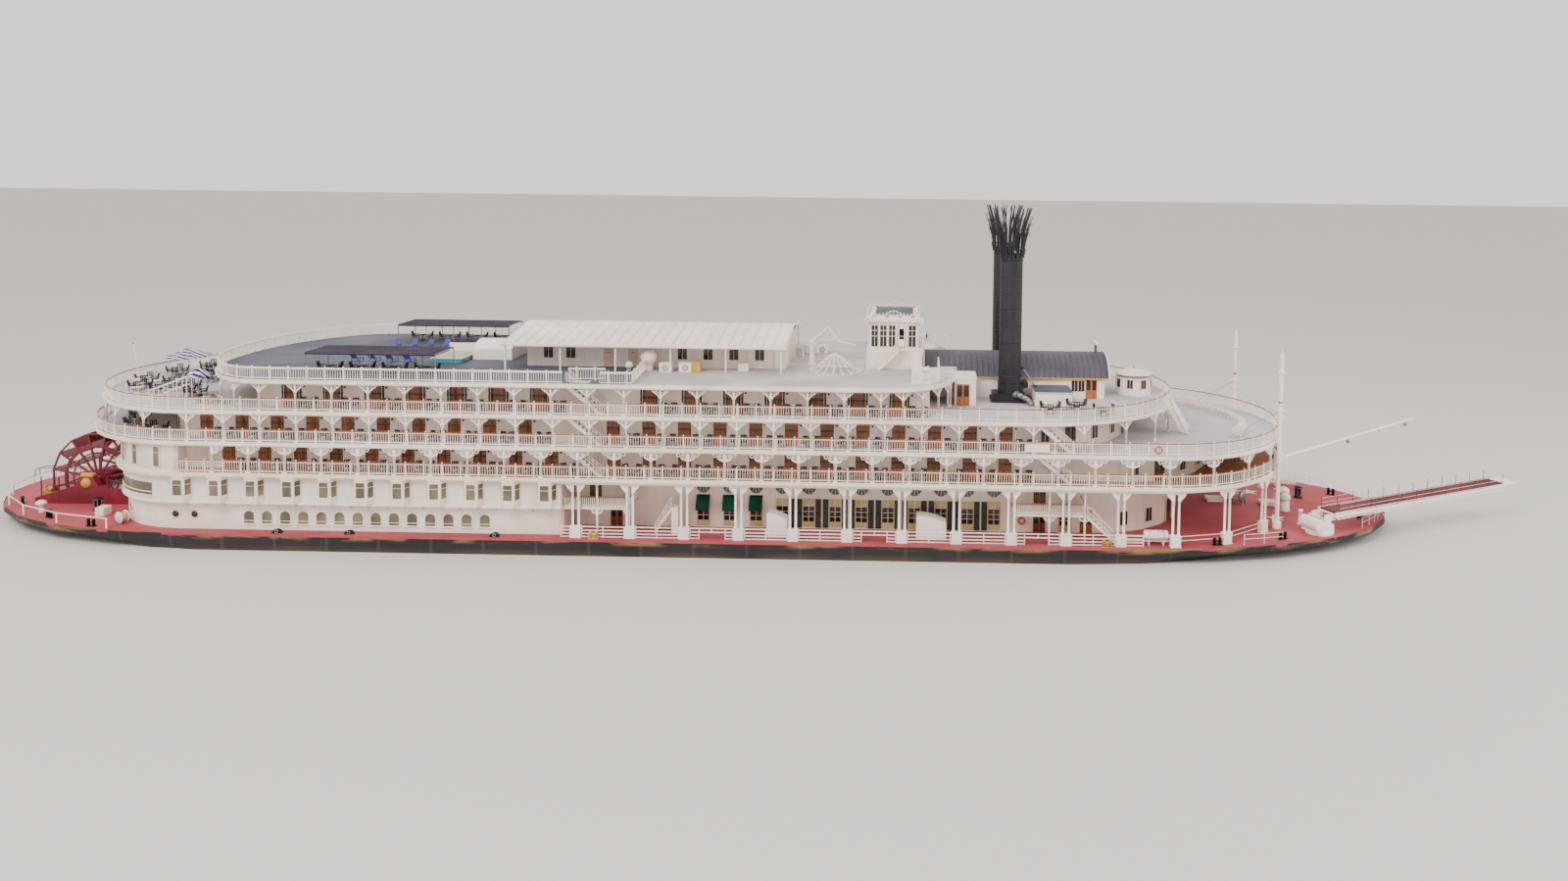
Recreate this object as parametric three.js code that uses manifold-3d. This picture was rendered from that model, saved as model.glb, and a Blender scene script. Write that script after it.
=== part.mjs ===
// Sternwheel paddle boat as a 1:10 scale model, in millimetres, +Z up.
// The origin is on the flat hull bottom, amidships on the centreline; +X is the bow, +Y is port.
// One real metre is 100 mm here.
import * as THREE from 'three';
import { mergeVertices } from 'three/addons/utils/BufferGeometryUtils.js';
import Module from 'manifold-3d';

const wasm = await Module();
wasm.setup();

// Clearance between pieces that touch. A pin and its bore have as many sides, and the flats of the
// bore clear the corners of the pin.
const GAP = 0.3;
const PIN_SIDES = 16;
const bored = (radius) => (radius + GAP) / Math.cos(Math.PI / PIN_SIDES);

// Top of each deck above the hull bottom, and the thickness of the plates.
const MAIN_DECK = 400;
const MEZZANINE = 650;
const DECK_3 = 905;
const DECK_4 = 1165;
const DECK_5 = 1430;
const ROOF = 1692;
const PLATE = 30;
const THIN_PLATE = 18;
const WALL = 20;

// A plan outline: half breadth, and for each end its tip, the length of its curve and the
// half breadth of the flat part across its tip.
const MAIN_PLAN = { half: 1350, bow: { tip: 6370, run: 2550, flat: 0 }, stern: { tip: -6370, run: 2170, flat: 0 } };
const DECK_3_PLAN = { half: 1330, bow: { tip: 5350, run: 1230, flat: 0 }, stern: { tip: -4960, run: 800, flat: 560 } };
const DECK_4_PLAN = { half: 1330, bow: { tip: 5350, run: 1230, flat: 0 }, stern: { tip: -5400, run: 1300, flat: 0 } };
const DECK_5_PLAN = { half: 1330, bow: { tip: 4380, run: 1380, flat: 0 }, stern: { tip: -5320, run: 1320, flat: 0 } };
const ROOF_PLAN = { half: 1340, bow: { tip: 2360, run: 610, flat: 730 }, stern: { tip: -4210, run: 820, flat: 0 } };
const ARC_STEPS = 6;
const CORNER = 80;

// Colours of the paint and metal.
const PAINT = {
  hullBlack: [0x1d1c1f, 0.7, 0.0],
  deckRed: [0xc2515b, 0.8, 0.0],
  white: [0xf0e4dc, 0.6, 0.0],
  deckGrey: [0xb9b2b0, 0.85, 0.0],
  darkGrey: [0x57535c, 0.8, 0.0],
  wheelRed: [0x8f1f2e, 0.6, 0.0],
  stackBlack: [0x17161a, 0.6, 0.1],
  steel: [0x9a9aa0, 0.4, 0.9],
  bronze: [0xa9803f, 0.4, 0.9],
};

const boat = new THREE.Group();

// A closed solid from a geometry whose corners are merged.
function toSolid(geometry) {
  const bare = geometry.clone();
  bare.deleteAttribute('normal');
  bare.deleteAttribute('uv');
  const merged = mergeVertices(bare);
  return new wasm.Manifold(new wasm.Mesh({
    numProp: 3,
    vertProperties: new Float32Array(merged.attributes.position.array),
    triVerts: new Uint32Array(merged.index.array),
  }));
}

function toGeometry(solid) {
  const mesh = solid.getMesh();
  const geometry = new THREE.BufferGeometry();
  geometry.setAttribute('position', new THREE.BufferAttribute(mesh.vertProperties, 3));
  geometry.setIndex(new THREE.BufferAttribute(mesh.triVerts, 1));
  geometry.computeVertexNormals();
  return geometry;
}

// The sum of all geometries in added, less all in cut.
function joined(added, cut = []) {
  let solid = added.map(toSolid).reduce((sum, next) => sum.add(next));
  for (const piece of cut) solid = solid.subtract(toSolid(piece));
  return toGeometry(solid);
}

function place(name, paint, geometry, x = 0, y = 0, z = 0) {
  const [color, roughness, metalness] = PAINT[paint];
  const material = new THREE.MeshStandardMaterial({ color, roughness, metalness });
  const mesh = new THREE.Mesh(geometry, material);
  mesh.name = name;
  mesh.position.set(x, y, z);
  boat.add(mesh);
  return mesh;
}

function box(x0, x1, y0, y1, z0, z1) {
  const geometry = new THREE.BoxGeometry(x1 - x0, Math.abs(y1 - y0), z1 - z0);
  return geometry.translate((x0 + x1) / 2, (y0 + y1) / 2, (z0 + z1) / 2);
}

function toVectors(points) {
  return points.map(([x, y]) => new THREE.Vector2(x, y));
}

// Outline in X and Y, raised from bottom to top.
function prism(points, bottom, top, holes = []) {
  const shape = new THREE.Shape(toVectors(points));
  for (const hole of holes) shape.holes.push(new THREE.Path(toVectors(hole)));
  const geometry = new THREE.ExtrudeGeometry(shape, { depth: top - bottom, bevelEnabled: false });
  return geometry.translate(0, 0, bottom);
}

// Outline in X and Z, carried along Y from y0 to y1.
function sidePrism(points, y0, y1, holes = []) {
  const geometry = prism(points, 0, y1 - y0, holes);
  return geometry.rotateX(Math.PI / 2).translate(0, y1, 0);
}

// Outline in Y and Z, carried along X from x0 to x1.
function frontPrism(points, x0, x1) {
  const axes = [new THREE.Vector3(0, 1, 0), new THREE.Vector3(0, 0, 1), new THREE.Vector3(1, 0, 0)];
  const geometry = prism(points, 0, x1 - x0);
  return geometry.applyMatrix4(new THREE.Matrix4().makeBasis(...axes)).translate(x0, 0, 0);
}

// A straight bar of a square or round section between two points.
function bar(from, to, width, sides = 4) {
  const start = new THREE.Vector3(...from);
  const end = new THREE.Vector3(...to);
  const radius = sides === 4 ? width / Math.SQRT2 : width / 2;
  const geometry = new THREE.CylinderGeometry(radius, radius, start.distanceTo(end), sides);
  if (sides === 4) geometry.rotateY(Math.PI / 4);
  const direction = end.clone().sub(start).normalize();
  const turn = new THREE.Quaternion().setFromUnitVectors(new THREE.Vector3(0, 1, 0), direction);
  const middle = start.add(end).multiplyScalar(0.5);
  return geometry.applyQuaternion(turn).translate(middle.x, middle.y, middle.z);
}

function disc(axis, radius, length, sides, x, y, z) {
  const geometry = new THREE.CylinderGeometry(radius, radius, length, sides);
  if (axis === 'x') geometry.rotateZ(Math.PI / 2);
  if (axis === 'z') geometry.rotateX(Math.PI / 2);
  return geometry.translate(x, y, z);
}

// Points of a plan outline, anticlockwise from the starboard side of the bow. An end whose run is
// shorter than CORNER has straight corners.
function outline(plan, inset = 0, steps = ARC_STEPS) {
  const points = [];
  for (const [end, sign] of [[plan.bow, 1], [plan.stern, -1]]) {
    const count = end.run < CORNER ? 1 : steps;
    for (let i = -count; i <= count; i += 1) {
      const angle = (i / count) * Math.PI / 2;
      const flat = end.flat * Math.sign(i);
      const run = end.run - inset;
      const x = end.tip - sign * (end.run - run * Math.cos(angle));
      const y = sign * (flat + (plan.half - inset - end.flat) * Math.sin(angle));
      if (i !== 0) points.push([x, y]);
      else if (end.flat > 0) points.push([x, -sign * end.flat], [x, sign * end.flat]);
      else points.push([x, y]);
    }
  }
  return points;
}

// A closed wall standing on a plan outline.
function wallRing(plan, bottom, top, thickness = WALL, steps = ARC_STEPS) {
  return prism(outline(plan, 0, steps), bottom, top, [outline(plan, thickness, steps).reverse()]);
}

// Skin between plan outlines at rising heights, closed top and bottom.
function loft(levels) {
  const rings = levels.map(({ z, plan }) => outline(plan).map(([x, y]) => [x, y, z]));
  const count = rings[0].length;
  const indices = [];
  for (let level = 0; level + 1 < rings.length; level += 1) {
    for (let i = 0; i < count; i += 1) {
      const a = level * count + i;
      const b = level * count + ((i + 1) % count);
      indices.push(a, b, b + count, a, b + count, a + count);
    }
  }
  const top = (rings.length - 1) * count;
  for (const [a, b, c] of THREE.ShapeUtils.triangulateShape(toVectors(outline(levels[0].plan)), [])) {
    indices.push(a, c, b);
  }
  for (const [a, b, c] of THREE.ShapeUtils.triangulateShape(toVectors(outline(levels.at(-1).plan)), [])) {
    indices.push(top + a, top + b, top + c);
  }
  const geometry = new THREE.BufferGeometry();
  geometry.setAttribute('position', new THREE.Float32BufferAttribute(rings.flat(2), 3));
  geometry.setIndex(indices);
  return geometry;
}

// Hull with its raked ends, the well of the paddlewheel and the seats of the two drives.
const WELL = { aft: -5900, fore: -4940, half: 520 };
const DRIVE = { x: -5350, y: 800, seat: 225, seatRadius: 75 };
const HULL_TOP = MAIN_DECK - THIN_PLATE - GAP;

function hull() {
  // Columns: height, half breadth, bow tip, bow run, stern tip, stern run.
  const rows = [
    [0, 1310, 4600, 1900, -4450, 900],
    [215, 1340, 5350, 2200, -4980, 1100],
    [305, 1350, 5850, 2400, -5900, 1850],
    [345, 1350, 6370, 2550, -6370, 2170],
    [HULL_TOP, 1350, 6370, 2550, -6370, 2170],
  ];
  const levels = rows.map(([z, half, bowTip, bowRun, sternTip, sternRun]) => ({
    z,
    plan: {
      half,
      bow: { tip: bowTip, run: bowRun, flat: 0 },
      stern: { tip: sternTip, run: sternRun, flat: 0 },
    },
  }));
  const seats = [-1, 1].map((side) => disc('z', DRIVE.seatRadius, HULL_TOP - 20 - DRIVE.seat, 14,
    DRIVE.x, side * DRIVE.y, (HULL_TOP - 20 + DRIVE.seat) / 2));
  return joined([loft(levels), ...seats], [box(WELL.aft, WELL.fore, -WELL.half, WELL.half, -50, 500)]);
}
place('hull', 'hullBlack', hull());

function mainDeck() {
  const plate = prism(outline(MAIN_PLAN), MAIN_DECK - THIN_PLATE, MAIN_DECK);
  return joined([plate], [box(WELL.aft, WELL.fore, -WELL.half, WELL.half, 300, 500)]);
}
place('main_deck', 'deckRed', mainDeck());

// Paddlewheel: shaft, flanges, spokes, rims and bucket boards.
const WHEEL = { x: -5390, z: 590, radius: 430, half: 450, boards: 16, shaft: 22, reach: 597 };
const ARM = { inner: 530, outer: 590 };

function paddlewheel() {
  const { boards, radius, half } = WHEEL;
  const step = (2 * Math.PI) / boards;
  const at = (r, angle) => [r * Math.cos(angle), r * Math.sin(angle)];
  const circle = (r) => Array.from({ length: boards }, (_, i) => at(r, (i - 0.5) * step));
  // Openings between hub, inner rim and outer rim, one in each sector.
  const opening = (inner, outer, i) => {
    const narrow = (r) => Math.asin(8 / r);
    const from = (r) => at(r, (i - 0.5) * step + narrow(r));
    const to = (r) => at(r, (i + 0.5) * step - narrow(r));
    return [from(inner), to(inner), to(outer), from(outer)].reverse();
  };
  const parts = [disc('y', WHEEL.shaft, 2 * WHEEL.reach, PIN_SIDES, 0, 0, 0)];
  for (const y of [-half + 14, 0, half - 14]) {
    const inner = Array.from({ length: boards }, (_, i) => opening(75, radius * 0.66, i));
    const outer = Array.from({ length: boards }, (_, i) => opening(radius * 0.72, radius - 22, i));
    if (y === 0) parts.push(sidePrism(circle(radius * 0.72), -7, 7, inner));
    else parts.push(sidePrism(circle(radius - 8), y - 7, y + 7, [...inner, ...outer]));
  }
  for (let i = 0; i < boards; i += 1) {
    const board = box(radius - 92, radius - 9, -half + 10, half - 10, -5, 5);
    parts.push(board.rotateY(-(i + 0.5) * step));
  }
  return joined(parts);
}
place('paddlewheel', 'wheelRed', paddlewheel(), WHEEL.x, 0, WHEEL.z);

// The arms beside the well carry the shaft in their bearings.
function wheelArm(side) {
  const foot = MAIN_DECK + GAP;
  const points = [
    [-5860, foot], [-4990, foot], [-4990, 490], [-5280, 560], [-5335, 645], [-5445, 645],
    [-5500, 560], [-5860, 450],
  ];
  const y0 = side > 0 ? ARM.inner : -ARM.outer;
  const bore = disc('y', bored(WHEEL.shaft), 200, PIN_SIDES, WHEEL.x, side * 560, WHEEL.z);
  return joined([sidePrism(points, y0, y0 + ARM.outer - ARM.inner)], [bore]);
}
place('wheel_arm_starboard', 'wheelRed', wheelArm(-1));
place('wheel_arm_port', 'wheelRed', wheelArm(1));

// Steering drives under the raked stern, each with a propeller behind its leg.
const SCREW = { z: 98, radius: 84, hub: 20, back: 95, length: 60 };

function drive() {
  const head = disc('z', 60, 24, 14, 0, 0, DRIVE.seat - GAP - 12);
  const leg = sidePrism([[-30, 70], [34, 82], [40, 205], [-44, 205]], -16, 16);
  const pod = disc('x', 24, 110, 10, -10, 0, SCREW.z);
  return joined([head, leg, pod]);
}

function propeller() {
  const parts = [disc('x', SCREW.hub, SCREW.length, 10, 0, 0, 0)];
  for (let i = 0; i < 4; i += 1) {
    const blade = prism([[-22, 10], [22, 10], [30, 62], [14, SCREW.radius], [-14, SCREW.radius], [-30, 62]], -3, 3);
    blade.rotateY(0.6).rotateX((i * Math.PI) / 2);
    parts.push(blade);
  }
  return joined(parts);
}

for (const [side, label] of [[-1, 'starboard'], [1, 'port']]) {
  place(`drive_${label}`, 'steel', drive(), DRIVE.x, side * DRIVE.y, 0);
  place(`propeller_${label}`, 'bronze', propeller(), DRIVE.x - SCREW.back - GAP, side * DRIVE.y, SCREW.z);
}

// Closed houses: lower aft house, mezzanine, upper aft house with bay windows, midships house.
const LOWER_HOUSE = { half: 1230, bow: { tip: -900, run: 25, flat: 1205 }, stern: { tip: -4900, run: 760, flat: 560 } };
const UPPER_HOUSE = { half: 1270, bow: { tip: -900, run: 25, flat: 1245 }, stern: { tip: -4920, run: 770, flat: 560 } };
const MEZZANINE_PLAN = { half: 1285, bow: { tip: -900, run: 25, flat: 1260 }, stern: { tip: -4930, run: 780, flat: 560 } };
const MIDSHIPS_HOUSE = { half: 950, bow: { tip: 4450, run: 900, flat: 0 }, stern: { tip: -890, run: 25, flat: 925 } };
const BAY = { first: -4150, pitch: 310, count: 11, proud: 1338, foot: 668 };

place('aft_house_lower', 'white', wallRing(LOWER_HOUSE, MAIN_DECK + GAP, MEZZANINE - THIN_PLATE - GAP));
place('mezzanine_deck', 'white', prism(outline(MEZZANINE_PLAN), MEZZANINE - THIN_PLATE, MEZZANINE));

function upperHouse() {
  const top = DECK_3 - PLATE - GAP;
  const parts = [wallRing(UPPER_HOUSE, MEZZANINE + GAP, top)];
  for (let i = 0; i < BAY.count; i += 1) {
    const x = BAY.first + i * BAY.pitch;
    for (const side of [-1, 1]) {
      const edge = side * (UPPER_HOUSE.half - WALL / 2);
      const front = side * BAY.proud;
      parts.push(prism([[x - 80, edge], [x + 80, edge], [x + 45, front], [x - 45, front]], BAY.foot, top));
    }
  }
  return joined(parts);
}
place('aft_house_upper', 'white', upperHouse());

function midshipsHouse() {
  const top = DECK_3 - PLATE - GAP;
  const parts = [wallRing(MIDSHIPS_HOUSE, MAIN_DECK + GAP, top)];
  for (const side of [-1, 1]) {
    for (const [x0, x1] of [[-880, -330], [2850, 3450]]) {
      parts.push(box(x0, x1, side * 940, side * 1270, MEZZANINE - THIN_PLATE, MEZZANINE));
    }
  }
  return joined(parts);
}
place('midships_house', 'white', midshipsHouse());

// Deck plates. Each has the posts and the flights of stairs that come up to it from the deck below.
// Columns: the decks that a flight joins, its foot in X and its head in X.
const STAIR = { inner: 1180, outer: 1275, steps: 9, opening: 190, spare: 5 };
const FLIGHTS = [
  { from: DECK_3, to: DECK_4, foot: -560, head: -860 },
  { from: DECK_4, to: DECK_5, foot: -560, head: -860 },
  { from: DECK_5, to: ROOF, foot: -560, head: -860 },
  { from: DECK_3, to: DECK_4, foot: 3330, head: 3030 },
  { from: DECK_4, to: DECK_5, foot: 3330, head: 3030 },
];
const POST = { pitch: 305, y: 1316, width: 12, steps: 5 };

function flightOfSteps({ from, to, foot, head }, side) {
  const rise = (to - from) / STAIR.steps;
  const going = (head - foot) / STAIR.steps;
  const points = [[foot, from + GAP]];
  for (let i = 0; i < STAIR.steps; i += 1) {
    const tread = from + (i + 1) * rise - 2;
    points.push([foot + i * going, tread], [foot + (i + 1) * going, tread]);
  }
  points[points.length - 1][0] -= 8;
  points.push([head - 8, to - 34], [foot + going, from + GAP]);
  const near = Math.min(side * STAIR.inner, side * STAIR.outer);
  return sidePrism(points, near, near + STAIR.outer - STAIR.inner);
}

// Places of the posts along a plan edge, from the aft one to the fore one on the port side.
function edgePlaces(plan) {
  const inset = plan.half - POST.y;
  const places = [];
  const straightAft = plan.stern.tip + plan.stern.run;
  const straightFore = plan.bow.tip - plan.bow.run;
  for (let i = 0; i < POST.steps; i += 1) {
    const angle = (i / POST.steps) * Math.PI / 2;
    const y = plan.stern.flat + (POST.y - plan.stern.flat) * Math.sin(angle);
    places.push([straightAft - (plan.stern.run - inset) * Math.cos(angle), y]);
  }
  const bays = Math.round((straightFore - straightAft) / POST.pitch);
  for (let i = 0; i <= bays; i += 1) {
    places.push([straightAft + (i / bays) * (straightFore - straightAft), POST.y]);
  }
  for (let i = POST.steps - 1; i >= 0; i -= 1) {
    const angle = (i / POST.steps) * Math.PI / 2;
    const y = plan.bow.flat + (POST.y - plan.bow.flat) * Math.sin(angle);
    places.push([straightFore + (plan.bow.run - inset) * Math.cos(angle), y]);
  }
  return places;
}

function deckPlate(plan, top, floor, postsFrom) {
  const holes = [];
  const parts = [prism(outline(plan, 0, 10), top - PLATE, top)];
  const half = POST.width / 2;
  const places = floor === undefined ? [] : edgePlaces(plan).filter(([x]) => x > postsFrom);
  for (const side of [-1, 1]) {
    for (const flight of FLIGHTS.filter(({ to }) => to === top)) {
      const inner = side * (STAIR.inner - STAIR.spare);
      const outer = side * (STAIR.outer + STAIR.spare);
      holes.push(box(flight.head, flight.head + STAIR.opening, inner, outer, top - 60, top + 30));
      parts.push(flightOfSteps(flight, side));
    }
    for (const [x, y] of places.filter((at) => side > 0 || at[1] > 1)) {
      parts.push(box(x - half, x + half, side * y - half, side * y + half, floor + GAP, top - PLATE + 2));
    }
  }
  const [plate, ...hung] = parts;
  return joined([joined([plate], holes), ...hung]);
}
place('deck_3', 'deckGrey', deckPlate(DECK_3_PLAN, DECK_3));
place('deck_4', 'deckGrey', deckPlate(DECK_4_PLAN, DECK_4, DECK_3, -4080));
place('deck_5', 'deckGrey', deckPlate(DECK_5_PLAN, DECK_5, DECK_4, -Infinity));
place('roof_deck', 'darkGrey', deckPlate(ROOF_PLAN, ROOF, DECK_5, -Infinity));

// Cabin walls between the decks.
const CABINS_3 = { half: 1160, bow: { tip: 4700, run: 900, flat: 0 }, stern: { tip: -4300, run: 25, flat: 1135 } };
const AFT_LOUNGE = { half: 1290, bow: { tip: -4110, run: 25, flat: 1265 }, stern: { tip: -4930, run: 780, flat: 560 } };
const CABINS_4 = { half: 1160, bow: { tip: 3950, run: 900, flat: 0 }, stern: { tip: -4600, run: 700, flat: 0 } };
const CABINS_5 = { half: 1160, bow: { tip: 2150, run: 60, flat: 1100 }, stern: { tip: -3850, run: 600, flat: 0 } };

const below = (deck) => deck - PLATE - GAP;
place('cabins_3', 'white', joined([
  wallRing(CABINS_3, DECK_3 + GAP, below(DECK_4)),
  wallRing(AFT_LOUNGE, DECK_3 + GAP, below(DECK_4)),
]));
place('cabins_4', 'white', wallRing(CABINS_4, DECK_4 + GAP, below(DECK_5)));
place('cabins_5', 'white', wallRing(CABINS_5, DECK_5 + GAP, below(ROOF)));

// Columns of the open gallery, on pedestals and under a girder; the foremost follow the deck edge.
const GALLERY = { first: -775, pitch: 451, count: 13, y: 1290, straight: 4120, bend: 0.00045, girder: 26 };
const COLUMN = { pedestal: 70, wide: 64, deep: 44, shaft: 50, thick: 20, bracket: 100, spread: 95 };

function colonnade(side) {
  const parts = [];
  const top = DECK_3 - PLATE - GAP;
  const foot = MAIN_DECK + GAP;
  const { bracket, spread, thick } = COLUMN;
  const places = Array.from({ length: GALLERY.count }, (_, i) => {
    const x = GALLERY.first + i * GALLERY.pitch;
    return [x, side * (GALLERY.y - GALLERY.bend * Math.max(x - GALLERY.straight, 0) ** 2)];
  });
  for (const [x, y] of places) {
    const { wide, deep, shaft } = COLUMN;
    parts.push(box(x - wide / 2, x + wide / 2, y - deep / 2, y + deep / 2, foot, foot + COLUMN.pedestal));
    const outlineUp = [
      [x - shaft / 2, foot + COLUMN.pedestal - 2], [x + shaft / 2, foot + COLUMN.pedestal - 2],
      [x + shaft / 2, top - bracket], [x + spread, top - 20], [x + spread, top],
      [x - spread, top], [x - spread, top - 20], [x - shaft / 2, top - bracket],
    ];
    parts.push(sidePrism(outlineUp, y - thick / 2, y + thick / 2));
  }
  const straight = places.filter(([x]) => x <= GALLERY.straight);
  const route = [straight[0], straight.at(-1), ...places.filter(([x]) => x > GALLERY.straight)];
  const z = top - GALLERY.girder / 2;
  for (let i = 0; i + 1 < route.length; i += 1) {
    parts.push(bar([...route[i], z], [...route[i + 1], z], GALLERY.girder));
  }
  return joined(parts);
}
place('colonnade_starboard', 'white', colonnade(-1));
place('colonnade_port', 'white', colonnade(1));

// Rail around the stern of the main deck.
const STERN_RAIL = { half: 1320, steps: 5, sweep: 1.32, height: 90, post: 9, width: 7, aft: -6330, run: 2130 };

function sternRail() {
  const { half, aft, run, width } = STERN_RAIL;
  const along = (inset, ends) => Array.from({ length: 2 * STERN_RAIL.steps + 1 }, (_, i) => {
    const angle = (i / STERN_RAIL.steps - 1) * (STERN_RAIL.sweep + ends);
    return [aft + run - (run - inset) * Math.cos(angle), (half - inset) * Math.sin(angle)];
  });
  const top = MAIN_DECK + STERN_RAIL.height;
  const parts = [prism([...along(0, 0.004).reverse(), ...along(width, 0.004)], top - width, top)];
  const reach = STERN_RAIL.post / 2;
  for (const [x, y] of along(width / 2, 0)) {
    parts.push(box(x - reach, x + reach, y - reach, y + reach, MAIN_DECK + GAP, top - 2));
  }
  return joined(parts);
}
place('stern_rail', 'white', sternRail());

// Stacks on their bases. Each stack folds forward about the pin at the front of its base.
const STACK = { x: 2870, y: 435, foot: 1590, radius: 100, bore: 92, tube: 1155, tines: 12, pin: 8 };
const HINGE = { x: 3010, lug: 22 };
const BRACE = { foot: [3100, 1566], eye: [2985, 1724], radius: 7, pin: 5 };
const VENT_BOX = { aft: 3075, fore: 3400, inner: 345, outer: 690, top: 1550 };

function stackBase(side) {
  const y = side * STACK.y;
  const low = DECK_5 + GAP;
  const parts = [
    box(2700, 3060, y - 105, y + 125, low, low + 30),
    box(2715, 3000, y - 105, y + 105, low, 1510),
    disc('z', 105, STACK.foot - 1500, 16, STACK.x, y, (STACK.foot + 1500) / 2),
    box(VENT_BOX.aft - 30, VENT_BOX.aft + 5, y - 60, y + 60, low, low + 30),
  ];
  const inner = side * VENT_BOX.inner;
  const outer = side * VENT_BOX.outer;
  parts.push(box(VENT_BOX.aft, VENT_BOX.fore, Math.min(inner, outer), Math.max(inner, outer), low, VENT_BOX.top));
  for (const off of [-1, 1]) {
    const near = y + off * 40 - 8;
    const lug = [[2930, 1520], [3032, 1560], [3032, 1600], [3022, 1612], [2998, 1612], [2990, 1582], [2930, 1582]];
    parts.push(sidePrism(lug, near, near + 16));
    const clevis = [[BRACE.foot[0] - 12, 1545], [BRACE.foot[0] + 12, 1545], [BRACE.foot[0] + 9, 1575], [BRACE.foot[0] - 9, 1575]];
    parts.push(sidePrism(clevis, y + off * 14 - 4, y + off * 14 + 4));
  }
  parts.push(disc('y', STACK.pin, 90, PIN_SIDES, HINGE.x, y, STACK.foot));
  parts.push(disc('y', BRACE.pin, 34, PIN_SIDES, BRACE.foot[0], y, BRACE.foot[1]));
  return joined(parts);
}

function stack() {
  const profile = [
    [0, GAP], [105, GAP], [105, 14], [STACK.radius, 14], [STACK.radius, STACK.tube],
    [STACK.bore, STACK.tube], [STACK.bore, STACK.tube - 400], [0, STACK.tube - 400],
  ];
  const tube = new THREE.LatheGeometry(toVectors(profile), 16).rotateX(Math.PI / 2);
  const parts = [tube];
  const lift = STACK.tube;
  for (let i = 0; i < STACK.tines; i += 1) {
    const tine = sidePrism([
      [93, lift - 20], [103, lift - 20], [116, lift + 220], [176, lift + 409],
      [166, lift + 409], [105, lift + 225],
    ], -4, 4);
    parts.push(tine.rotateZ((i / STACK.tines) * 2 * Math.PI));
  }
  const hinge = HINGE.x - STACK.x;
  parts.push(box(88, hinge, -30, 30, 2, 22));
  parts.push(disc('y', HINGE.lug, 60, PIN_SIDES, hinge, 0, 0));
  const eye = [BRACE.eye[0] - STACK.x, BRACE.eye[1] - STACK.foot];
  for (const off of [-1, 1]) {
    parts.push(box(95, eye[0] + 10, off * 14 - 3, off * 14 + 3, eye[1] - 12, eye[1] + 12));
  }
  const bore = disc('y', bored(STACK.pin), 100, PIN_SIDES, hinge, 0, 0);
  return joined(parts, [bore]);
}

function brace() {
  const from = [0, 0, 0];
  const to = [BRACE.eye[0] - BRACE.foot[0], 0, BRACE.eye[1] - BRACE.foot[1]];
  const parts = [
    bar(from, to, 2 * BRACE.radius, 8),
    disc('y', 12, 14, PIN_SIDES, 0, 0, 0),
    disc('y', 9, 14, 8, to[0], 0, to[2]),
  ];
  return joined(parts, [disc('y', bored(BRACE.pin), 40, PIN_SIDES, 0, 0, 0)]);
}

for (const [side, label] of [[-1, 'starboard'], [1, 'port']]) {
  place(`stack_base_${label}`, 'stackBlack', stackBase(side));
  place(`stack_${label}`, 'stackBlack', stack(), STACK.x, side * STACK.y, STACK.foot);
  place(`stack_brace_${label}`, 'steel', brace(), BRACE.foot[0], side * STACK.y, BRACE.foot[1]);
}

// Forward cabin with its barrel roof, and the round house on the fore terrace.
const FORE_CABIN = { half: 305, bow: { tip: 3745, run: 25, flat: 280 }, stern: { tip: 2165, run: 25, flat: 280 } };
const BARREL = { half: 322, eave: 1618, ridge: 1812, wall: 14, aft: 2110, fore: 3775, steps: 10 };

function arch(half, eave, ridge, steps) {
  const rise = ridge - eave;
  const radius = (half * half + rise * rise) / (2 * rise);
  const sweep = Math.asin(half / radius);
  return Array.from({ length: steps + 1 }, (_, i) => {
    const angle = sweep - (2 * sweep * i) / steps;
    return [radius * Math.sin(angle), ridge - radius + radius * Math.cos(angle)];
  });
}

function barrelRoof() {
  const outer = arch(BARREL.half, BARREL.eave, BARREL.ridge, BARREL.steps);
  const inner = arch(BARREL.half - BARREL.wall, BARREL.eave, BARREL.ridge - BARREL.wall, BARREL.steps).reverse();
  const shell = frontPrism([...outer, ...inner], BARREL.aft, BARREL.fore);
  const ends = [BARREL.aft, BARREL.fore - BARREL.wall - 20].map((x) => frontPrism(outer, x, x + BARREL.wall));
  const mast = bar([3700, 0, BARREL.ridge - 20], [3700, 0, BARREL.ridge + 70], 24, 12);
  return joined([shell, ...ends, mast], [box(2000, 2362, -400, 400, 1500, ROOF + GAP)]);
}
place('fore_cabin', 'white', wallRing(FORE_CABIN, DECK_5 + GAP, BARREL.eave - GAP));
place('fore_cabin_roof', 'darkGrey', barrelRoof());
place('radar_bar', 'white', joined([box(-12, 12, -95, 95, 6, 26), disc('z', 11, 20, 12, 0, 0, 10)]), 3700, 0, BARREL.ridge + 70 + GAP);

function roundHouse() {
  const profile = [[0, 0], [160, 0], [160, 150], [172, 150], [172, 158], [0, 196]];
  return new THREE.LatheGeometry(toVectors(profile), 16).rotateX(Math.PI / 2);
}
place('round_house', 'white', roundHouse(), 4060, 0, DECK_5 + GAP);

// Texas house and pilothouse with their wings.
const TEXAS = { aft: 1590, fore: 2090, half: 400, top: 1880, floor: 16 };
const PILOT = { aft: 1605, fore: 2050, half: 360, top: 2110, wall: 14, sill: 1884, head: 2085 };
const WING = { aft: 1995, fore: 2240, outer: 1080, top: 1712, rail: 100 };

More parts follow.
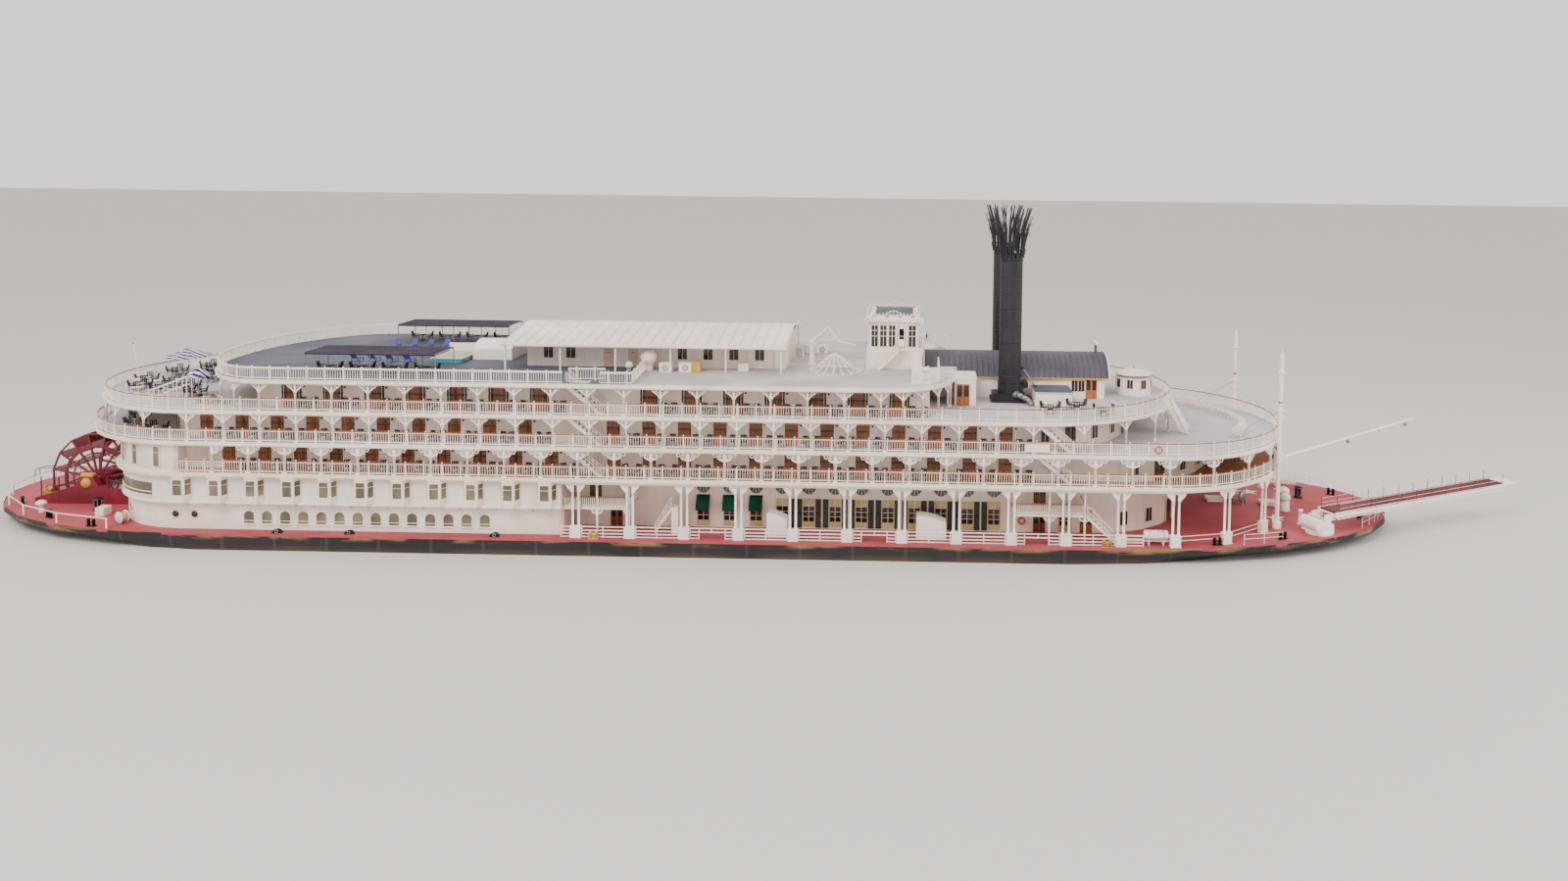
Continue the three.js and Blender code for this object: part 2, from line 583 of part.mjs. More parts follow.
function texas() {
  const low = ROOF + GAP;
  const parts = [box(TEXAS.aft, TEXAS.fore, -TEXAS.half, TEXAS.half, low, TEXAS.top)];
  const hollow = box(TEXAS.aft + WALL, TEXAS.fore - WALL, -TEXAS.half + WALL, TEXAS.half - WALL, low - 5, TEXAS.top - TEXAS.floor);
  const wings = [];
  for (const side of [-1, 1]) {
    wings.push(prism([
      [WING.aft, side * 390], [WING.fore, side * 390], [WING.fore, side * (WING.outer - 120)],
      [WING.fore - 90, side * WING.outer], [WING.aft, side * WING.outer],
    ], low, WING.top));
    const route = [
      [WING.aft + 8, side * 700], [WING.aft + 8, side * (WING.outer - 8)], [WING.fore - 96, side * (WING.outer - 8)],
      [WING.fore - 8, side * (WING.outer - 124)], [WING.fore - 8, side * 420],
    ];
    route.forEach(([x, y], i) => {
      wings.push(bar([x, y, WING.top - 5], [x, y, WING.top + WING.rail], 10));
      if (i + 1 === route.length) return;
      for (const up of [WING.rail - 5]) {
        wings.push(bar([x, y, WING.top + up], [route[i + 1][0], route[i + 1][1], WING.top + up], 8));
      }
    });
  }
  const shell = joined(parts, [hollow]);
  return joined([shell, ...wings]);
}
place('texas_house', 'white', texas());

// Window openings of the pilothouse along one side wall, from aft: start and length.
const SIDE_LIGHTS = [[1628, 62], [1706, 62], [1784, 62], [1962, 68]];
const DOOR = { aft: 1862, length: 78, head: 2076, thick: 10 };
const DOOR_FOOT = TEXAS.top + 6;

function pilothouse() {
  const low = TEXAS.top + GAP;
  const outer = box(PILOT.aft, PILOT.fore, -PILOT.half, PILOT.half, low, PILOT.top);
  const inside = box(PILOT.aft + PILOT.wall, PILOT.fore - PILOT.wall, -PILOT.half + PILOT.wall, PILOT.half - PILOT.wall,
    low - 10, PILOT.top + 10);
  const cuts = [inside];
  for (const [x, length] of SIDE_LIGHTS) cuts.push(box(x, x + length, -500, 500, PILOT.sill, PILOT.head));
  cuts.push(box(DOOR.aft, DOOR.aft + DOOR.length, -500, 500, low - 10, DOOR.head));
  for (let i = 0; i < 6; i += 1) {
    const y = -336 + i * 114;
    cuts.push(box(1500, 2200, y, y + 102, PILOT.sill, PILOT.head));
  }
  const hollow = joined([outer], cuts);
  const pivots = [-1, 1].map((side) => box(DOOR.aft - 8, DOOR.aft + 12, side * 352, side * 366, low, DOOR_FOOT - GAP));
  return joined([hollow, ...pivots]);
}
place('pilothouse', 'white', pilothouse());

function pilothouseDoor(side) {
  const near = side > 0 ? 0 : -DOOR.thick;
  const length = DOOR.length - 12;
  const leaf = box(0, length, near, near + DOOR.thick, 0, DOOR.head - TEXAS.top - 12);
  return joined([leaf], [box(12, length - 12, -40, 40, 70, DOOR.head - TEXAS.top - 30)]);
}
for (const [side, label] of [[-1, 'starboard'], [1, 'port']]) {
  place(`pilothouse_door_${label}`, 'white', pilothouseDoor(side), DOOR.aft + 6, side * (PILOT.half - 12), DOOR_FOOT);
}

function pilothouseRoof() {
  const low = PILOT.top + GAP;
  const slab = box(PILOT.aft - 22, PILOT.fore + 22, -PILOT.half - 22, PILOT.half + 22, low, low + 34);
  const crest = box(PILOT.aft, PILOT.fore, -PILOT.half, PILOT.half, low + 30, low + 82);
  return joined([slab, crest], [box(PILOT.aft + 10, PILOT.fore - 10, -PILOT.half + 10, PILOT.half - 10, low + 34, low + 100)]);
}
place('pilothouse_roof', 'white', pilothouseRoof());

// Sun deck: long house under a low gable roof, canopies, locker, lattice dome and radome.
const SUN_HOUSE = { aft: -1440, fore: 865, half: 480, top: 1950 };
const GABLE = { aft: -1590, fore: 900, half: 760, eave: 1920, ridge: 2035, thick: 12 };

place('sun_house', 'white', joined(
  [box(SUN_HOUSE.aft, SUN_HOUSE.fore, -SUN_HOUSE.half, SUN_HOUSE.half, ROOF + GAP, SUN_HOUSE.top)],
  [box(SUN_HOUSE.aft + WALL, SUN_HOUSE.fore - WALL, -SUN_HOUSE.half + WALL, SUN_HOUSE.half - WALL, 1600, 2100)],
));

function gableRoof() {
  const { half, eave, ridge, thick } = GABLE;
  const parts = [frontPrism([
    [-half, eave - thick], [0, ridge - thick], [half, eave - thick], [half, eave], [0, ridge], [-half, eave],
  ], GABLE.aft, GABLE.fore)];
  for (const side of [-1, 1]) {
    for (let i = 0; i < 6; i += 1) {
      const x = GABLE.aft + 40 + (i * (GABLE.fore - GABLE.aft - 80)) / 5;
      parts.push(box(x - 6, x + 6, side * 735 - 6, side * 735 + 6, ROOF + GAP, eave - 4));
    }
  }
  return joined(parts);
}
place('sun_house_roof', 'white', gableRoof());

const CANOPY = { aft: -3140, fore: -2010, inner: 680, outer: 1090, top: 1885, thick: 10 };

function canopy(side) {
  const parts = [box(CANOPY.aft, CANOPY.fore, side * CANOPY.inner, side * CANOPY.outer, CANOPY.top - CANOPY.thick, CANOPY.top)];
  for (let i = 0; i < 4; i += 1) {
    const x = CANOPY.aft + 20 + (i * (CANOPY.fore - CANOPY.aft - 40)) / 3;
    for (const y of [CANOPY.inner + 20, CANOPY.outer - 20]) {
      parts.push(box(x - 5, x + 5, side * y - 5, side * y + 5, ROOF + GAP, CANOPY.top - 4));
    }
  }
  return joined(parts);
}
place('canopy_starboard', 'darkGrey', canopy(-1));
place('canopy_port', 'darkGrey', canopy(1));

const LOCKER = { aft: -2040, fore: -1680, half: 200, wall: 1790, crown: 1860 };
place('barrel_locker', 'white', frontPrism([
  [-LOCKER.half, ROOF + GAP], [LOCKER.half, ROOF + GAP],
  ...arch(LOCKER.half, LOCKER.wall, LOCKER.crown, 8),
], LOCKER.aft, LOCKER.fore));

// Dome of curved ribs on a ring.
const DOME = { x: 1316, y: -550, radius: 240, height: 155, ribs: 8 };

function latticeDome() {
  const ribPoints = (grow) => Array.from({ length: 4 }, (_, i) => {
    const angle = (i / 3) * Math.PI / 2;
    return [(DOME.radius + grow) * Math.cos(angle), (DOME.height + grow) * Math.sin(angle)];
  });
  const parts = [disc('z', 22, 14, 10, 0, 0, DOME.height - 2)];
  for (let i = 0; i < DOME.ribs; i += 1) {
    const rib = sidePrism([...ribPoints(0), ...ribPoints(-7).reverse()], -3.5, 3.5);
    parts.push(rib.rotateZ((i / DOME.ribs) * 2 * Math.PI));
  }
  const circle = (radius) => Array.from({ length: 16 }, (_, i) => {
    const angle = (i / 16) * 2 * Math.PI;
    return [radius * Math.cos(angle), radius * Math.sin(angle)];
  });
  parts.push(prism(circle(DOME.radius + 3), 0, 8, [circle(DOME.radius - 9).reverse()]));
  return joined(parts);
}
place('lattice_dome', 'white', latticeDome(), DOME.x, DOME.y, ROOF + GAP);

const RADOME = { x: -315, y: -640, radius: 75, stand: 60 };
place('radome', 'white', joined([
  new THREE.SphereGeometry(RADOME.radius, 12, 7).translate(0, 0, RADOME.stand + 60),
  disc('z', 40, RADOME.stand, 8, 0, 0, RADOME.stand / 2),
]), RADOME.x, RADOME.y, ROOF + GAP);

// Knuckle crane on the sun deck; its jib turns on the post.
const CRANE = { x: 1080, y: -180, post: 190 };
place('crane_post', 'white', joined([
  disc('z', 22, CRANE.post, 10, 0, 0, CRANE.post / 2),
  disc('z', 40, 12, 10, 0, 0, 6),
]), CRANE.x, CRANE.y, ROOF + GAP);
place('crane_jib', 'white', joined([
  disc('z', 26, 24, 10, 0, 0, 12),
  bar([0, 0, 12], [150, 0, 150], 20),
  bar([146, 0, 150], [240, 0, 20], 16),
  bar([236, 0, 26], [400, 0, -10], 14),
]), CRANE.x, CRANE.y, ROOF + GAP + CRANE.post + GAP);

// Masts at the deck edge forward, the starboard boom and the landing stage under it.
const MAST = { x: 5195, y: 717, top: 1500, radius: 18 };

function mast() {
  return joined([
    disc('z', 40, 60, 8, 0, 0, 30),
    disc('z', MAST.radius, MAST.top, PIN_SIDES, 0, 0, MAST.top / 2),
    disc('z', 34, 12, 8, 0, 0, MAST.top - 130),
    new THREE.ConeGeometry(20, 70, 8).rotateX(Math.PI / 2).translate(0, 0, MAST.top + 30),
  ]);
}
place('mast_port', 'white', mast(), MAST.x, MAST.y, MAIN_DECK + GAP);

const BOOM = { z: 1020, heading: 25 * Math.PI / 180, length: 1545, pitch: 8.2 * Math.PI / 180, pivot: 52, pin: 6 };

function starboardMast() {
  return joined([
    mast(),
    disc('z', 30, 12, 8, 0, 0, BOOM.z - MAIN_DECK - 36),
    disc('z', 30, 12, 8, 0, 0, BOOM.z - MAIN_DECK + 36),
  ]);
}
place('mast_starboard', 'white', starboardMast(), MAST.x, -MAST.y, MAIN_DECK + GAP);

// Collar that turns round the mast between its two rings; it carries the boom's pin.
const heading = new THREE.Group();
heading.position.set(MAST.x, -MAST.y, BOOM.z);
heading.rotation.z = BOOM.heading;
boat.add(heading);

function gooseneck() {
  const cheeks = [-1, 1].map((off) => box(10, BOOM.pivot + 14, off * 19 - 5, off * 19 + 5, -14, 14));
  const pin = disc('y', BOOM.pin, 44, PIN_SIDES, BOOM.pivot, 0, 0);
  const sleeve = disc('z', 30, 60 - 2 * GAP, PIN_SIDES, 0, 0, 0);
  return joined([sleeve, ...cheeks, pin], [disc('z', bored(MAST.radius), 90, PIN_SIDES, 0, 0, 0)]);
}
const collar = place('boom_gooseneck', 'white', gooseneck());
heading.add(collar);

function boom() {
  const spar = new THREE.CylinderGeometry(9, 17, BOOM.length - 30, 10).rotateZ(-Math.PI / 2);
  spar.translate(BOOM.length / 2 + 15, 0, 0);
  const heel = box(-13, 40, -13, 13, -12, 12);
  const tip = disc('y', 16, 20, 8, BOOM.length, 0, 0);
  return joined([spar, heel, tip], [disc('y', bored(BOOM.pin), 60, PIN_SIDES, 0, 0, 0)]);
}
const spar = place('boom', 'white', boom(), BOOM.pivot, 0, 0);
spar.rotation.y = -BOOM.pitch;
heading.add(spar);

// Landing stage: turntable on the foredeck, lifting span and hinged flap at its tip.
const STAGE = {
  x: 5530, y: -820, heading: 25.6 * Math.PI / 180, pitch: 1.2 * Math.PI / 180,
  pivot: 130, length: 2190, half: 105, pin: 8, flap: 170, flapHalf: 90, knuckle: 9, flapPin: 4, flapZ: 36,
};
const stageHeading = new THREE.Group();
stageHeading.position.set(STAGE.x, STAGE.y, MAIN_DECK + GAP);
stageHeading.rotation.z = STAGE.heading;
boat.add(stageHeading);

function turntable() {
  const parts = [
    disc('z', 120, 24, 16, 0, 0, 12),
    box(-110, 70, -95, 95, 20, 90),
    disc('y', 55, 200, 12, -85, 0, 90),
  ];
  for (const off of [-1, 1]) parts.push(box(-30, 30, off * 92 - 8, off * 92 + 8, 60, STAGE.pivot + 14));
  parts.push(disc('y', STAGE.pin, 216, PIN_SIDES, 0, 0, STAGE.pivot));
  return joined(parts);
}
stageHeading.add(place('stage_turntable', 'steel', turntable()));

const stageLift = new THREE.Group();
stageLift.position.set(0, 0, STAGE.pivot);
stageLift.rotation.y = -STAGE.pitch;
stageHeading.add(stageLift);

function stageSpan() {
  const { length, half } = STAGE;
  const parts = [
    box(80, length - 12, -half, half, 30, 40),
    disc('y', STAGE.flapPin, 2 * half - 4, PIN_SIDES, length + 2, 0, STAGE.flapZ),
  ];
  for (const off of [-1, 1]) {
    const y = off * (half - 5);
    const beam = [[80, 10], [length - 500, 10], [length + 8, 26], [length + 8, 46], [80, 56]];
    parts.push(sidePrism(beam, y - 5, y + 5));
    parts.push(box(-14, 100, off * 72 - 8, off * 72 + 8, -14, 40));
  }
  return joined(parts, [disc('y', bored(STAGE.pin), 180, PIN_SIDES, 0, 0, 0)]);
}
stageLift.add(place('stage_span', 'white', stageSpan()));

function stageFlap() {
  const { flap, flapHalf, knuckle } = STAGE;
  return joined([
    sidePrism([[0, -4], [flap, -8], [flap, 0], [0, 4]], -flapHalf, flapHalf),
    disc('y', knuckle, 2 * flapHalf, PIN_SIDES, 0, 0, 0),
  ], [disc('y', bored(STAGE.flapPin), 200, PIN_SIDES, 0, 0, 0)]);
}
stageLift.add(place('stage_flap', 'white', stageFlap(), STAGE.length + 2, 0, STAGE.flapZ));

// Capstans turn on the deck.
const CAPSTAN = { bow: [5700, 250], stern: [-5170, -755] };

function capstan() {
  const profile = [[0, GAP], [42, GAP], [42, 12], [22, 30], [22, 64], [34, 100], [20, 110], [0, 110]];
  return new THREE.LatheGeometry(toVectors(profile), 12).rotateX(Math.PI / 2);
}
place('capstan_bow', 'stackBlack', capstan(), CAPSTAN.bow[0], CAPSTAN.bow[1], MAIN_DECK);
place('capstan_stern', 'stackBlack', capstan(), CAPSTAN.stern[0], CAPSTAN.stern[1], MAIN_DECK);

export default boat;
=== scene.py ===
"""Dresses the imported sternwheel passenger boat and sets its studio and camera.

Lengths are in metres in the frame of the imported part: +X is the bow, +Y is port, +Z is up, and
one real metre is 0.1. Every piece is built in place, with its object at the origin.
"""
from __future__ import annotations

import logging
import math
import random
from dataclasses import dataclass
from enum import Enum
from typing import Iterable, Sequence

import bmesh
import bpy
import numpy as np
from mathutils import Matrix, Vector


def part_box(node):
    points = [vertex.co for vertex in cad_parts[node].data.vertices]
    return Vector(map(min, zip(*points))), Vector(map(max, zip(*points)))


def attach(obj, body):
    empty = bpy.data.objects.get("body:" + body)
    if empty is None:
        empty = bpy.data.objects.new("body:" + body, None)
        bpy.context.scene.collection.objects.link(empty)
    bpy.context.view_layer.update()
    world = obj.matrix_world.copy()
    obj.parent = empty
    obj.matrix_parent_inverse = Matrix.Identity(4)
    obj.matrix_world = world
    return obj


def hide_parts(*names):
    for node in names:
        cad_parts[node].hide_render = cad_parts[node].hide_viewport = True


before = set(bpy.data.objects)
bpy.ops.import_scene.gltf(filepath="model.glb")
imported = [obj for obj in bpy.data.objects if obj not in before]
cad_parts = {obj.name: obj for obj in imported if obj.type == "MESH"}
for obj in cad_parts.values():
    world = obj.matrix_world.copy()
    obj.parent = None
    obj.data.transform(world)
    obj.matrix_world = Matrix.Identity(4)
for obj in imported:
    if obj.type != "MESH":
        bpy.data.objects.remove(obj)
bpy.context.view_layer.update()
LOG = logging.getLogger("steamboat")

# Heights of the decks and of the water, as in the solids.
MAIN, MEZZANINE, DECK_3, DECK_4, DECK_5, ROOF = 0.400, 0.650, 0.905, 1.165, 1.430, 1.692
PLATE = 0.030
WATERLINE = 0.260
BOTH = (-1, 1)

Point = Sequence[float]


# ---------------------------------------------------------------- finishes


def linear(colour: str) -> tuple[float, float, float, float]:
    """Turns an sRGB hex colour into linear red, green, blue and alpha."""
    parts = [int(colour[i:i + 2], 16) / 255 for i in (1, 3, 5)]
    red, green, blue = (p / 12.92 if p <= 0.04045 else ((p + 0.055) / 1.055) ** 2.4 for p in parts)
    return red, green, blue, 1.0


def add_node(tree: bpy.types.NodeTree, kind: str, settings: dict[str, object] | None = None,
             inputs: dict[object, object] | None = None) -> bpy.types.Node:
    """Adds a shader node.

    Args:
        tree: node tree that gets the node.
        kind: identifier of the node's type.
        settings: values of the node's own properties.
        inputs: value or linked output for each input, by name or number.

    Returns:
        The new node.
    """
    node = tree.nodes.new(kind)
    for name, value in (settings or {}).items():
        setattr(node, name, value)
    for key, value in (inputs or {}).items():
        if isinstance(value, bpy.types.NodeSocket):
            tree.links.new(value, node.inputs[key])
        else:
            node.inputs[key].default_value = value
    return node


def noise(tree: bpy.types.NodeTree, grain: float, stretch: Point = (1, 1, 1), detail: float = 4.0,
          low: float = 0.35, high: float = 0.65) -> bpy.types.NodeSocket:
    """Noise of a given grain size in metres, spread from 0 to 1 between its low and high values."""
    place = add_node(tree, "ShaderNodeTexCoord")
    mapping = add_node(tree, "ShaderNodeMapping", None,
                       {"Vector": place.outputs["Object"], "Scale": Vector(stretch)})
    field = add_node(tree, "ShaderNodeTexNoise", None,
                     {"Vector": mapping.outputs[0], "Scale": 1 / grain, "Detail": detail})
    spread = add_node(tree, "ShaderNodeMapRange", None,
                      {"Value": field.outputs["Fac"], "From Min": low, "From Max": high})
    return spread.outputs[0]


def mixed(tree: bpy.types.NodeTree, factor: object, first: object, second: object) -> bpy.types.NodeSocket:
    """Mixes two colours, each a hex text or a socket."""
    pair = [linear(c) if isinstance(c, str) else c for c in (first, second)]
    node = add_node(tree, "ShaderNodeMix", {"data_type": "RGBA"}, {0: factor, 6: pair[0], 7: pair[1]})
    return node.outputs[2]


def combined(tree: bpy.types.NodeTree, operation: str, first: object, second: object) -> bpy.types.NodeSocket:
    """Joins two numbers by a math operation."""
    return add_node(tree, "ShaderNodeMath", {"operation": operation, "use_clamp": True},
                    {0: first, 1: second}).outputs[0]


def band(tree: bpy.types.NodeTree, value: bpy.types.NodeSocket, start: float,
         end: float) -> bpy.types.NodeSocket:
    """Rises from 0 at start to 1 at end."""
    return add_node(tree, "ShaderNodeMapRange", None,
                    {"Value": value, "From Min": start, "From Max": end}).outputs[0]


def axes_of(tree: bpy.types.NodeTree, source: str, output: str) -> bpy.types.Node:
    """Separates a vector output of a coordinate node into its axes."""
    node = add_node(tree, source)
    return add_node(tree, "ShaderNodeSeparateXYZ", None, {0: node.outputs[output]})


def surfaced(tree: bpy.types.NodeTree, colour: object, roughness: object, height: object = None,
             depth: float = 0.0, **fixed: float) -> None:
    """Ends a tree in one shader.

    Args:
        tree: node tree of the material.
        colour: hex text or socket of the base colour.
        roughness: number or socket.
        height: socket of the relief, if any.
        depth: height of the relief in metres.
        fixed: other values of the shader, with underscores for spaces.
    """
    inputs: dict[object, object] = {"Base Color": linear(colour) if isinstance(colour, str) else colour,
                                    "Roughness": roughness}
    inputs.update({name.replace("_", " "): value for name, value in fixed.items()})
    if height is not None:
        relief = add_node(tree, "ShaderNodeBump", None,
                          {"Height": height, "Distance": depth, "Strength": 1.0})
        inputs["Normal"] = relief.outputs[0]
    shader = add_node(tree, "ShaderNodeBsdfPrincipled", None, inputs)
    add_node(tree, "ShaderNodeOutputMaterial", None, {"Surface": shader.outputs[0]})


@dataclass(frozen=True)
class Finish:
    """A finish by name; its material is made once."""

    name: str

    def material(self) -> bpy.types.Material:
        """The finish's material."""
        made = bpy.data.materials.get(self.name)
        if made is None:
            made = bpy.data.materials.new(self.name)
            made.use_nodes = True
            made.node_tree.nodes.clear()
            self.paint(made.node_tree)
        return made

    def paint(self, tree: bpy.types.NodeTree) -> None:
        """Fills the node tree."""
        raise NotImplementedError


@dataclass(frozen=True)
class Enamel(Finish):
    """Brushed alkyd enamel on steel or wood: a slightly uneven film with rain streaks and grime."""

    colour: str
    shade: str
    grime: str = "#7A6655"
    soiling: float = 0.35
    roughness: float = 0.42
    metal: float = 0.0

    def paint(self, tree: bpy.types.NodeTree) -> None:
        """Mottle, streaks down the walls and fine brush relief."""
        mottle = noise(tree, 0.35)
        film = mixed(tree, mottle, self.colour, self.shade)
        streaks = noise(tree, 0.05, (1, 1, 0.12), 5.0, 0.52, 0.78)
        patches = noise(tree, 0.5, (1, 1, 1), 3.0, 0.35, 0.75)
        amount = combined(tree, "MULTIPLY", combined(tree, "MULTIPLY", streaks, patches), self.soiling)
        dirty = mixed(tree, amount, film, self.grime)
        # Brush marks of 6 mm: real ones, a tenth of a millimetre at this scale, would not show.
        fine = noise(tree, 0.006, (1, 1, 1), 3.0, 0.2, 0.8)
        rough = add_node(tree, "ShaderNodeMapRange", None,
                         {"Value": fine, "To Min": self.roughness - 0.07,
                          "To Max": self.roughness + 0.12}).outputs[0]
        surfaced(tree, dirty, rough, fine, 0.0004, Metallic=self.metal)


@dataclass(frozen=True)
class DeckCoat(Finish):
    """Rolled non-slip deck coating on top, white enamel on the edges and a darker painted shade under the
    plate.
    """

    colour: str
    worn: str
    edge: str = "#F0E5DC"
    # Darker white: a mottle on the edges, and painted shade on faces that look down.
    mottle_and_soffit_shade: str = "#D9CCC4"
    planked: float = 0.0
    ahead: str = ""
    split: float = -0.33

    def paint(self, tree: bpy.types.NodeTree) -> None:
        """Coating by the way a face looks, with scuffs, dried puddles and painted shade under the plate."""
        normal = axes_of(tree, "ShaderNodeNewGeometry", "Normal").outputs[2]
        top = band(tree, normal, 0.45, 0.55)
        under = band(tree, normal, -0.45, -0.55)
        wear = noise(tree, 0.6, (1, 1, 1), 8.0, 0.42, 0.66)
        coat = mixed(tree, wear, self.colour, self.worn)
        if self.ahead:
            along = axes_of(tree, "ShaderNodeTexCoord", "Object").outputs[0]
            coat = mixed(tree, band(tree, along, self.split - 0.004, self.split + 0.004), coat,
                         mixed(tree, wear, self.ahead, "#C9BFBA"))
        if self.planked > 0:
            across = axes_of(tree, "ShaderNodeTexCoord", "Object").outputs[1]
            strip = combined(tree, "FRACT", add_node(tree, "ShaderNodeMath", {"operation": "ABSOLUTE"}, {
                0: add_node(tree, "ShaderNodeMath", {"operation": "DIVIDE"},
                            {0: across, 1: self.planked}).outputs[0],
            }).outputs[0], 0.0)
            seam = band(tree, strip, 0.12, 0.04)
            coat = mixed(tree, seam, coat, "#3B2A20")
        # The edges mottle between the two whites; faces that look down take the darker one all over, as
        # painted shade under the plate.
        sides = mixed(tree, noise(tree, 0.2), self.edge, self.mottle_and_soffit_shade)
        wall = mixed(tree, under, sides, self.mottle_and_soffit_shade)
        # Grit of 4 mm, coarser than the real sand in the coating so that it shows.
        grit = noise(tree, 0.004, (1, 1, 1), 2.0, 0.3, 0.7)
        surfaced(tree, mixed(tree, top, wall, coat), 0.72, grit, 0.0006)


@dataclass(frozen=True)
class HullPaint(Finish):
    """Black hull enamel: rubbed along the guard, muddy at the water and dull red under it."""

    guard_foot: float = 0.345
    guard_top: float = 0.372
    mud_top: float = 0.318
    mud_foot: float = 0.272
    water_top: float = 0.258
    water_foot: float = 0.250

    def paint(self, tree: bpy.types.NodeTree) -> None:
        """Bands by height with broken edges."""
        height = axes_of(tree, "ShaderNodeTexCoord", "Object").outputs[2]
        plate = mixed(tree, noise(tree, 0.8), "#0E0D10", "#1B191C")
        ribs = add_node(tree, "ShaderNodeTexWave", {"wave_type": "BANDS", "bands_direction": "X"},
                        {"Vector": add_node(tree, "ShaderNodeTexCoord").outputs["Object"], "Scale": 0.72})
        seam = band(tree, ribs.outputs["Fac"], 0.985, 1.0)
        ribbed = mixed(tree, combined(tree, "MULTIPLY", seam, 0.35), plate, "#4A4340")
        scuffs = noise(tree, 0.16, (0.35, 0.35, 1.8), 6.0, 0.5, 0.62)
        guard = combined(tree, "MULTIPLY", band(tree, height, self.guard_foot, self.guard_top), scuffs)
        rubbed = mixed(tree, guard, ribbed, "#8A6A3C")
        mud = combined(tree, "MULTIPLY", band(tree, height, self.mud_top, self.mud_foot),
                       noise(tree, 0.3, (0.6, 0.6, 3), 6.0, 0.3, 0.6))
        muddy = mixed(tree, combined(tree, "MULTIPLY", mud, 0.5), rubbed, "#5E5038")
        below = band(tree, height, self.water_top, self.water_foot)
        surfaced(tree, mixed(tree, below, muddy, "#4B2420"), 0.55, noise(tree, 0.03), 0.0012)


@dataclass(frozen=True)
class Timber(Finish):
    """Varnished hardwood, with its grain along one axis."""

    colour: str
    dark: str
    along: Point = (1, 1, 0.08)
    roughness: float = 0.35

    def paint(self, tree: bpy.types.NodeTree) -> None:
        """Stretched grain under a clear coat."""
        grain = noise(tree, 0.012, self.along, 6.0, 0.3, 0.7)
        surfaced(tree, mixed(tree, grain, self.colour, self.dark), self.roughness, grain, 0.0003,
                 Coat_Weight=0.3)


@dataclass(frozen=True)
class Glass(Finish):
    """Window glass over a dim room: dark, with faint unevenness of the rooms behind."""

    colour: str = "#17120F"
    room: str = "#3A2A1E"

    def paint(self, tree: bpy.types.NodeTree) -> None:
        """Dark glossy panes."""
        rooms = noise(tree, 0.22, (1, 1, 1), 3.0, 0.42, 0.7)
        surfaced(tree, mixed(tree, rooms, self.colour, self.room), 0.07, None, 0.0, IOR=1.5)


@dataclass(frozen=True)
class Cloth(Finish):
    """Woven acrylic or canvas, drawn with threads coarse enough to show."""

    colour: str
    shade: str
    stripe: str = ""
    pitch: float = 0.03

    def paint(self, tree: bpy.types.NodeTree) -> None:
        """Weave relief, sun fading and optional stripes along Y."""
        cloth: object = mixed(tree, noise(tree, 0.12), self.colour, self.shade)
        if self.stripe:
            along = axes_of(tree, "ShaderNodeTexCoord", "Object").outputs[1]
            part = add_node(tree, "ShaderNodeMath", {"operation": "PINGPONG"},
                            {0: along, 1: self.pitch}).outputs[0]
            cloth = mixed(tree, band(tree, part, 0.49 * self.pitch, 0.51 * self.pitch), cloth, self.stripe)
        # Threads of 2 mm: real ones are far finer at this scale and would not show.
        weave = noise(tree, 0.002, (1, 1, 1), 1.0, 0.3, 0.7)
        surfaced(tree, cloth, 0.92, weave, 0.0005, Specular_IOR_Level=0.2)


@dataclass(frozen=True)
class Metal(Finish):
    """Bare or sprayed metal with a brushed or sooty grain."""

    colour: str
    shade: str
    roughness: float = 0.35
    metal: float = 1.0

    def paint(self, tree: bpy.types.NodeTree) -> None:
        """Two tones and a fine grain."""
        blotches = noise(tree, 0.15, (1, 1, 0.4), 5.0)
        # A brushed grain of 3 mm, coarser than the real one so that it shows.
        grain = noise(tree, 0.003, (1, 1, 0.05), 2.0, 0.2, 0.8)
        rough = add_node(tree, "ShaderNodeMapRange", None,
                         {"Value": blotches, "To Min": self.roughness,
                          "To Max": self.roughness + 0.2}).outputs[0]
        surfaced(tree, mixed(tree, blotches, self.colour, self.shade), rough, grain, 0.0002,
                 Metallic=self.metal)


# Brushed alkyd enamel on the trim: a warm white with faint rain streaks and a soft gloss.
WHITE = Enamel("white_enamel", "#F4EAE2", "#E6D8CE", "#8C7260", 0.30)
# The same enamel a tone yellower, so that frames and edges part from the white beside them.
CREAM = Enamel("cream_trim_enamel", "#F6EBDC", "#EADBC8", "#8C6E50", 0.25)
# Rolled enamel on the cabin walls: greyer and duller, so that the trim stands out from it.
WALL = Enamel("cabin_wall_enamel", "#E9DAD0", "#D6C4B8", "#86705F", 0.35)
# Rolled enamel behind the gallery: warmer, since the deck above shades it.
GALLERY_WALL = Enamel("gallery_wall_enamel", "#EEDFD3", "#DCC9BB", "#7E6652", 0.35)
# Rolled non-slip coating: matt red with grit, paler where it is scuffed, and a darker red as painted shade
# under the plate.
RED_DECK = DeckCoat("red_deck_coating", "#98363F", "#AC4C54", "#B0444C", "#9A3A42")
# Rolled non-slip coating: pale, matt and patchy with dried puddles.
GREY_DECK = DeckCoat("grey_deck_coating", "#A9A6A9", "#C2BDBD")
# Planks under brown coating: strips of 12 mm, 120 mm on the real boat, with dark seams.
BROWN_DECK = DeckCoat("brown_deck_coating", "#8F5C36", "#A6733F", planked=0.012)
# Roof coating: dark blue-grey, matt, a little chalky.
SLATE_ROOF = DeckCoat("slate_roof_coating", "#3F424E", "#565966")
# The roof in two tones: slate aft, and pale grey ahead of the place where they meet.
ROOF_COAT = DeckCoat("two_tone_roof_coating", "#474A57", "#5C5F6B", ahead="#A9A3A3")
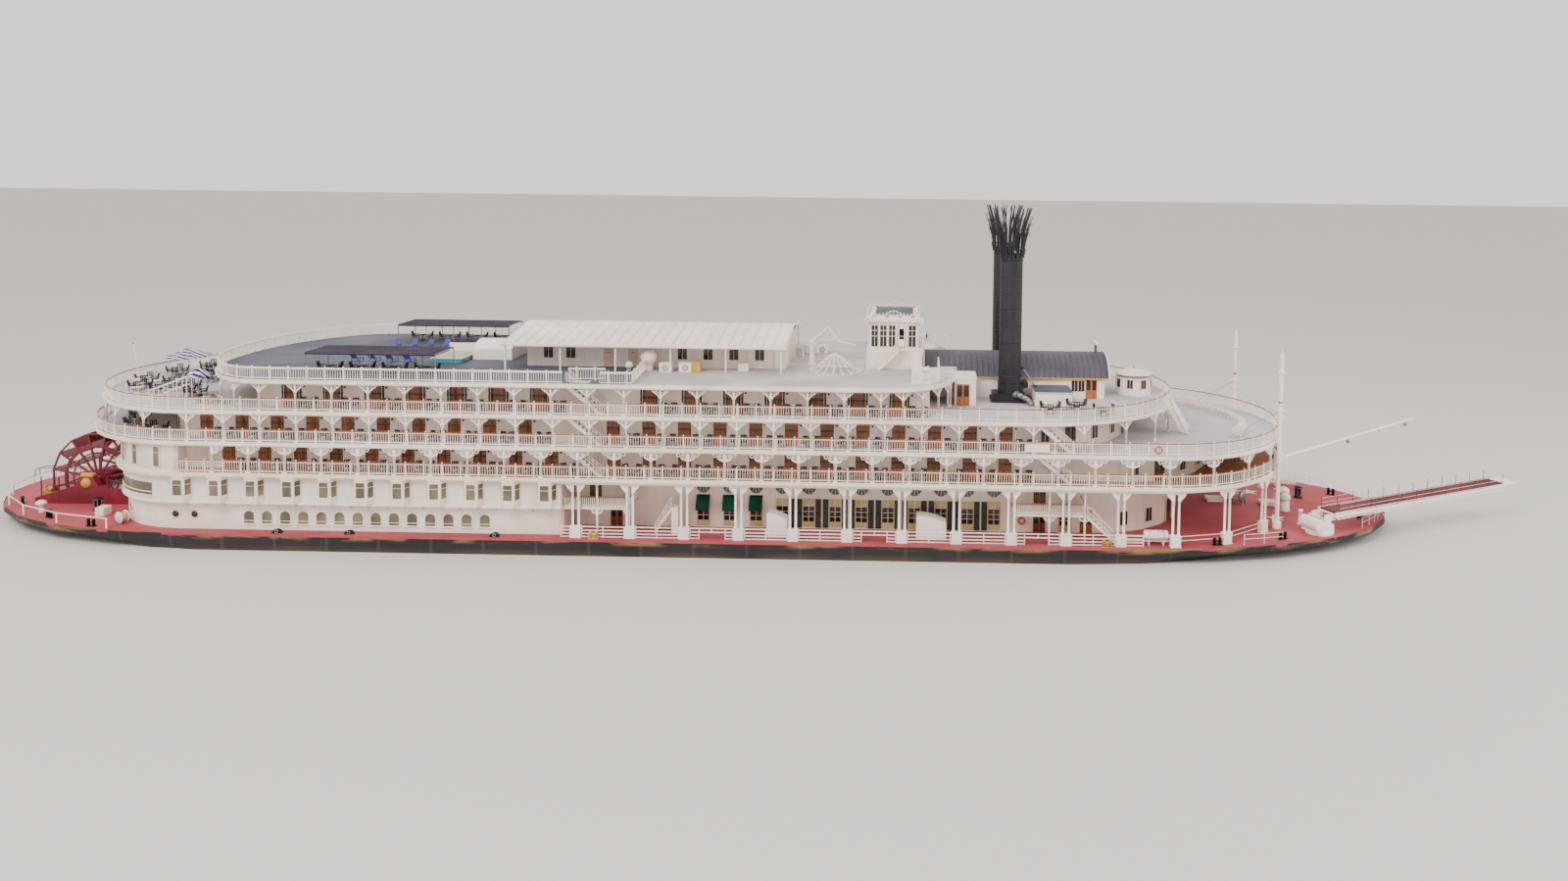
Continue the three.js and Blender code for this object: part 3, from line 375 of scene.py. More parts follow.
# Hull enamel: near black, rubbed to ochre along the guard and muddy at the water.
HULL = HullPaint("hull_enamel")
# Enamel on the wheel: deep red, browner where muddy water dries on it.
CRIMSON = Enamel("crimson_wheel_enamel", "#7C1B2A", "#601220", "#3A1A14", 0.5)
# Heat-resistant paint: sooty black with a dull sheen.
STACK = Metal("sooty_stack_paint", "#151318", "#26232B", 0.42, 0.15)
# Moulded resin: an even violet with a soft gloss and little dirt.
VIOLET = Enamel("violet_lounger_resin", "#4B42A4", "#3A348C", "#2A2668", 0.15)
# Painted cast iron: near black with a dull metal glint.
IRON = Metal("black_iron", "#141216", "#221E20", 0.45, 0.5)
# Galvanised steel: light grey with a fine grain and blotched gloss.
STEEL = Metal("galvanised_steel", "#A9A9AC", "#8B8C90", 0.38)
# Cast bronze: yellow-brown metal, dull in patches.
BRONZE = Metal("propeller_bronze", "#B58B48", "#8A6530", 0.3)
# Gold leaf: a warm metal that catches the light on small ornaments.
GOLD = Metal("gold_leaf", "#C9A24B", "#A67C2E", 0.28)
# Varnished mahogany: orange-brown leaves with upright grain under a clear coat.
MAHOGANY = Timber("mahogany_door", "#B4662A", "#824618")
# Stained mahogany: darker than the leaves, so that each door has an outline.
MAHOGANY_DARK = Timber("mahogany_frame", "#7A431C", "#4E2A12")
# Varnished hardwood: a red-brown line on top of the rails, with its grain along them.
HANDRAIL = Timber("varnished_handrail", "#9A5A34", "#6E3A1E", (0.08, 0.08, 1))
# Window glass over a dim room: dark and glossy.
PANE = Glass("dim_window_glass")
# Enamel on door panels: a tan that keeps them apart from the walls.
DOOR_CREAM = Enamel("cream_door_enamel", "#D8BFA4", "#C6AC90", "#86705F", 0.3)
# Glass over a lit cabin: a warm brown glow between the door frames.
DOOR_GLASS = Glass("warm_door_glass", "#5A3416", "#7C4A22")
# Glass over drawn curtains: a dull khaki with little depth.
HOUSE_GLASS = Glass("curtained_house_glass", "#57503C", "#837A60")
# Tinted glass of the lunettes: dull grey-green.
GREEN_PANE = Glass("green_fan_glass", "#39423A", "#5A6456")
# Woven roller blinds: matt pale amber behind the frames.
AMBER = Cloth("amber_roller_blind", "#C9BC8A", "#AFA06A")
# Enamelled shutters: a green that is almost black in the shade.
SHUTTER = Enamel("dark_green_shutter", "#17231D", "#0F1713", "#3A4038", 0.2)
# Canvas of the window blinds: matt green, a little faded.
AWNING = Cloth("green_awning_canvas", "#12503A", "#0C3A2A")
# Woven acrylic of the roof canopies: dark slate with no shine.
CANOPY = Cloth("slate_canopy_fabric", "#2E2A35", "#3C3743")
# Woven acrylic: violet and pale stripes, drawn 22 mm wide so that they show.
STRIPED = Cloth("striped_sunshade", "#3A1674", "#2E1060", "#D8CCDC", 0.022)
# Painted life rings: a clear red accent on the rails.
LIFE_RED = Enamel("life_ring_red", "#C8483C", "#B03A30")
# Still water over a blue basin: light and glossy.
BLUE_POOL = Glass("pool_water", "#3A8FB0", "#5FB4CC")
# Ochre enamel: strong yellow-brown on covers and window heads, soiled in streaks.
OCHRE = Enamel("ochre_frame_enamel", "#C9A23A", "#AE8228", "#5A4420", 0.35)
# The same ochre bleached by the sun.
PALE_OCHRE = Enamel("pale_ochre_frame_enamel", "#CDBE8C", "#B5A368", "#5A4A30", 0.35)
# Safety enamel on bitts: yellow, heavily soiled by ropes.
YELLOW = Enamel("yellow_bitts_enamel", "#D0A83A", "#A8842A", "#2A2420", 0.6)
# Seams of the stacks: grey lines that show the plates, wider than real seams; the grey is a painted highlight
# where light catches each lap.
SEAM_HIGHLIGHT = Metal("stack_seam_highlight", "#4A474E", "#2E2B33", 0.5, 0.2)
# Non-slip tread: dark red, scuffed paler in patches, and a darker red as painted shade underneath.
TREAD = DeckCoat("dark_red_tread", "#5A2228", "#7A3438", "#5A2228", "#3A1418")
# Coating of the barrel roofs: dark violet-grey with a faint sheen.
BARREL_GREY = Enamel("barrel_roof_coating", "#413C47", "#524C58", "#2A262C", 0.35, 0.6)


# ---------------------------------------------------------------- shapes


class Shape:
    """A piece in the making: small solids from bmesh operators, gathered as arrays."""

    def __init__(self, name: str) -> None:
        """Starts an empty piece."""
        self.name = name
        self.finishes: list[Finish] = []
        self.points: list[np.ndarray] = []
        self.corners: list[np.ndarray] = []
        self.counts: list[np.ndarray] = []
        self.worn: list[np.ndarray] = []
        self.smooth: list[np.ndarray] = []
        self.total = 0

    def index_of(self, finish: Finish) -> int:
        """Number of the material slot for a finish."""
        if finish not in self.finishes:
            self.finishes.append(finish)
        return self.finishes.index(finish)

    def take(self, bm: bmesh.types.BMesh, finish: Finish, smooth: bool = False) -> None:
        """Adds a bmesh to the piece and frees it.

        Args:
            bm: closed mesh with its faces pointing out.
            finish: finish of its faces.
            smooth: whether its faces are shaded smooth.
        """
        bm.verts.index_update()
        self.points.append(np.array([tuple(v.co) for v in bm.verts], dtype=float))
        self.corners.append(np.array([v.index for f in bm.faces for v in f.verts], dtype=int) + self.total)
        self.counts.append(np.array([len(f.verts) for f in bm.faces], dtype=int))
        self.worn.append(np.full(len(bm.faces), self.index_of(finish)))
        self.smooth.append(np.full(len(bm.faces), smooth))
        self.total += len(bm.verts)
        bm.free()

    def block(self, low: Point, high: Point, finish: Finish, bevel: float = 0.0, turn: float = 0.0) -> None:
        """A box between two corners, turned about its own upright axis."""
        bm = bmesh.new()
        size = Vector(high) - Vector(low)
        middle = (Vector(high) + Vector(low)) / 2
        place = Matrix.Translation(middle) @ Matrix.Rotation(turn, 4,
                                                             "Z") @ Matrix.Diagonal((*map(abs, size), 1))
        bmesh.ops.create_cube(bm, size=1.0, matrix=place)
        if bevel > 0:
            bmesh.ops.bevel(bm, geom=bm.edges[:], offset=bevel, segments=1, profile=0.5, affect="EDGES",
                            material=-1)
        self.take(bm, finish)

    def rod(self, start: Point, end: Point, radius: float, finish: Finish, sides: int = 6,
            tip: float | None = None) -> None:
        """A round bar, or a cone if the tip has its own radius."""
        bm = bmesh.new()
        a, b = Vector(start), Vector(end)
        turn = (b - a).to_track_quat("Z", "Y").to_matrix().to_4x4()
        bmesh.ops.create_cone(bm, cap_ends=True, segments=sides, radius1=radius, radius2=radius if tip is None
                              else tip,
                              depth=(b - a).length, matrix=Matrix.Translation((a + b) / 2) @ turn)
        self.take(bm, finish, sides > 6)

    def ball(self, centre: Point, radius: float, finish: Finish, scale: Point = (1, 1, 1),
             detail: int = 8) -> None:
        """A ball or an egg."""
        bm = bmesh.new()
        place = Matrix.Translation(Vector(centre)) @ Matrix.Diagonal((*scale, 1))
        bmesh.ops.create_uvsphere(bm, u_segments=detail, v_segments=max(4, detail // 2), radius=radius,
                                  matrix=place)
        self.take(bm, finish, True)

    def plate(self, outline: Sequence[Point], depth: Point, finish: Finish, smooth: bool = False) -> None:
        """A flat outline carried along a vector."""
        bm = bmesh.new()
        face = bm.faces.new([bm.verts.new(p) for p in outline])
        grown = bmesh.ops.extrude_face_region(bm, geom=[face])
        moved = [v for v in grown["geom"] if isinstance(v, bmesh.types.BMVert)]
        bmesh.ops.translate(bm, vec=Vector(depth), verts=moved)
        bmesh.ops.recalc_face_normals(bm, faces=bm.faces[:])
        self.take(bm, finish, smooth)

    def turned(self, profile: Sequence[Point], centre: Point, finish: Finish, steps: int = 12,
               axis: Point = (0, 0, 1)) -> None:
        """A profile of radius and height, spun round an upright or tilted axis."""
        bm = bmesh.new()
        chain = [bm.verts.new((max(r, 0.0), 0.0, h)) for r, h in profile]
        edges = [bm.edges.new(pair) for pair in zip(chain, chain[1:])]
        bmesh.ops.spin(bm, geom=chain + edges, cent=(0, 0, 0), axis=(0, 0, 1), angle=2 * math.pi, steps=steps,
                       use_merge=True)
        bmesh.ops.remove_doubles(bm, verts=bm.verts[:], dist=1e-6)
        bmesh.ops.recalc_face_normals(bm, faces=bm.faces[:])
        turn = Vector(axis).to_track_quat("Z", "Y").to_matrix().to_4x4()
        bmesh.ops.transform(bm, matrix=Matrix.Translation(Vector(centre)) @ turn, verts=bm.verts[:])
        self.take(bm, finish, True)

    def ring(self, centre: Point, radius: float, thick: float, finish: Finish, axis: Point = (0, 1, 0),
             steps: int = 12, sides: int = 4) -> None:
        """A round ring of a round bar."""
        bm = bmesh.new()
        chain = bmesh.ops.create_circle(bm, segments=sides, radius=thick,
                                        matrix=Matrix.Translation((radius, 0, 0))
                                        @ Matrix.Rotation(math.pi / 2, 4, "X"))
        bmesh.ops.spin(bm, geom=chain["verts"] + bm.edges[:], cent=(0, 0, 0), axis=(0, 0, 1),
                       angle=2 * math.pi,
                       steps=steps, use_merge=True)
        bmesh.ops.remove_doubles(bm, verts=bm.verts[:], dist=1e-6)
        bmesh.ops.recalc_face_normals(bm, faces=bm.faces[:])
        turn = Vector(axis).to_track_quat("Z", "Y").to_matrix().to_4x4()
        bmesh.ops.transform(bm, matrix=Matrix.Translation(Vector(centre)) @ turn, verts=bm.verts[:])
        self.take(bm, finish, True)

    def sweep(self, section: Sequence[Point], path: Sequence[Point], finish: Finish,
              closed: bool = False) -> None:
        """A section carried along a level path.

        Args:
            section: outline of outward offset and height.
            path: points of the path, anticlockwise seen from above.
            finish: finish of the faces.
            closed: whether the path comes back to its start.
        """
        count = len(path)
        stations = []
        for i, point in enumerate(path):
            before = Vector(path[i - 1] if closed or i > 0 else path[0])
            after = Vector(path[(i + 1) % count] if closed or i + 1 < count else path[-1])
            along = (after - before).normalized()
            stations.append((Vector(point), Vector((along.y, -along.x, 0))))
        bm = bmesh.new()
        place = lambda station, offset: station[0] + station[1] * offset[0] + Vector((0, 0, offset[1]))
        loop = [bm.verts.new(place(stations[0], s)) for s in section]
        edges = [bm.edges.new((a, b)) for a, b in zip(loop, loop[1:] + loop[:1])]
        start = list(edges)
        for station in stations[1:]:
            grown = bmesh.ops.extrude_edge_only(bm, edges=edges)["geom"]
            edges = [e for e in grown if isinstance(e, bmesh.types.BMEdge)]
            loop = [v for v in grown if isinstance(v, bmesh.types.BMVert)]
            for vertex, offset in zip(loop, section):
                vertex.co = place(station, offset)
        if closed:
            bmesh.ops.bridge_loops(bm, edges=start + edges)
        else:
            bmesh.ops.contextual_create(bm, geom=start)
            bmesh.ops.contextual_create(bm, geom=edges)
        bmesh.ops.recalc_face_normals(bm, faces=bm.faces[:])
        self.take(bm, finish)

    def repeat(self, other: "Shape", places: Iterable[Matrix]) -> None:
        """Adds a copy of another shape at each place."""
        matrices = np.array([np.array(m) for m in places])
        if not len(matrices) or not other.points:
            return
        points = np.concatenate(other.points)
        corners = np.concatenate(other.corners)
        counts = np.concatenate(other.counts)
        smooth = np.concatenate(other.smooth)
        table = np.array([self.index_of(f) for f in other.finishes])
        worn = table[np.concatenate(other.worn)]
        ends = np.cumsum(counts)
        back = np.concatenate([corners[e - n:e][::-1] for e, n in zip(ends, counts)])
        for matrix in matrices:
            moved = points @ matrix[:3, :3].T + matrix[:3, 3]
            order = corners if np.linalg.det(matrix[:3, :3]) > 0 else back
            self.points.append(moved)
            self.corners.append(order + self.total)
            self.counts.append(counts)
            self.worn.append(worn)
            self.smooth.append(smooth)
            self.total += len(points)

    def make(self, slot: str = "white_paint", body: str = "boat",
             replaces: Sequence[str] = ()) -> bpy.types.Object:
        """Makes the object.

        Args:
            slot: not used.
            body: the body that it rides on.
            replaces: nodes that it stands for.

        Returns:
            The new object, at the origin.
        """
        mesh = bpy.data.meshes.new(self.name)
        points = np.concatenate(self.points)
        corners = np.concatenate(self.corners)
        counts = np.concatenate(self.counts)
        mesh.vertices.add(len(points))
        mesh.vertices.foreach_set("co", points.astype(np.float32).ravel())
        mesh.loops.add(len(corners))
        mesh.polygons.add(len(counts))
        mesh.polygons.foreach_set("loop_start",
                                  np.concatenate(([0], np.cumsum(counts)[:-1])).astype(np.int32))
        mesh.polygons.foreach_set("vertices", corners.astype(np.int32))
        mesh.polygons.foreach_set("material_index", np.concatenate(self.worn).astype(np.int32))
        mesh.polygons.foreach_set("use_smooth", np.concatenate(self.smooth).astype(bool))
        for finish in self.finishes:
            mesh.materials.append(finish.material())
        mesh.update(calc_edges=True)
        mesh.validate()
        piece = bpy.data.objects.new(self.name, mesh)
        bpy.context.scene.collection.objects.link(piece)
        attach(piece, body)
        if replaces:
            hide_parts(*replaces)
        LOG.info("%s: %d faces", self.name, len(counts))
        return piece


def at(x: float, y: float, z: float, turn: float = 0.0, scale: Point = (1, 1, 1)) -> Matrix:
    """A place: position, turn about the upright axis and scale."""
    return Matrix.Translation((x, y, z)) @ Matrix.Rotation(turn, 4, "Z") @ Matrix.Diagonal((*scale, 1))


def on_side(side: int, x: float, y: float, z: float) -> Matrix:
    """A place on a side wall, for a shape whose front looks to -Y; side is -1 at starboard."""
    return at(x, side * y, z, 0.0 if side < 0 else math.pi)


def bowed(start: Point, end: Point, sag: float, steps: int = 6) -> list[tuple[float, float]]:
    """Points of a curve between two points in a plane, bent off its chord by sag at its middle."""
    (x0, z0), (x1, z1) = start, end
    length = math.hypot(x1 - x0, z1 - z0)
    across = ((z0 - z1) / length, (x1 - x0) / length)
    points = []
    for i in range(steps + 1):
        t = i / steps
        off = 4 * sag * t * (1 - t)
        points.append((x0 + (x1 - x0) * t + across[0] * off, z0 + (z1 - z0) * t + across[1] * off))
    return points


def upright(points: Iterable[tuple[float, float]], y: float) -> list[Point]:
    """Points of an upright outline, from X and Z, at a place in Y."""
    return [(x, y, z) for x, z in points]


@dataclass(frozen=True)
class End:
    """One end of a plan: its tip, the length of its curve and the flat half breadth at the tip."""

    tip: float
    run: float
    flat: float = 0.0


@dataclass(frozen=True)
class Plan:
    """A deck outline with curved ends."""

    half: float
    bow: End
    stern: End

    def edge(self, inset: float = 0.0, steps: int = 10) -> list[Vector]:
        """Points of the outline, anticlockwise from the starboard side of the bow."""
        points: list[Vector] = []
        for end, sign in ((self.bow, 1), (self.stern, -1)):
            for i in range(-steps, steps + 1):
                angle = i / steps * math.pi / 2
                x = end.tip - sign * (end.run - (end.run - inset) * math.cos(angle))
                reach = (self.half - inset - end.flat) * math.sin(angle)
                if i == 0 and end.flat > 0:
                    points += [Vector((x, -sign * end.flat, 0)), Vector((x, sign * end.flat, 0))]
                else:
                    points.append(Vector((x, sign * (math.copysign(end.flat, i) * (i != 0) + reach), 0)))
        return points

    def raised(self, z: float, inset: float = 0.0, steps: int = 10) -> list[Vector]:
        """The outline at a height."""
        return [Vector((p.x, p.y, z)) for p in self.edge(inset, steps)]


def paced(path: Sequence[Vector], pitch: float, closed: bool = True,
          start: float = 0.0) -> list[tuple[Vector, float]]:
    """Even places along a path.

    Args:
        path: points of the path.
        pitch: distance from place to place.
        closed: whether the path comes back to its start.
        start: distance of the first place from the path's start.

    Returns:
        Each place with its heading about the upright axis.
    """
    places = []
    legs = list(zip(path, path[1:] + path[:1] if closed else path[1:]))
    reach = start
    for a, b in legs:
        length = (b - a).length
        if length < 1e-9:
            continue
        along = (b - a) / length
        heading = math.atan2(along.y, along.x)
        while reach < length:
            places.append((a + along * reach, heading))
            reach += pitch
        reach -= length
    return places


MAIN_PLAN = Plan(1.350, End(6.370, 2.550), End(-6.370, 2.170))
DECK_3_PLAN = Plan(1.330, End(5.350, 1.230), End(-4.960, 0.800, 0.560))
DECK_4_PLAN = Plan(1.330, End(5.350, 1.230), End(-5.400, 1.300))
DECK_5_PLAN = Plan(1.330, End(4.380, 1.380), End(-5.320, 1.320))
ROOF_PLAN = Plan(1.340, End(2.360, 0.610, 0.730), End(-4.210, 0.820))


def dress(finish: Finish, *nodes: str) -> None:
    """Gives solids of the frame a finish."""
    for node in nodes:
        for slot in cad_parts[node].material_slots:
            slot.material = finish.material()


def sheet_piece(name: str, bm: bmesh.types.BMesh, finish: Finish, thick: float, body: str = "boat",
                replaces: Sequence[str] = ()) -> bpy.types.Object:
    """Makes a sheet of cloth from a single-layer mesh.

    Args:
        name: name of the piece.
        bm: one layer of faces; it is freed.
        finish: the cloth.
        thick: thickness that a Solidify modifier gives it.
        body: the body that it rides on.
        replaces: nodes that it stands for.

    Returns:
        The new object, at the origin.
    """
    mesh = bpy.data.meshes.new(name)
    for face in bm.faces:
        face.smooth = True
    bm.to_mesh(mesh)
    bm.free()
    mesh.materials.append(finish.material())
    piece = bpy.data.objects.new(name, mesh)
    bpy.context.scene.collection.objects.link(piece)
    shell = piece.modifiers.new("cloth", "SOLIDIFY")
    shell.thickness = thick
    shell.offset = 0.0
    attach(piece, body)
    if replaces:
        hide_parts(*replaces)
    LOG.info("%s: cloth", name)
    return piece


# Houses under the decks, as in the solids.
LOWER_HOUSE = Plan(1.230, End(-0.900, 0.025, 1.205), End(-4.900, 0.760, 0.560))
UPPER_HOUSE = Plan(1.270, End(-0.900, 0.025, 1.245), End(-4.920, 0.770, 0.560))
MEZZANINE_PLAN = Plan(1.285, End(-0.900, 0.025, 1.260), End(-4.930, 0.780, 0.560))
MIDSHIPS = Plan(0.950, End(4.450, 0.900), End(-0.890, 0.025, 0.925))
CABINS_3 = Plan(1.160, End(4.700, 0.900), End(-4.300, 0.025, 1.135))
AFT_LOUNGE = Plan(1.290, End(-4.110, 0.025, 1.265), End(-4.930, 0.780, 0.560))
CABINS_4 = Plan(1.160, End(3.950, 0.900), End(-4.600, 0.700))
CABINS_5 = Plan(1.160, End(2.150, 0.060, 1.100), End(-3.850, 0.600))


# ---------------------------------------------------------------- verandas


class Lace(Enum):
    """Patterns of the brackets between a post and the beam over it."""

    FAN = "fan"
    SCROLL = "scroll"


class Joinery(Enum):
    """Kinds of cabin doors."""

    DOUBLE = "double brown door"
    WIDE = "double door between side lights"


@dataclass(frozen=True)
class DoorRow:
    """A row of cabin doors: the first place, the pitch and the count."""

    first: float
    pitch: float
    count: int

    def places(self) -> list[float]:
        """Middles of the doors."""
        return [self.first + i * self.pitch for i in range(self.count)]


class Furniture:
    """Outdoor chairs, loungers and tables."""

    def chair(self, finish: Finish) -> Shape:
        """Armchair with a slatted back; it looks to -Y."""
        shape = Shape("chair")
        for x in (-0.024, 0.024):
            for y in (-0.024, 0.020):
                shape.rod((x, y, 0.0005), (x, y, 0.042 if y < 0 else 0.062), 0.0022, finish, 4)
            shape.block((x - 0.003, -0.026, 0.058), (x + 0.003, 0.022, 0.062), finish)
        shape.block((-0.025, -0.025, 0.038), (0.025, 0.022, 0.044), finish)
        for i in range(4):
            x = -0.0205 + i * 0.0137
            shape.plate([(x - 0.004, 0.020, 0.046), (x + 0.004, 0.020, 0.046), (x + 0.004, 0.030, 0.088),
                         (x - 0.004, 0.030, 0.088)], (0, 0.003, 0), finish)
        shape.block((-0.025, 0.028, 0.084), (0.025, 0.034, 0.090), finish)
        return shape

    def table(self, finish: Finish, radius: float = 0.020) -> Shape:
        """Round table on one foot."""
        shape = Shape("table")
        shape.turned([(0, 0.0005), (0.7 * radius, 0.0005), (0.6 * radius, 0.004), (0.003, 0.006),
                      (0.003, 0.052),
                      (radius, 0.053), (radius, 0.057), (0, 0.057)], (0, 0, 0), finish, 10)
        return shape

    def lounger(self, finish: Finish = HANDRAIL) -> Shape:
        """Slatted deck lounger with a raised back, head to +X."""
        shape = Shape("lounger")
        for y in (-0.026, 0.026):
            shape.block((-0.075, y - 0.003, 0.026), (0.040, y + 0.003, 0.031), finish)
            for x in (-0.068, 0.036):
                shape.block((x - 0.003, y - 0.003, 0.0005), (x + 0.003, y + 0.003, 0.027), finish)
        for i in range(9):
            x = -0.072 + i * 0.0115
            shape.block((x, -0.029, 0.0305), (x + 0.008, 0.029, 0.0335), finish)
        for i in range(5):
            x, z = 0.034 + i * 0.0085, 0.033 + i * 0.0095
            shape.plate([(x, -0.029, z), (x, 0.029, z), (x + 0.006, 0.029, z + 0.007),
                         (x + 0.006, -0.029, z + 0.007)],
                        (-0.002, 0, 0.002), finish)
        return shape

    def life_ring(self) -> Shape:
        """Life ring with its four bands, hung flat against a wall or rail; it looks to -Y."""
        shape = Shape("life_ring")
        shape.ring((0, -0.009, 0), 0.027, 0.008, LIFE_RED, (0, 1, 0), 14, 6)
        for i in range(4):
            angle = math.radians(45 + 90 * i)
            x, z = 0.027 * math.cos(angle), 0.027 * math.sin(angle)
            shape.ring((x, -0.009, z), 0.0085, 0.0018, WHITE, (-math.sin(angle), 0, math.cos(angle)), 8, 4)
        return shape


@dataclass
class Veranda:
    """One deck's rail, posts, brackets, doors and furniture."""

    name: str
    plan: Plan
    floor: float
    ceiling: float
    lace: Lace
    post_radius: float
    above: Plan
    rows: tuple[DoorRow, ...]
    joinery: Joinery = Joinery.DOUBLE
    open_aft: float = -9.0
    wall: float = 1.160
    post_line: float = 1.316
    post_pitch: float = 0.305
    arc_steps: int = 5
    # The balusters stand 20.5 mm apart, about twice as far as real ones, so that they show as a row.
    baluster: float = 0.0205
    rail: float = 0.1035
    cap: Finish = HANDRAIL
    flights: tuple[tuple[float, float], ...] = ()

    def post_places(self) -> list[tuple[float, float]]:
        """Places of the posts on the port side, as in the solids."""
        plan = self.above
        inset = plan.half - self.post_line
        aft = plan.stern.tip + plan.stern.run
        fore = plan.bow.tip - plan.bow.run
        turns = [i / self.arc_steps * math.pi / 2 for i in range(self.arc_steps)]
        places = [(aft - (plan.stern.run - inset) * math.cos(t),
                   plan.stern.flat + (self.post_line - plan.stern.flat) * math.sin(t)) for t in turns]
        bays = round((fore - aft) / self.post_pitch)
        places += [(aft + i / bays * (fore - aft), self.post_line) for i in range(bays + 1)]
        places += [(fore + (plan.bow.run - inset) * math.cos(t),
                    plan.bow.flat + (self.post_line - plan.bow.flat) * math.sin(t)) for t in reversed(turns)]
        return [p for p in places if p[0] > self.open_aft]

    def post(self) -> Shape:
        """A turned post from the floor to the beam, with its foot and neck."""
        height = self.ceiling - self.floor - PLATE
        r = self.post_radius
        shape = Shape("post")
        shape.block((-1.5 * r, -1.5 * r, 0.0003), (1.5 * r, 1.5 * r, 0.016), WHITE)
        shape.turned([(0, 0.014), (r, 0.014), (r, height - 0.075), (1.4 * r, height - 0.072),
                      (1.4 * r, height - 0.064), (r, height - 0.060), (r, height - 0.001),
                      (0, height - 0.001)],
                     (0, 0, 0), WHITE, 8)
        return shape

    def bracket(self) -> Shape:
        """One side of the lace bracket, from the post at the origin along +X, its top at zero.

        The scrolls are fewer and thicker than the real sawn lace, which would not show at this scale.
        """
        shape = Shape("bracket")
        thick = (0, 0.006, 0)
        if self.lace is Lace.SCROLL:
            shape.plate(upright([(0.004, -0.001), (0.098, -0.001), (0.102, -0.012), (0.092, -0.026),
                                 (0.080, -0.012),
                                 (0.004, -0.009)], -0.003), thick, WHITE)
            shape.ring((0.078, 0, -0.024), 0.013, 0.0044, WHITE, (0, 1, 0), 10, 4)
            shape.ring((0.034, 0, -0.034), 0.022, 0.0048, WHITE, (0, 1, 0), 10, 4)
            shape.ring((0.037, 0, -0.032), 0.009, 0.004, WHITE, (0, 1, 0), 8, 4)
            shape.plate(upright([(0.004, -0.082), (0.014, -0.074), (0.046, -0.062), (0.062, -0.046),
                                 (0.052, -0.046),
                                 (0.004, -0.062)], -0.003), thick, WHITE)
            return shape
        steps = [(0.010, -0.070), (0.020, -0.053), (0.033, -0.041), (0.047, -0.030), (0.061, -0.021),
                 (0.075, -0.013)]
        shape.plate(upright([(0.003, -0.001), (0.003, -0.010), (0.088, -0.009), (0.092, -0.001)], -0.003),
                    thick, WHITE)
        for (x, z), (ahead, lift) in zip(steps, steps[1:]):
            shape.plate(upright([(x - 0.003, z), (x, z - 0.006), (x + 0.005, z - 0.002),
                                 (ahead - 0.002, lift - 0.004),
                                 (ahead - 0.004, lift + 0.004), (x - 0.002, z + 0.006)], -0.003), thick,
                        WHITE)
            shape.ball((x, 0, z - 0.008), 0.0048, WHITE, (1, 0.8, 1), 5)
        for x, z, radius in ((0.017, -0.022, 0.011), (0.039, -0.016, 0.008)):
            shape.ring((x, 0, z), radius, 0.0032, WHITE, (0, 1, 0), 8, 4)
        return shape

    def balustrade(self, path: list[Vector], closed: bool) -> Shape:
        """Handrail, rails, balusters and their posts along the deck edge."""
        shape = Shape(f"{self.name}_balustrade")
        top = self.rail
        half = 0.0062
        shape.sweep([(-half, top - 0.006), (half, top - 0.006), (half, top - 0.002), (0.003, top + 0.001),
                     (-0.003, top + 0.001), (-half, top - 0.002)], path, self.cap, closed)
        shape.sweep([(-0.0045, top - 0.013), (0.0045, top - 0.013), (0.0045, top - 0.006),
                     (-0.0045, top - 0.006)],
                    path, CREAM, closed)
        shape.sweep([(-0.0035, 0.011), (0.0035, 0.011), (0.0035, 0.018), (-0.0035, 0.018)], path, WHITE,
                    closed)
        stick = Shape("stick")
        stick.block((-0.0017, -0.0017, 0.014), (0.0017, 0.0017, top - 0.010), WHITE)
        newel = Shape("newel")
        newel.block((-0.005, -0.005, 0.0005), (0.005, 0.005, top + 0.004), WHITE)
        newel.ball((0, 0, top + 0.008), 0.0055, WHITE, (1, 1, 1), 6)
        shape.repeat(stick, [at(*p, h) for p, h in paced(path, self.baluster, closed)])
        shape.repeat(newel, [at(*p, h) for p, h in paced(path, self.post_pitch / 2, closed, 0.07)])
        return shape

    def door(self) -> Shape:
        """Cabin door in its frame, front to -Y, foot at zero, in the middle."""
        shape = Shape("door")
        half, height = 0.056, 0.205
        if self.joinery is Joinery.WIDE:
            half = 0.085
            shape.block((-half - 0.006, -0.005, 0), (half + 0.006, 0.002, height + 0.008), WHITE)
            shape.block((-half, -0.007, 0), (half, 0, height), MAHOGANY_DARK)
            for x0, x1 in ((-half + 0.004, -0.048), (0.048, half - 0.004)):
                shape.block((x0, -0.009, 0.070), (x1, -0.003, height - 0.008), PANE)
                shape.block((x0, -0.010, 0.006), (x1, -0.003, 0.066), MAHOGANY, 0.002)
                shape.block(((x0 + x1) / 2 - 0.0015, -0.011, 0.07),
                            ((x0 + x1) / 2 + 0.0015, -0.003, height - 0.008), WHITE)
            leaves = ((-0.045, -0.0015), (0.0015, 0.045))
        else:
            shape.block((-half - 0.006, -0.004, 0), (half + 0.006, 0.002, height + 0.006), WHITE)
            shape.block((-half, -0.006, 0.0005), (half, 0, height), MAHOGANY_DARK)
            leaves = ((-half + 0.004, -0.002), (0.002, half - 0.004))
        for x0, x1 in leaves:
            shape.block((x0, -0.009, 0.006), (x1, -0.003, 0.080), MAHOGANY, 0.002)
            shape.block((x0, -0.008, 0.084), (x1, -0.003, height - 0.030), DOOR_GLASS)
            shape.block((x0, -0.009, height - 0.028), (x1, -0.003, height - 0.005), MAHOGANY, 0.002)
            middle = (x0 + x1) / 2
            shape.block((middle - 0.001, -0.0095, 0.084), (middle + 0.001, -0.004, height - 0.03), MAHOGANY)
        shape.ball((0.007, -0.012, 0.088), 0.003, GOLD, (1, 1, 1), 5)
        return shape

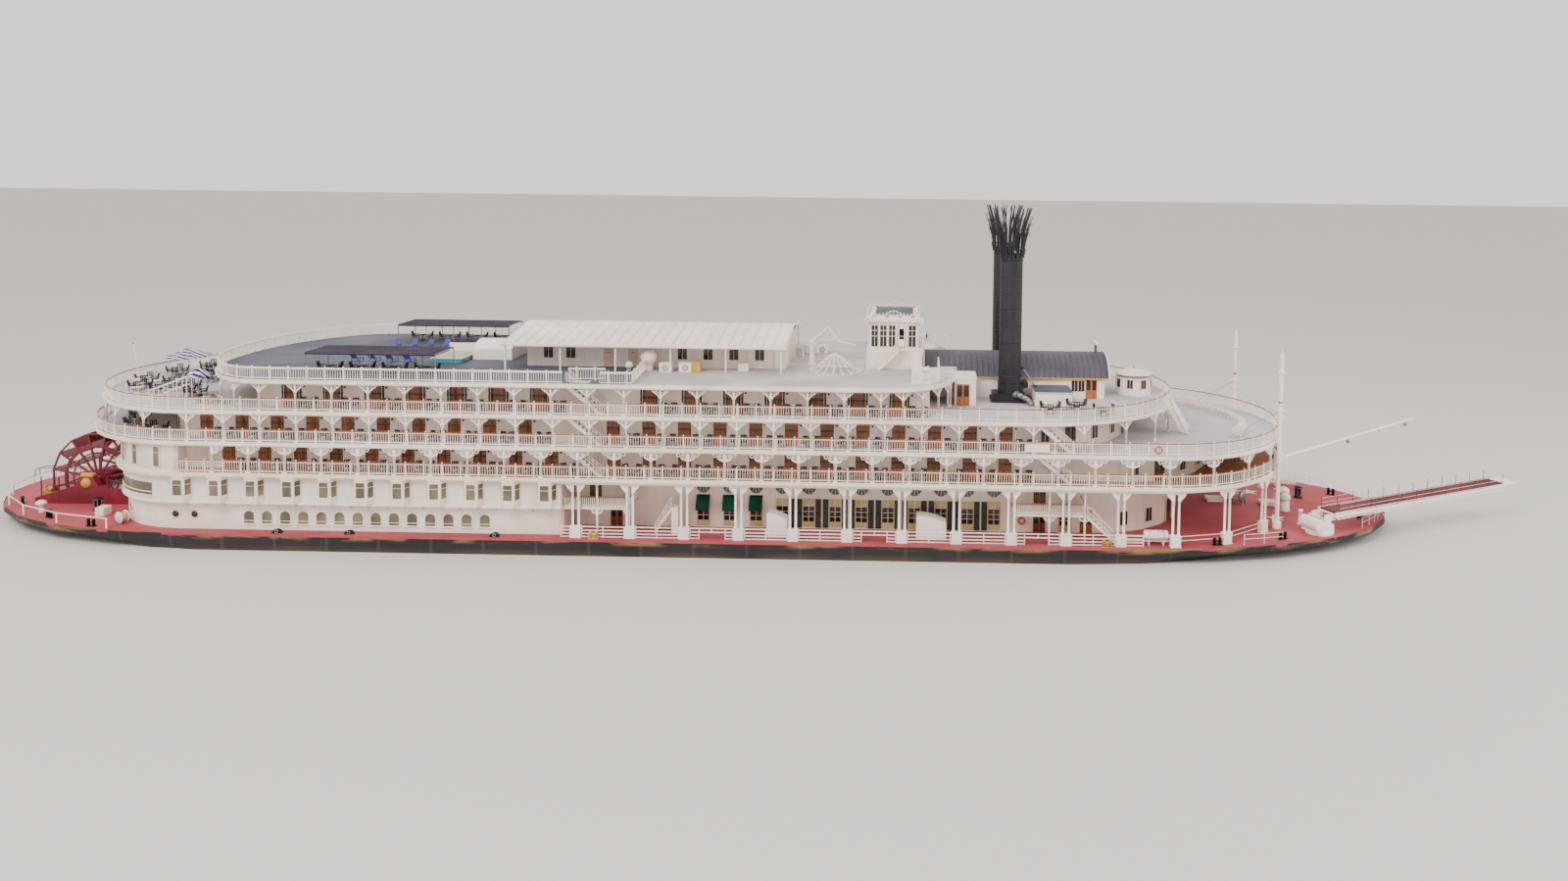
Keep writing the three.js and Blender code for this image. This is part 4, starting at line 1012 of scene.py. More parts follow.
    def lamp(self) -> Shape:
        """Small black wall lamp."""
        shape = Shape("lamp")
        shape.rod((0, 0, 0), (0, -0.016, 0.004), 0.0025, IRON, 5)
        shape.rod((0, -0.016, -0.006), (0, -0.016, 0.008), 0.010, IRON, 6, 0.004)
        return shape

    def build(self) -> None:
        """Builds and dresses the deck's veranda."""
        uprights = Shape(f"{self.name}_posts")
        path = self.plan.raised(self.floor, self.plan.half - self.post_line)
        closed = all(p.x > self.open_aft for p in path)
        if not closed:
            first = next(i for i, p in enumerate(path) if p.x > self.open_aft >= path[i - 1].x)
            run = [p for p in path[first:] + path[:first] if p.x > self.open_aft]
            ends = [Vector((self.open_aft, run[i].y, self.floor)) for i in (0, -1)]
            uprights.sweep([(-0.046, 0.0006), (0.010, 0.0006), (0.010, 0.004), (-0.046, 0.004)],
                           [ends[1], *(p for p in path if p.x < self.open_aft), ends[0]], WHITE, False)
            path = [ends[0], *run, ends[1]]
        self.balustrade(path, closed).make()
        brackets = Shape(f"{self.name}_brackets")
        post, bracket = self.post(), self.bracket()
        places = self.post_places()
        for side in BOTH:
            line = [(x, side * y) for x, y in places if side > 0 or y > 1e-3]
            uprights.repeat(post, [at(x, y, self.floor) for x, y in line])
            for i, (x, y) in enumerate(line):
                for step in BOTH:
                    j = i + step
                    if 0 <= j < len(line):
                        heading = math.atan2(line[j][1] - y, line[j][0] - x)
                        brackets.repeat(bracket, [at(x, y, self.ceiling - PLATE, heading)])
        uprights.make()
        brackets.make()
        self.furnish()
        if self.flights:
            self.stair_rails().make()

    def stair_rails(self) -> Shape:
        """White strings, stands and handrails of the flights down to the deck below."""
        shape = Shape(f"{self.name}_stair_rails")
        low, rise = self.floor, self.ceiling - self.floor
        for side in BOTH:
            for foot, head in self.flights:
                for y in (side * 1.177, side * 1.2785):
                    shape.plate(upright([(foot + 0.006, low + 0.001), (foot - 0.020, low + 0.001),
                                         (head, low + rise - 0.038),
                                         (head, low + rise - 0.004)], y - 0.0025), (0, 0.005, 0), WHITE)
                    for lift in (0.040, 0.066, 0.092):
                        shape.rod((foot, y, low + lift), (head, y, low + rise + lift), 0.0027, WHITE, 5)
                    for k in range(10):
                        x = foot + (head - foot) * (k + 0.3) / 9.6
                        z = low + rise * (k + 0.3) / 9.6
                        shape.rod((x, y, z), (x, y, z + 0.092), 0.0022, WHITE, 4)
        return shape

    def furnish(self) -> None:
        """Doors, lamps, chairs and tables along both sides."""
        joinery = Shape(f"{self.name}_doors")
        seats = Shape(f"{self.name}_chairs")
        furniture = Furniture()
        door, lamp = self.door(), self.lamp()
        chair, table = furniture.chair(IRON), furniture.table(IRON)
        chance = random.Random(int(self.floor * 1000))
        wide = self.joinery is Joinery.WIDE
        for side in BOTH:
            for row in self.rows:
                for x in row.places():
                    joinery.repeat(door, [on_side(side, x, self.wall, self.floor + 0.0005)])
                    joinery.repeat(lamp,
                                   [on_side(side, x + (0.105 if wide else 0.080), self.wall,
                                            self.floor + 0.178)])
                    for off in (0.110, 0.205):
                        turn = (0.0 if side < 0 else math.pi) + chance.uniform(-0.5, 0.5)
                        seats.repeat(chair, [at(x + off, side * (self.wall + 0.045), self.floor, turn)])
                    seats.repeat(table, [at(x + 0.158, side * (self.wall + 0.042), self.floor)])
        joinery.make()
        seats.make("stack_black")


class RoofRail:
    """Balustrade round the aft part of the roof deck and across it at the stairs."""

    def build(self) -> None:
        """Sweeps the rails, open at the heads of the stairs."""
        veranda = Veranda("roof", ROOF_PLAN, ROOF, ROOF, Lace.FAN, 0.009, ROOF_PLAN, (), cap=CREAM)
        shape = Shape("roof_rails")
        y, aft, gap, end = ROOF_PLAN.half - 0.014, -0.870, -0.560, -0.300
        path = [p for p in ROOF_PLAN.raised(ROOF, 0.014) if p.x < aft]
        runs = [[Vector((aft, y, ROOF)), *path, Vector((aft, -y, ROOF))]]
        for side in BOTH:
            fence = [Vector((x, side * v, ROOF)) for x,
                     v in ((gap, y), (end, y - 0.004), (end - 0.045, 0.500))]
            well = [Vector((x, side * v, ROOF)) for x, v in ((aft, 1.150), (gap, 1.150))]
            runs += [fence, well] if side < 0 else [fence[::-1], well[::-1]]
        for run in runs:
            shape.repeat(veranda.balustrade(run, False), [Matrix()])
        shape.make()


class Fascias:
    """Moulded white beams round the edges of the decks."""

    def build(self) -> None:
        """Sweeps the beam section round every plan."""
        shape = Shape("deck_fascias")
        section = [(-0.004, -0.034), (0.004, -0.034), (0.005, -0.028), (0.010, -0.024), (0.010, -0.006),
                   (0.013, -0.003), (0.013, 0.003), (-0.001, 0.003), (-0.001, 0.0005), (-0.004, 0.0005)]
        for plan, z in ((DECK_3_PLAN, DECK_3), (DECK_4_PLAN, DECK_4), (DECK_5_PLAN, DECK_5),
                        (ROOF_PLAN, ROOF)):
            shape.sweep(section, plan.raised(z, 0.003), CREAM, True)
        shape.make()


# ---------------------------------------------------------------- gallery and midships house


@dataclass
class Gallery:
    """Paired columns of the open gallery with their fans, beam and rails."""

    first: float = -0.775
    pitch: float = 0.451
    count: int = 13
    last: Point = (5.040, 0.835)
    line: float = 1.290
    straight: float = 4.120
    bend: float = 0.450
    apart: float = 0.0245
    height: float = DECK_3 - PLATE - MAIN
    bars: tuple[float, ...] = (0.092, 0.062, 0.034, 0.008)
    gates: tuple[tuple[float, float], ...] = ((0.255, 0.465), (1.600, 1.806), (2.948, 3.142))
    rail_ends: tuple[float, float] = (-0.902, 3.926)

    def places(self) -> list[tuple[float, float]]:
        """Places of the columns in X and distance from the middle line, as in the solids."""
        found = []
        for i in range(self.count):
            x = self.first + i * self.pitch
            found.append((x, self.line - self.bend * max(x - self.straight, 0.0) ** 2))
        return [*found, (self.last[0], self.last[1])]

    def column(self) -> Shape:
        """Pedestal, two shafts and their fan, front to -Y."""
        shape = Shape("column")
        top = self.height
        shape.block((-0.0415, -0.023, 0.0003), (0.0415, 0.023, 0.095), WHITE, 0.0015)
        shape.block((-0.045, -0.026, 0.0003), (0.045, 0.026, 0.010), WHITE, 0.0015)
        shape.block((-0.045, -0.026, 0.088), (0.045, 0.026, 0.099), WHITE, 0.002)
        shape.block((-0.031, -0.0245, 0.020), (0.031, -0.022, 0.078), WHITE, 0.001)
        for x in (-self.apart, self.apart):
            shape.turned([(0, 0.098), (0.0145, 0.098), (0.0145, 0.105), (0.0105, 0.109), (0.0100, 0.300),
                          (0.0094, top - 0.094), (0.0130, top - 0.088), (0.0130, top - 0.080),
                          (0.0100, top - 0.076),
                          (0.0100, top - 0.030), (0, top - 0.030)], (x, 0, 0), WHITE, 10)
        curve = bowed((0.036, top - 0.082), (0.085, top - 0.014), -0.010)
        arch = [(0.014, top - 0.080), (0.014, top - 0.046), (0.009, top - 0.035), (0.0, top - 0.031)]
        half = [*curve, (0.088, top - 0.002)]
        outline = half + [(-x, z) for x, z in reversed(half)] + [(-x, z) for x, z in arch] + arch[-2::-1]
        shape.plate(upright(outline, -0.007), (0, 0.014, 0), WHITE)
        for side in BOTH:
            shape.ring((side * 0.048, -0.008, top - 0.033), 0.013, 0.0026, CREAM, (0, 1, 0), 10, 4)
            shape.ring((side * 0.066, -0.008, top - 0.020), 0.007, 0.0022, CREAM, (0, 1, 0), 8, 4)
            shape.ball((side * 0.038, -0.004, top - 0.086), 0.0065, WHITE, (1, 1, 1), 6)
        shape.ball((0.0, -0.008, top - 0.022), 0.006, CREAM, (1, 0.6, 1), 6)
        shape.block((-0.092, -0.018, top - 0.007), (0.092, 0.018, top - 0.0005), WHITE, 0.001)
        return shape

    def girder(self, side: int) -> Shape:
        """The columns with the moulded beam that they carry."""
        shape = Shape(f"gallery_{'port' if side > 0 else 'starboard'}")
        column = self.column()
        for x, y in self.places():
            heading = math.atan(2 * self.bend * max(x - self.straight, 0.0))
            turn = heading if side < 0 else math.pi - heading
            shape.repeat(column, [at(x, side * y, MAIN, turn)])
        path = [Vector((x, -y, MAIN + self.height)) for x, y in self.places() if x > self.straight]
        path = [Vector((self.first - 0.12, -self.line, MAIN + self.height)),
                Vector((self.straight, -self.line, MAIN + self.height)), *path]
        if side > 0:
            path = [Vector((p.x, -p.y, p.z)) for p in reversed(path)]
        shape.sweep([(-0.013, -0.026), (0.013, -0.026), (0.013, -0.018), (0.016, -0.014), (0.016, -0.001),
                     (-0.013, -0.001)], path, WHITE)
        return shape

    def rails(self) -> Shape:
        """Four-bar rails between the pedestals, cut low at the gates, and rope rails round the bow."""
        shape = Shape("gallery_rails")
        places = [(x, y) for x, y in self.places() if x < self.rail_ends[1]]
        stops = [self.rail_ends[0], *[x for x, _ in places], self.rail_ends[1]]
        for side in BOTH:
            y = side * self.line
            for i, (start, end) in enumerate(zip(stops, stops[1:])):
                low = start + (0.046 if i else 0.0)
                high = end - (0.046 if i + 2 < len(stops) else 0.0)
                gate = next((g for g in self.gates if low < sum(g) / 2 < high), None)
                for j, z in enumerate(self.bars):
                    spans = [(low, gate[0]), (gate[1], high)] if gate and j > 1 else [(low, high)]
                    for a, b in spans:
                        if b - a > 0.02:
                            shape.block((a, y - 0.003, MAIN + z - 0.0045), (b, y + 0.003, MAIN + z + 0.0045),
                                        WHITE)
                stands = [low + 0.003, high - 0.003]
                stands += [gate[0] - 0.003, gate[1] + 0.003] if gate else []
                stands += [(low + high) / 2] if high - low > 0.3 else []
                for x in stands:
                    foot = 0.056 if gate and abs(x - (low + high) / 2) < 0.01 else 0.0003
                    shape.block((x - 0.0035, y - 0.005, MAIN + foot), (x + 0.0035, y + 0.004, MAIN + 0.097),
                                WHITE)
            ahead = [p for p in self.places() if p[0] > 3.6]
            for (x0, y0), (x1, y1) in zip(ahead, ahead[1:]):
                for z in (0.086, 0.050):
                    shape.rod((x0, side * y0, MAIN + z), (x1, side * y1, MAIN + z), 0.0028, WHITE, 5)
        return shape

    def build(self) -> None:
        """Columns in place of their plain solids, and rails."""
        for side, name in ((-1, "starboard"), (1, "port")):
            self.girder(side).make(replaces=(f"colonnade_{name}",))
        self.rails().make()


@dataclass
class MidshipsWall:
    """Wall of the house behind the gallery: windows, shutters, lunettes, awnings, doors and covers."""

    wall: float = 0.950
    first: float = 0.226
    pitch: float = 0.226
    count: int = 12
    shaded: int = 3

    def window(self) -> Shape:
        """Ochre window with its transom, dark panes and white cross bars."""
        shape = Shape("window")
        shape.block((-0.056, -0.005, 0.009), (0.056, 0.001, 0.257), PALE_OCHRE, 0.001)
        shape.block((-0.047, -0.0065, 0.198), (0.047, -0.003, 0.252), AMBER)
        shape.block((-0.047, -0.0065, 0.063), (0.047, -0.003, 0.193), PANE)
        shape.block((-0.047, -0.0065, 0.014), (0.047, -0.003, 0.058), AMBER)
        shape.block((-0.0018, -0.008, 0.063), (0.0018, -0.003, 0.252), WHITE)
        for z in (0.106, 0.150, 0.1955):
            shape.block((-0.047, -0.008, z - 0.0016), (0.047, -0.003, z + 0.0016), WHITE)
        shape.block((-0.060, -0.010, 0.003), (0.060, 0.001, 0.010), WHITE)
        return shape

    def shutters(self) -> Shape:
        """A pair of louvred dark green shutters with the strip between them."""
        shape = Shape("shutters")
        for middle in (-0.031, 0.031):
            low, high = middle - 0.0235, middle + 0.0235
            shape.block((low, -0.004, 0.010), (high, 0.001, 0.256), SHUTTER)
            for x0, x1 in ((low, low + 0.005), (high - 0.005, high)):
                shape.block((x0, -0.007, 0.010), (x1, -0.003, 0.256), SHUTTER)
            for z in (0.010, 0.128, 0.251):
                shape.block((low, -0.007, z), (high, -0.003, z + 0.006), SHUTTER)
            for i in range(18):
                z = 0.020 + i * 0.0128
                if abs(z - 0.130) > 0.009:
                    shape.plate([(low + 0.005, -0.0062, z), (low + 0.005, -0.0035, z + 0.007),
                                 (low + 0.005, -0.0035, z + 0.0085), (low + 0.005, -0.0062, z + 0.0015)],
                                (0.037, 0, 0), SHUTTER)
        return shape

    def lunette(self) -> Shape:
        """Half-round fan light with its flat side up."""
        shape = Shape("lunette")
        arc = [(0.070 * math.cos(a), 0.390 - 0.094 * math.sin(a))
               for a in (i / 10 * math.pi for i in range(11))]
        rim = [(0.075 * math.cos(a), 0.391 - 0.100 * math.sin(a))
               for a in (i / 10 * math.pi for i in range(11))]
        shape.plate(upright(rim, -0.004), (0, 0.005, 0), WHITE)
        shape.plate(upright(arc, -0.006), (0, 0.003, 0), GREEN_PANE)
        shape.block((-0.076, -0.007, 0.389), (0.076, 0.001, 0.395), WHITE)
        for angle in (0.52, 1.05, math.pi / 2, 2.09, 2.62):
            tip = (0.068 * math.cos(angle), 0.390 - 0.091 * math.sin(angle))
            side = (0.0012 * math.sin(angle), 0.0012 * math.cos(angle))
            shape.plate(upright([(side[0], 0.390 + side[1]), (tip[0] + side[0], tip[1] + side[1]),
                                 (tip[0] - side[0], tip[1] - side[1]), (-side[0], 0.390 - side[1])], -0.0075),
                        (0, 0.003, 0), WHITE)
        return shape

    def awning(self, side: int, index: int) -> None:
        """A green canvas blind over a window, on its frame."""
        x = self.first + index * self.pitch
        name = f"window_awning_{'port' if side > 0 else 'starboard'}_{index}"
        half, reach, top, low, drop = 0.057, 0.070, 0.284, 0.172, 0.012
        rows = [(0.003, top), (0.020, top - 0.024), (0.038, top - 0.050), (0.055, top - 0.078),
                (reach, low + 0.004),
                (reach + 0.0005, low - drop)]
        bm = bmesh.new()
        columns = 14
        for i in range(columns + 1):
            across = -half + 2 * half * i / columns
            scallop = 0.003 * abs(math.sin(i / columns * math.pi * 5))
            bellied = 0.0035 * math.sin(i / columns * math.pi)
            chain = [bm.verts.new((x + across, side * (self.wall + out),
                                   MAIN + z + (scallop if j == 5 else 0.0)
                                   - (bellied if 0 < j < 4 else 0.0))) for j, (out, z) in enumerate(rows)]
            if i:
                for a, b, c, d in zip(previous, previous[1:], chain[1:], chain):
                    bm.faces.new((a, b, c, d))
            previous = chain
        bmesh.ops.recalc_face_normals(bm, faces=bm.faces[:])
        cloth = sheet_piece(name, bm, AWNING, 0.0008)
        length = sum(math.dist(a, b) for a, b in zip(rows, rows[1:]))

    def awning_frame(self) -> Shape:
        """Thin bars that hold an awning off the wall."""
        shape = Shape("awning_frame")
        for x in (-0.054, 0.054):
            shape.rod((x, 0, 0.176), (x, -0.067, 0.173), 0.0015, STEEL, 5)
        shape.rod((-0.055, -0.067, 0.173), (0.055, -0.067, 0.173), 0.0015, STEEL, 5)
        shape.rod((-0.056, -0.0035, 0.282), (0.056, -0.0035, 0.282), 0.002, STEEL, 5)
        return shape

    def cover(self, low: float, high: float, side: int) -> Shape:
        """White cover with a back that curves down forward."""
        shape = Shape("cover")
        outline = [(low, MAIN + 0.0005), (low, MAIN + 0.195)]
        outline += bowed((low + 0.01, MAIN + 0.200), (high, MAIN + 0.140), 0.012)
        outline += [(high, MAIN + 0.0005)]
        shape.plate(upright(outline, side * 1.055), (0, side * 0.140, 0), WHITE)
        return shape

    def door(self, finish: Finish, half: float = 0.052, height: float = 0.205) -> Shape:
        """A panelled double door, front to -Y."""
        shape = Shape("double_door")
        shape.block((-half - 0.006, -0.004, 0.0005), (half + 0.006, 0.001, height + 0.008), WHITE)
        for x0, x1 in ((-half, -0.0012), (0.0012, half)):
            shape.block((x0, -0.007, 0.002), (x1, -0.002, height), finish, 0.001)
            shape.block((x0 + 0.008, -0.0085, 0.012), (x1 - 0.008, -0.005, 0.070), finish, 0.001)
            shape.block((x0 + 0.008, -0.0085, 0.082), (x1 - 0.008, -0.005, height - 0.012), PANE)
        return shape

    def build(self) -> None:
        """Both sides of the wall."""
        shape = Shape("midships_joinery")
        green = Shape("midships_shutters")
        covers = Shape("gallery_covers")
        window, shutters, lunette = self.window(), self.shutters(), self.lunette()
        frame_bars, dark = self.awning_frame(), self.door(MAHOGANY_DARK)
        ring, brown = Furniture().life_ring(), self.door(MAHOGANY)
        canister = self.canister()
        for side in BOTH:
            for i in range(self.count):
                x = self.first + i * self.pitch
                shape.repeat(window, [on_side(side, x, self.wall, MAIN)])
                shape.repeat(lunette, [on_side(side, x, self.wall, MAIN)])
                if i < self.shaded:
                    self.awning(side, i)
                    shape.repeat(frame_bars, [on_side(side, x, self.wall, MAIN)])
                elif i + 1 < self.count:
                    green.repeat(shutters, [on_side(side, x + self.pitch / 2, self.wall, MAIN)])
            for x, floor, leaf in ((3.10, MAIN, dark), (3.10, MEZZANINE, dark), (-0.70, MEZZANINE, dark),
                                   (-0.52, MAIN, dark), (3.50, MAIN, brown)):
                shape.repeat(leaf, [on_side(side, x, self.wall, floor)])
            shape.repeat(window, [on_side(side, 3.32, self.wall, MAIN)])
            shape.repeat(ring, [on_side(side, 2.95, self.wall, MAIN + 0.10)])
            for low, high in ((0.80, 0.97), (2.05, 2.30)):
                covers.repeat(self.cover(low, high, side), [Matrix()])
            covers.repeat(canister, [at(4.036, side * 1.235, MAIN)])
        shape.make()
        green.make()
        covers.make()

    def canister(self) -> Shape:
        """White ribbed life-raft canister on its stand, along X."""
        shape = Shape("canister")
        shape.turned([(0, -0.100), (0.034, -0.098), (0.040, -0.090), (0.040, -0.004), (0.043, -0.003),
                      (0.043, 0.003),
                      (0.040, 0.004), (0.040, 0.090), (0.034, 0.098), (0, 0.100)], (0, 0, 0.085), WHITE, 12,
                     (1, 0, 0))
        for x in (-0.060, 0.060):
            shape.ring((x, 0, 0.085), 0.0405, 0.0022, STEEL, (1, 0, 0), 12, 4)
            shape.block((x - 0.005, -0.030, 0.0005), (x + 0.005, 0.030, 0.050), WHITE)
        return shape


@dataclass
class Balconies:
    """Rails, posts, brackets and small stairs of the mezzanine balconies beside the gallery."""

    spans: tuple[tuple[float, float], ...] = ((-0.880, -0.330), (2.850, 3.450))
    line: float = 1.262
    rail: float = 0.084

    def side_rail(self, path: list[Vector]) -> Shape:
        """Handrail and balusters along a path."""
        shape = Shape("balcony_rail")
        top = self.rail
        shape.sweep([(-0.004, top - 0.006), (0.004, top - 0.006), (0.004, top), (-0.004, top)], path,
                    HANDRAIL)
        shape.sweep([(-0.003, 0.008), (0.003, 0.008), (0.003, 0.013), (-0.003, 0.013)], path, WHITE)
        stick = Shape("stick")
        stick.block((-0.002, -0.002, 0.010), (0.002, 0.002, top - 0.004), WHITE)
        shape.repeat(stick, [at(*p, h) for p, h in paced(path, 0.0165, False)])
        return shape

    def stair(self, shape: Shape, side: int, foot: float, head: float, rise: float, y: Point) -> None:
        """A straight stair with white strings and a rail on both sides."""
        steps = 7
        near, far = (side * v for v in y)
        for i in range(steps):
            x = foot + (head - foot) * (i + 0.5) / steps
            z = MAIN + rise * (i + 1) / steps
            run = abs(head - foot) / steps / 2
            shape.block((x - run, min(near, far), z - 0.008), (x + run, max(near, far), z - 0.002), WHITE)
        for edge in (near, far):
            shape.plate(upright([(foot, MAIN + 0.001), (foot, MAIN + 0.020), (head, MAIN + rise),
                                 (head, MAIN + rise - 0.03)],
                                edge - 0.002), (0, 0.004, 0), WHITE)
            for lift in (0.045, 0.085):
                shape.rod((foot, edge, MAIN + lift), (head, edge, MAIN + rise + lift), 0.0028, WHITE, 5)
            for t in (0.02, 0.5, 0.98):
                x = foot + (head - foot) * t
                shape.rod((x, edge, MAIN + rise * t), (x, edge, MAIN + rise * t + 0.087), 0.003, WHITE, 5)

    def build(self) -> None:
        """Balconies of both sides."""
        shape = Shape("balconies")
        for side in BOTH:
            for start, end in self.spans:
                corners = [Vector((x, side * self.line, MEZZANINE)) for x in (start + 0.006, end - 0.006)]
                path = corners if side < 0 else corners[::-1]
                shape.repeat(self.side_rail(path), [Matrix()])
                inner = Vector((end - 0.006, side * 0.975, MEZZANINE))
                turn = [corners[1], inner] if side < 0 else [inner, corners[1]]
                shape.repeat(self.side_rail(turn), [Matrix()])
                for x in ((start + end) / 2, end - 0.008):
                    shape.rod((x, side * self.line, MAIN + 0.0004), (x, side * self.line, MEZZANINE - 0.0185),
                              0.008, WHITE, 8)
                    shape.rod((x, side * self.line, MEZZANINE + 0.0003),
                              (x, side * self.line, DECK_3 - PLATE - 0.0006),
                              0.008, WHITE, 8)
                    for z in (MEZZANINE - 0.019, DECK_3 - PLATE - 0.001):
                        for step in BOTH:
                            shape.ring((x + step * 0.026, side * self.line, z - 0.020), 0.015, 0.003, WHITE,
                                       (0, 1, 0), 10, 4)
                            shape.rod((x, side * self.line, z - 0.050),
                                      (x + step * 0.052, side * self.line, z - 0.004),
                                      0.0035, WHITE, 5)
            self.stair(shape, side, -0.145, -0.006, MEZZANINE - MAIN - 0.02, (1.060, 1.160))
            shape.block((-0.006, min(side * 1.05, side * 1.165), MAIN + 0.0005),
                        (0.052, max(side * 1.05, side * 1.165), MEZZANINE - 0.02), WHITE, 0.002)
            self.stair(shape, side, 3.700, 3.460, MEZZANINE - MAIN - 0.006, (1.150, 1.245))
        shape.make()


# ---------------------------------------------------------------- aft houses, wheel and stern


@dataclass
class AftHouse:
    """The upper aft house with its bays, and windows and trim of both lower aft houses."""

    lower: float = 1.230
    upper: float = 1.270
    arches: DoorRow = DoorRow(-3.545, 0.153, 14)
    portholes: tuple[float, ...] = (-4.005, -4.166)
    bays: DoorRow = DoorRow(-4.080, 0.306, 11)
    front: float = 0.050
    root: float = 0.080
    proud: float = 1.338

    def arch_window(self) -> Shape:
        """Arched window with a white architrave, a light sill and a low bar."""
        shape = Shape("arch_window")
        half, spring, foot = 0.042, 0.124, 0.056
        for grow, front, finish in ((0.008, -0.004, CREAM), (0.0, -0.0055, HOUSE_GLASS)):
            arc = [((half + grow) * math.cos(a), spring + (0.036 + grow) * math.sin(a))
                   for a in (i / 8 * math.pi for i in range(9))]
            outline = [(half + grow, foot - grow), *arc, (-half - grow, foot - grow)]
            shape.plate(upright(outline, front), (0, 0.004, 0), finish)
        shape.block((-half, -0.0085, 0.076), (half, -0.003, 0.081), WHITE)
        shape.block((-half - 0.010, -0.011, foot - 0.012), (half + 0.010, 0.001, foot - 0.005), CREAM)
        shape.block((-0.006, -0.008, 0.160), (0.006, 0.001, 0.176), CREAM, 0.001)
        return shape

    def porthole(self) -> Shape:
        """Round window with a painted ring."""
        shape = Shape("porthole")
        shape.turned([(0, 0.003), (0.028, 0.003), (0.028, -0.001)], (0, 0, 0.125), PANE, 14, (0, -1, 0))
        shape.ring((0, -0.003, 0.125), 0.032, 0.0045, WALL, (0, 1, 0), 16, 5)
        return shape

    def bay(self) -> Shape:
        """Panes, mouldings and hood of a three-sided bay, with its middle at the origin on the wall line."""
        shape = Shape("bay")
        proud = self.proud - self.upper
        slant = math.atan2(proud, self.root - self.front)

        def light(half: float, face: Sequence[float], turn: float) -> None:
            """One framed pane of the bay, turned to its face."""
            pane = Shape("light")
            pane.block((-half - 0.005, -0.003, 0.058), (half + 0.005, 0.001, 0.198), CREAM, 0.001)
            pane.block((-half, -0.0045, 0.064), (half, -0.002, 0.191), HOUSE_GLASS)
            pane.block((-half, -0.006, 0.149), (half, -0.002, 0.152), WHITE)
            pane.block((-half - 0.006, -0.006, 0.050), (half + 0.006, 0.001, 0.057), CREAM)
            shape.repeat(pane, [at(face[0], face[1], 0.0, turn)])

        light(0.036, (0.0, -proud), 0.0)
        middle = (self.root + self.front) / 2
        light(0.026, (-middle - 0.0008, -proud / 2), -slant)
        light(0.026, (middle + 0.0008, -proud / 2), slant)
        for z, out in ((0.206, 0.004), (0.214, 0.007), (0.030, 0.004)):
            outline = [(-self.root - out, 0.0), (-self.front - out / 2, -proud - out),
                       (self.front + out / 2, -proud - out),
                       (self.root + out, 0.0)]
            shape.plate([(x, y, z) for x, y in outline], (0, 0, 0.005), CREAM)
        shape.block((-0.030, -proud - 0.003, 0.036), (0.030, -proud + 0.001, 0.050), WHITE, 0.001)
        return shape

    def shell(self) -> Shape:
        """Walls of the upper house with its bays, in place of the plain solid."""
        shape = Shape("aft_house_walls")
        corner = UPPER_HOUSE.stern.tip + UPPER_HOUSE.stern.run + 0.001
        edge = UPPER_HOUSE.edge(0.0, 12)
        fore = [p for p in edge if p.x > corner]
        aft = [p for p in edge if p.x <= corner]
        row = [(max(x + off, corner), out) for x in self.bays.places()
               for off, out in ((-self.root, self.upper), (-self.front, self.proud), (self.front, self.proud),
                                (self.root, self.upper))]
        outline = [(p.x, p.y) for p in fore] + row[::-1] + [(p.x, p.y)
                                                            for p in aft] + [(x, -y) for x, y in row]
        floor = MEZZANINE + 0.0004
        shape.plate([(x, y, floor) for x, y in outline], (0, 0, DECK_3 - PLATE - 0.0004 - floor), WHITE)
        return shape

    def corbel(self) -> Shape:
        """Small scrolled bracket under the mezzanine edge."""
        shape = Shape("corbel")
        shape.plate(upright([(-0.004, 0.0), (-0.004, -0.040), (0.004, -0.040), (0.004, 0.0)], -0.004),
                    (0, 0.005, 0), WHITE)
        shape.plate([(-0.003, 0.0, 0.0), (-0.003, -0.046, 0.0), (-0.003, -0.040, -0.012),
                     (-0.003, -0.012, -0.034),
                     (-0.003, 0.0, -0.040)], (0.006, 0, 0), WHITE)
        return shape

    def build(self) -> None:
        """Both sides and the curved aft wall."""
        shape = Shape("aft_house_joinery")
        arch, porthole, bay, corbel = self.arch_window(), self.porthole(), self.bay(), self.corbel()
        for side in BOTH:
            shape.repeat(arch, [on_side(side, x, self.lower, MAIN) for x in self.arches.places()])
            shape.repeat(porthole, [on_side(side, x, self.lower, MAIN) for x in self.portholes])
            shape.repeat(bay, [on_side(side, x, self.upper, MEZZANINE) for x in self.bays.places()])
            shape.repeat(corbel, [on_side(side, x, self.lower, MEZZANINE - 0.0185)
                                  for x in DoorRow(-4.06, 0.153, 21).places()])
        self.curved_wall(shape)
        shape.make()
        self.shell().make(replaces=("aft_house_upper",))
        edges = Shape("mezzanine_mouldings")
        edges.sweep([(-0.002, -0.020), (0.004, -0.020), (0.007, -0.015), (0.007, -0.003), (0.003, 0.002),
                     (-0.002, 0.002)],
                    [p for p in MEZZANINE_PLAN.raised(MEZZANINE, 0.001)], CREAM, True)
        edges.make()

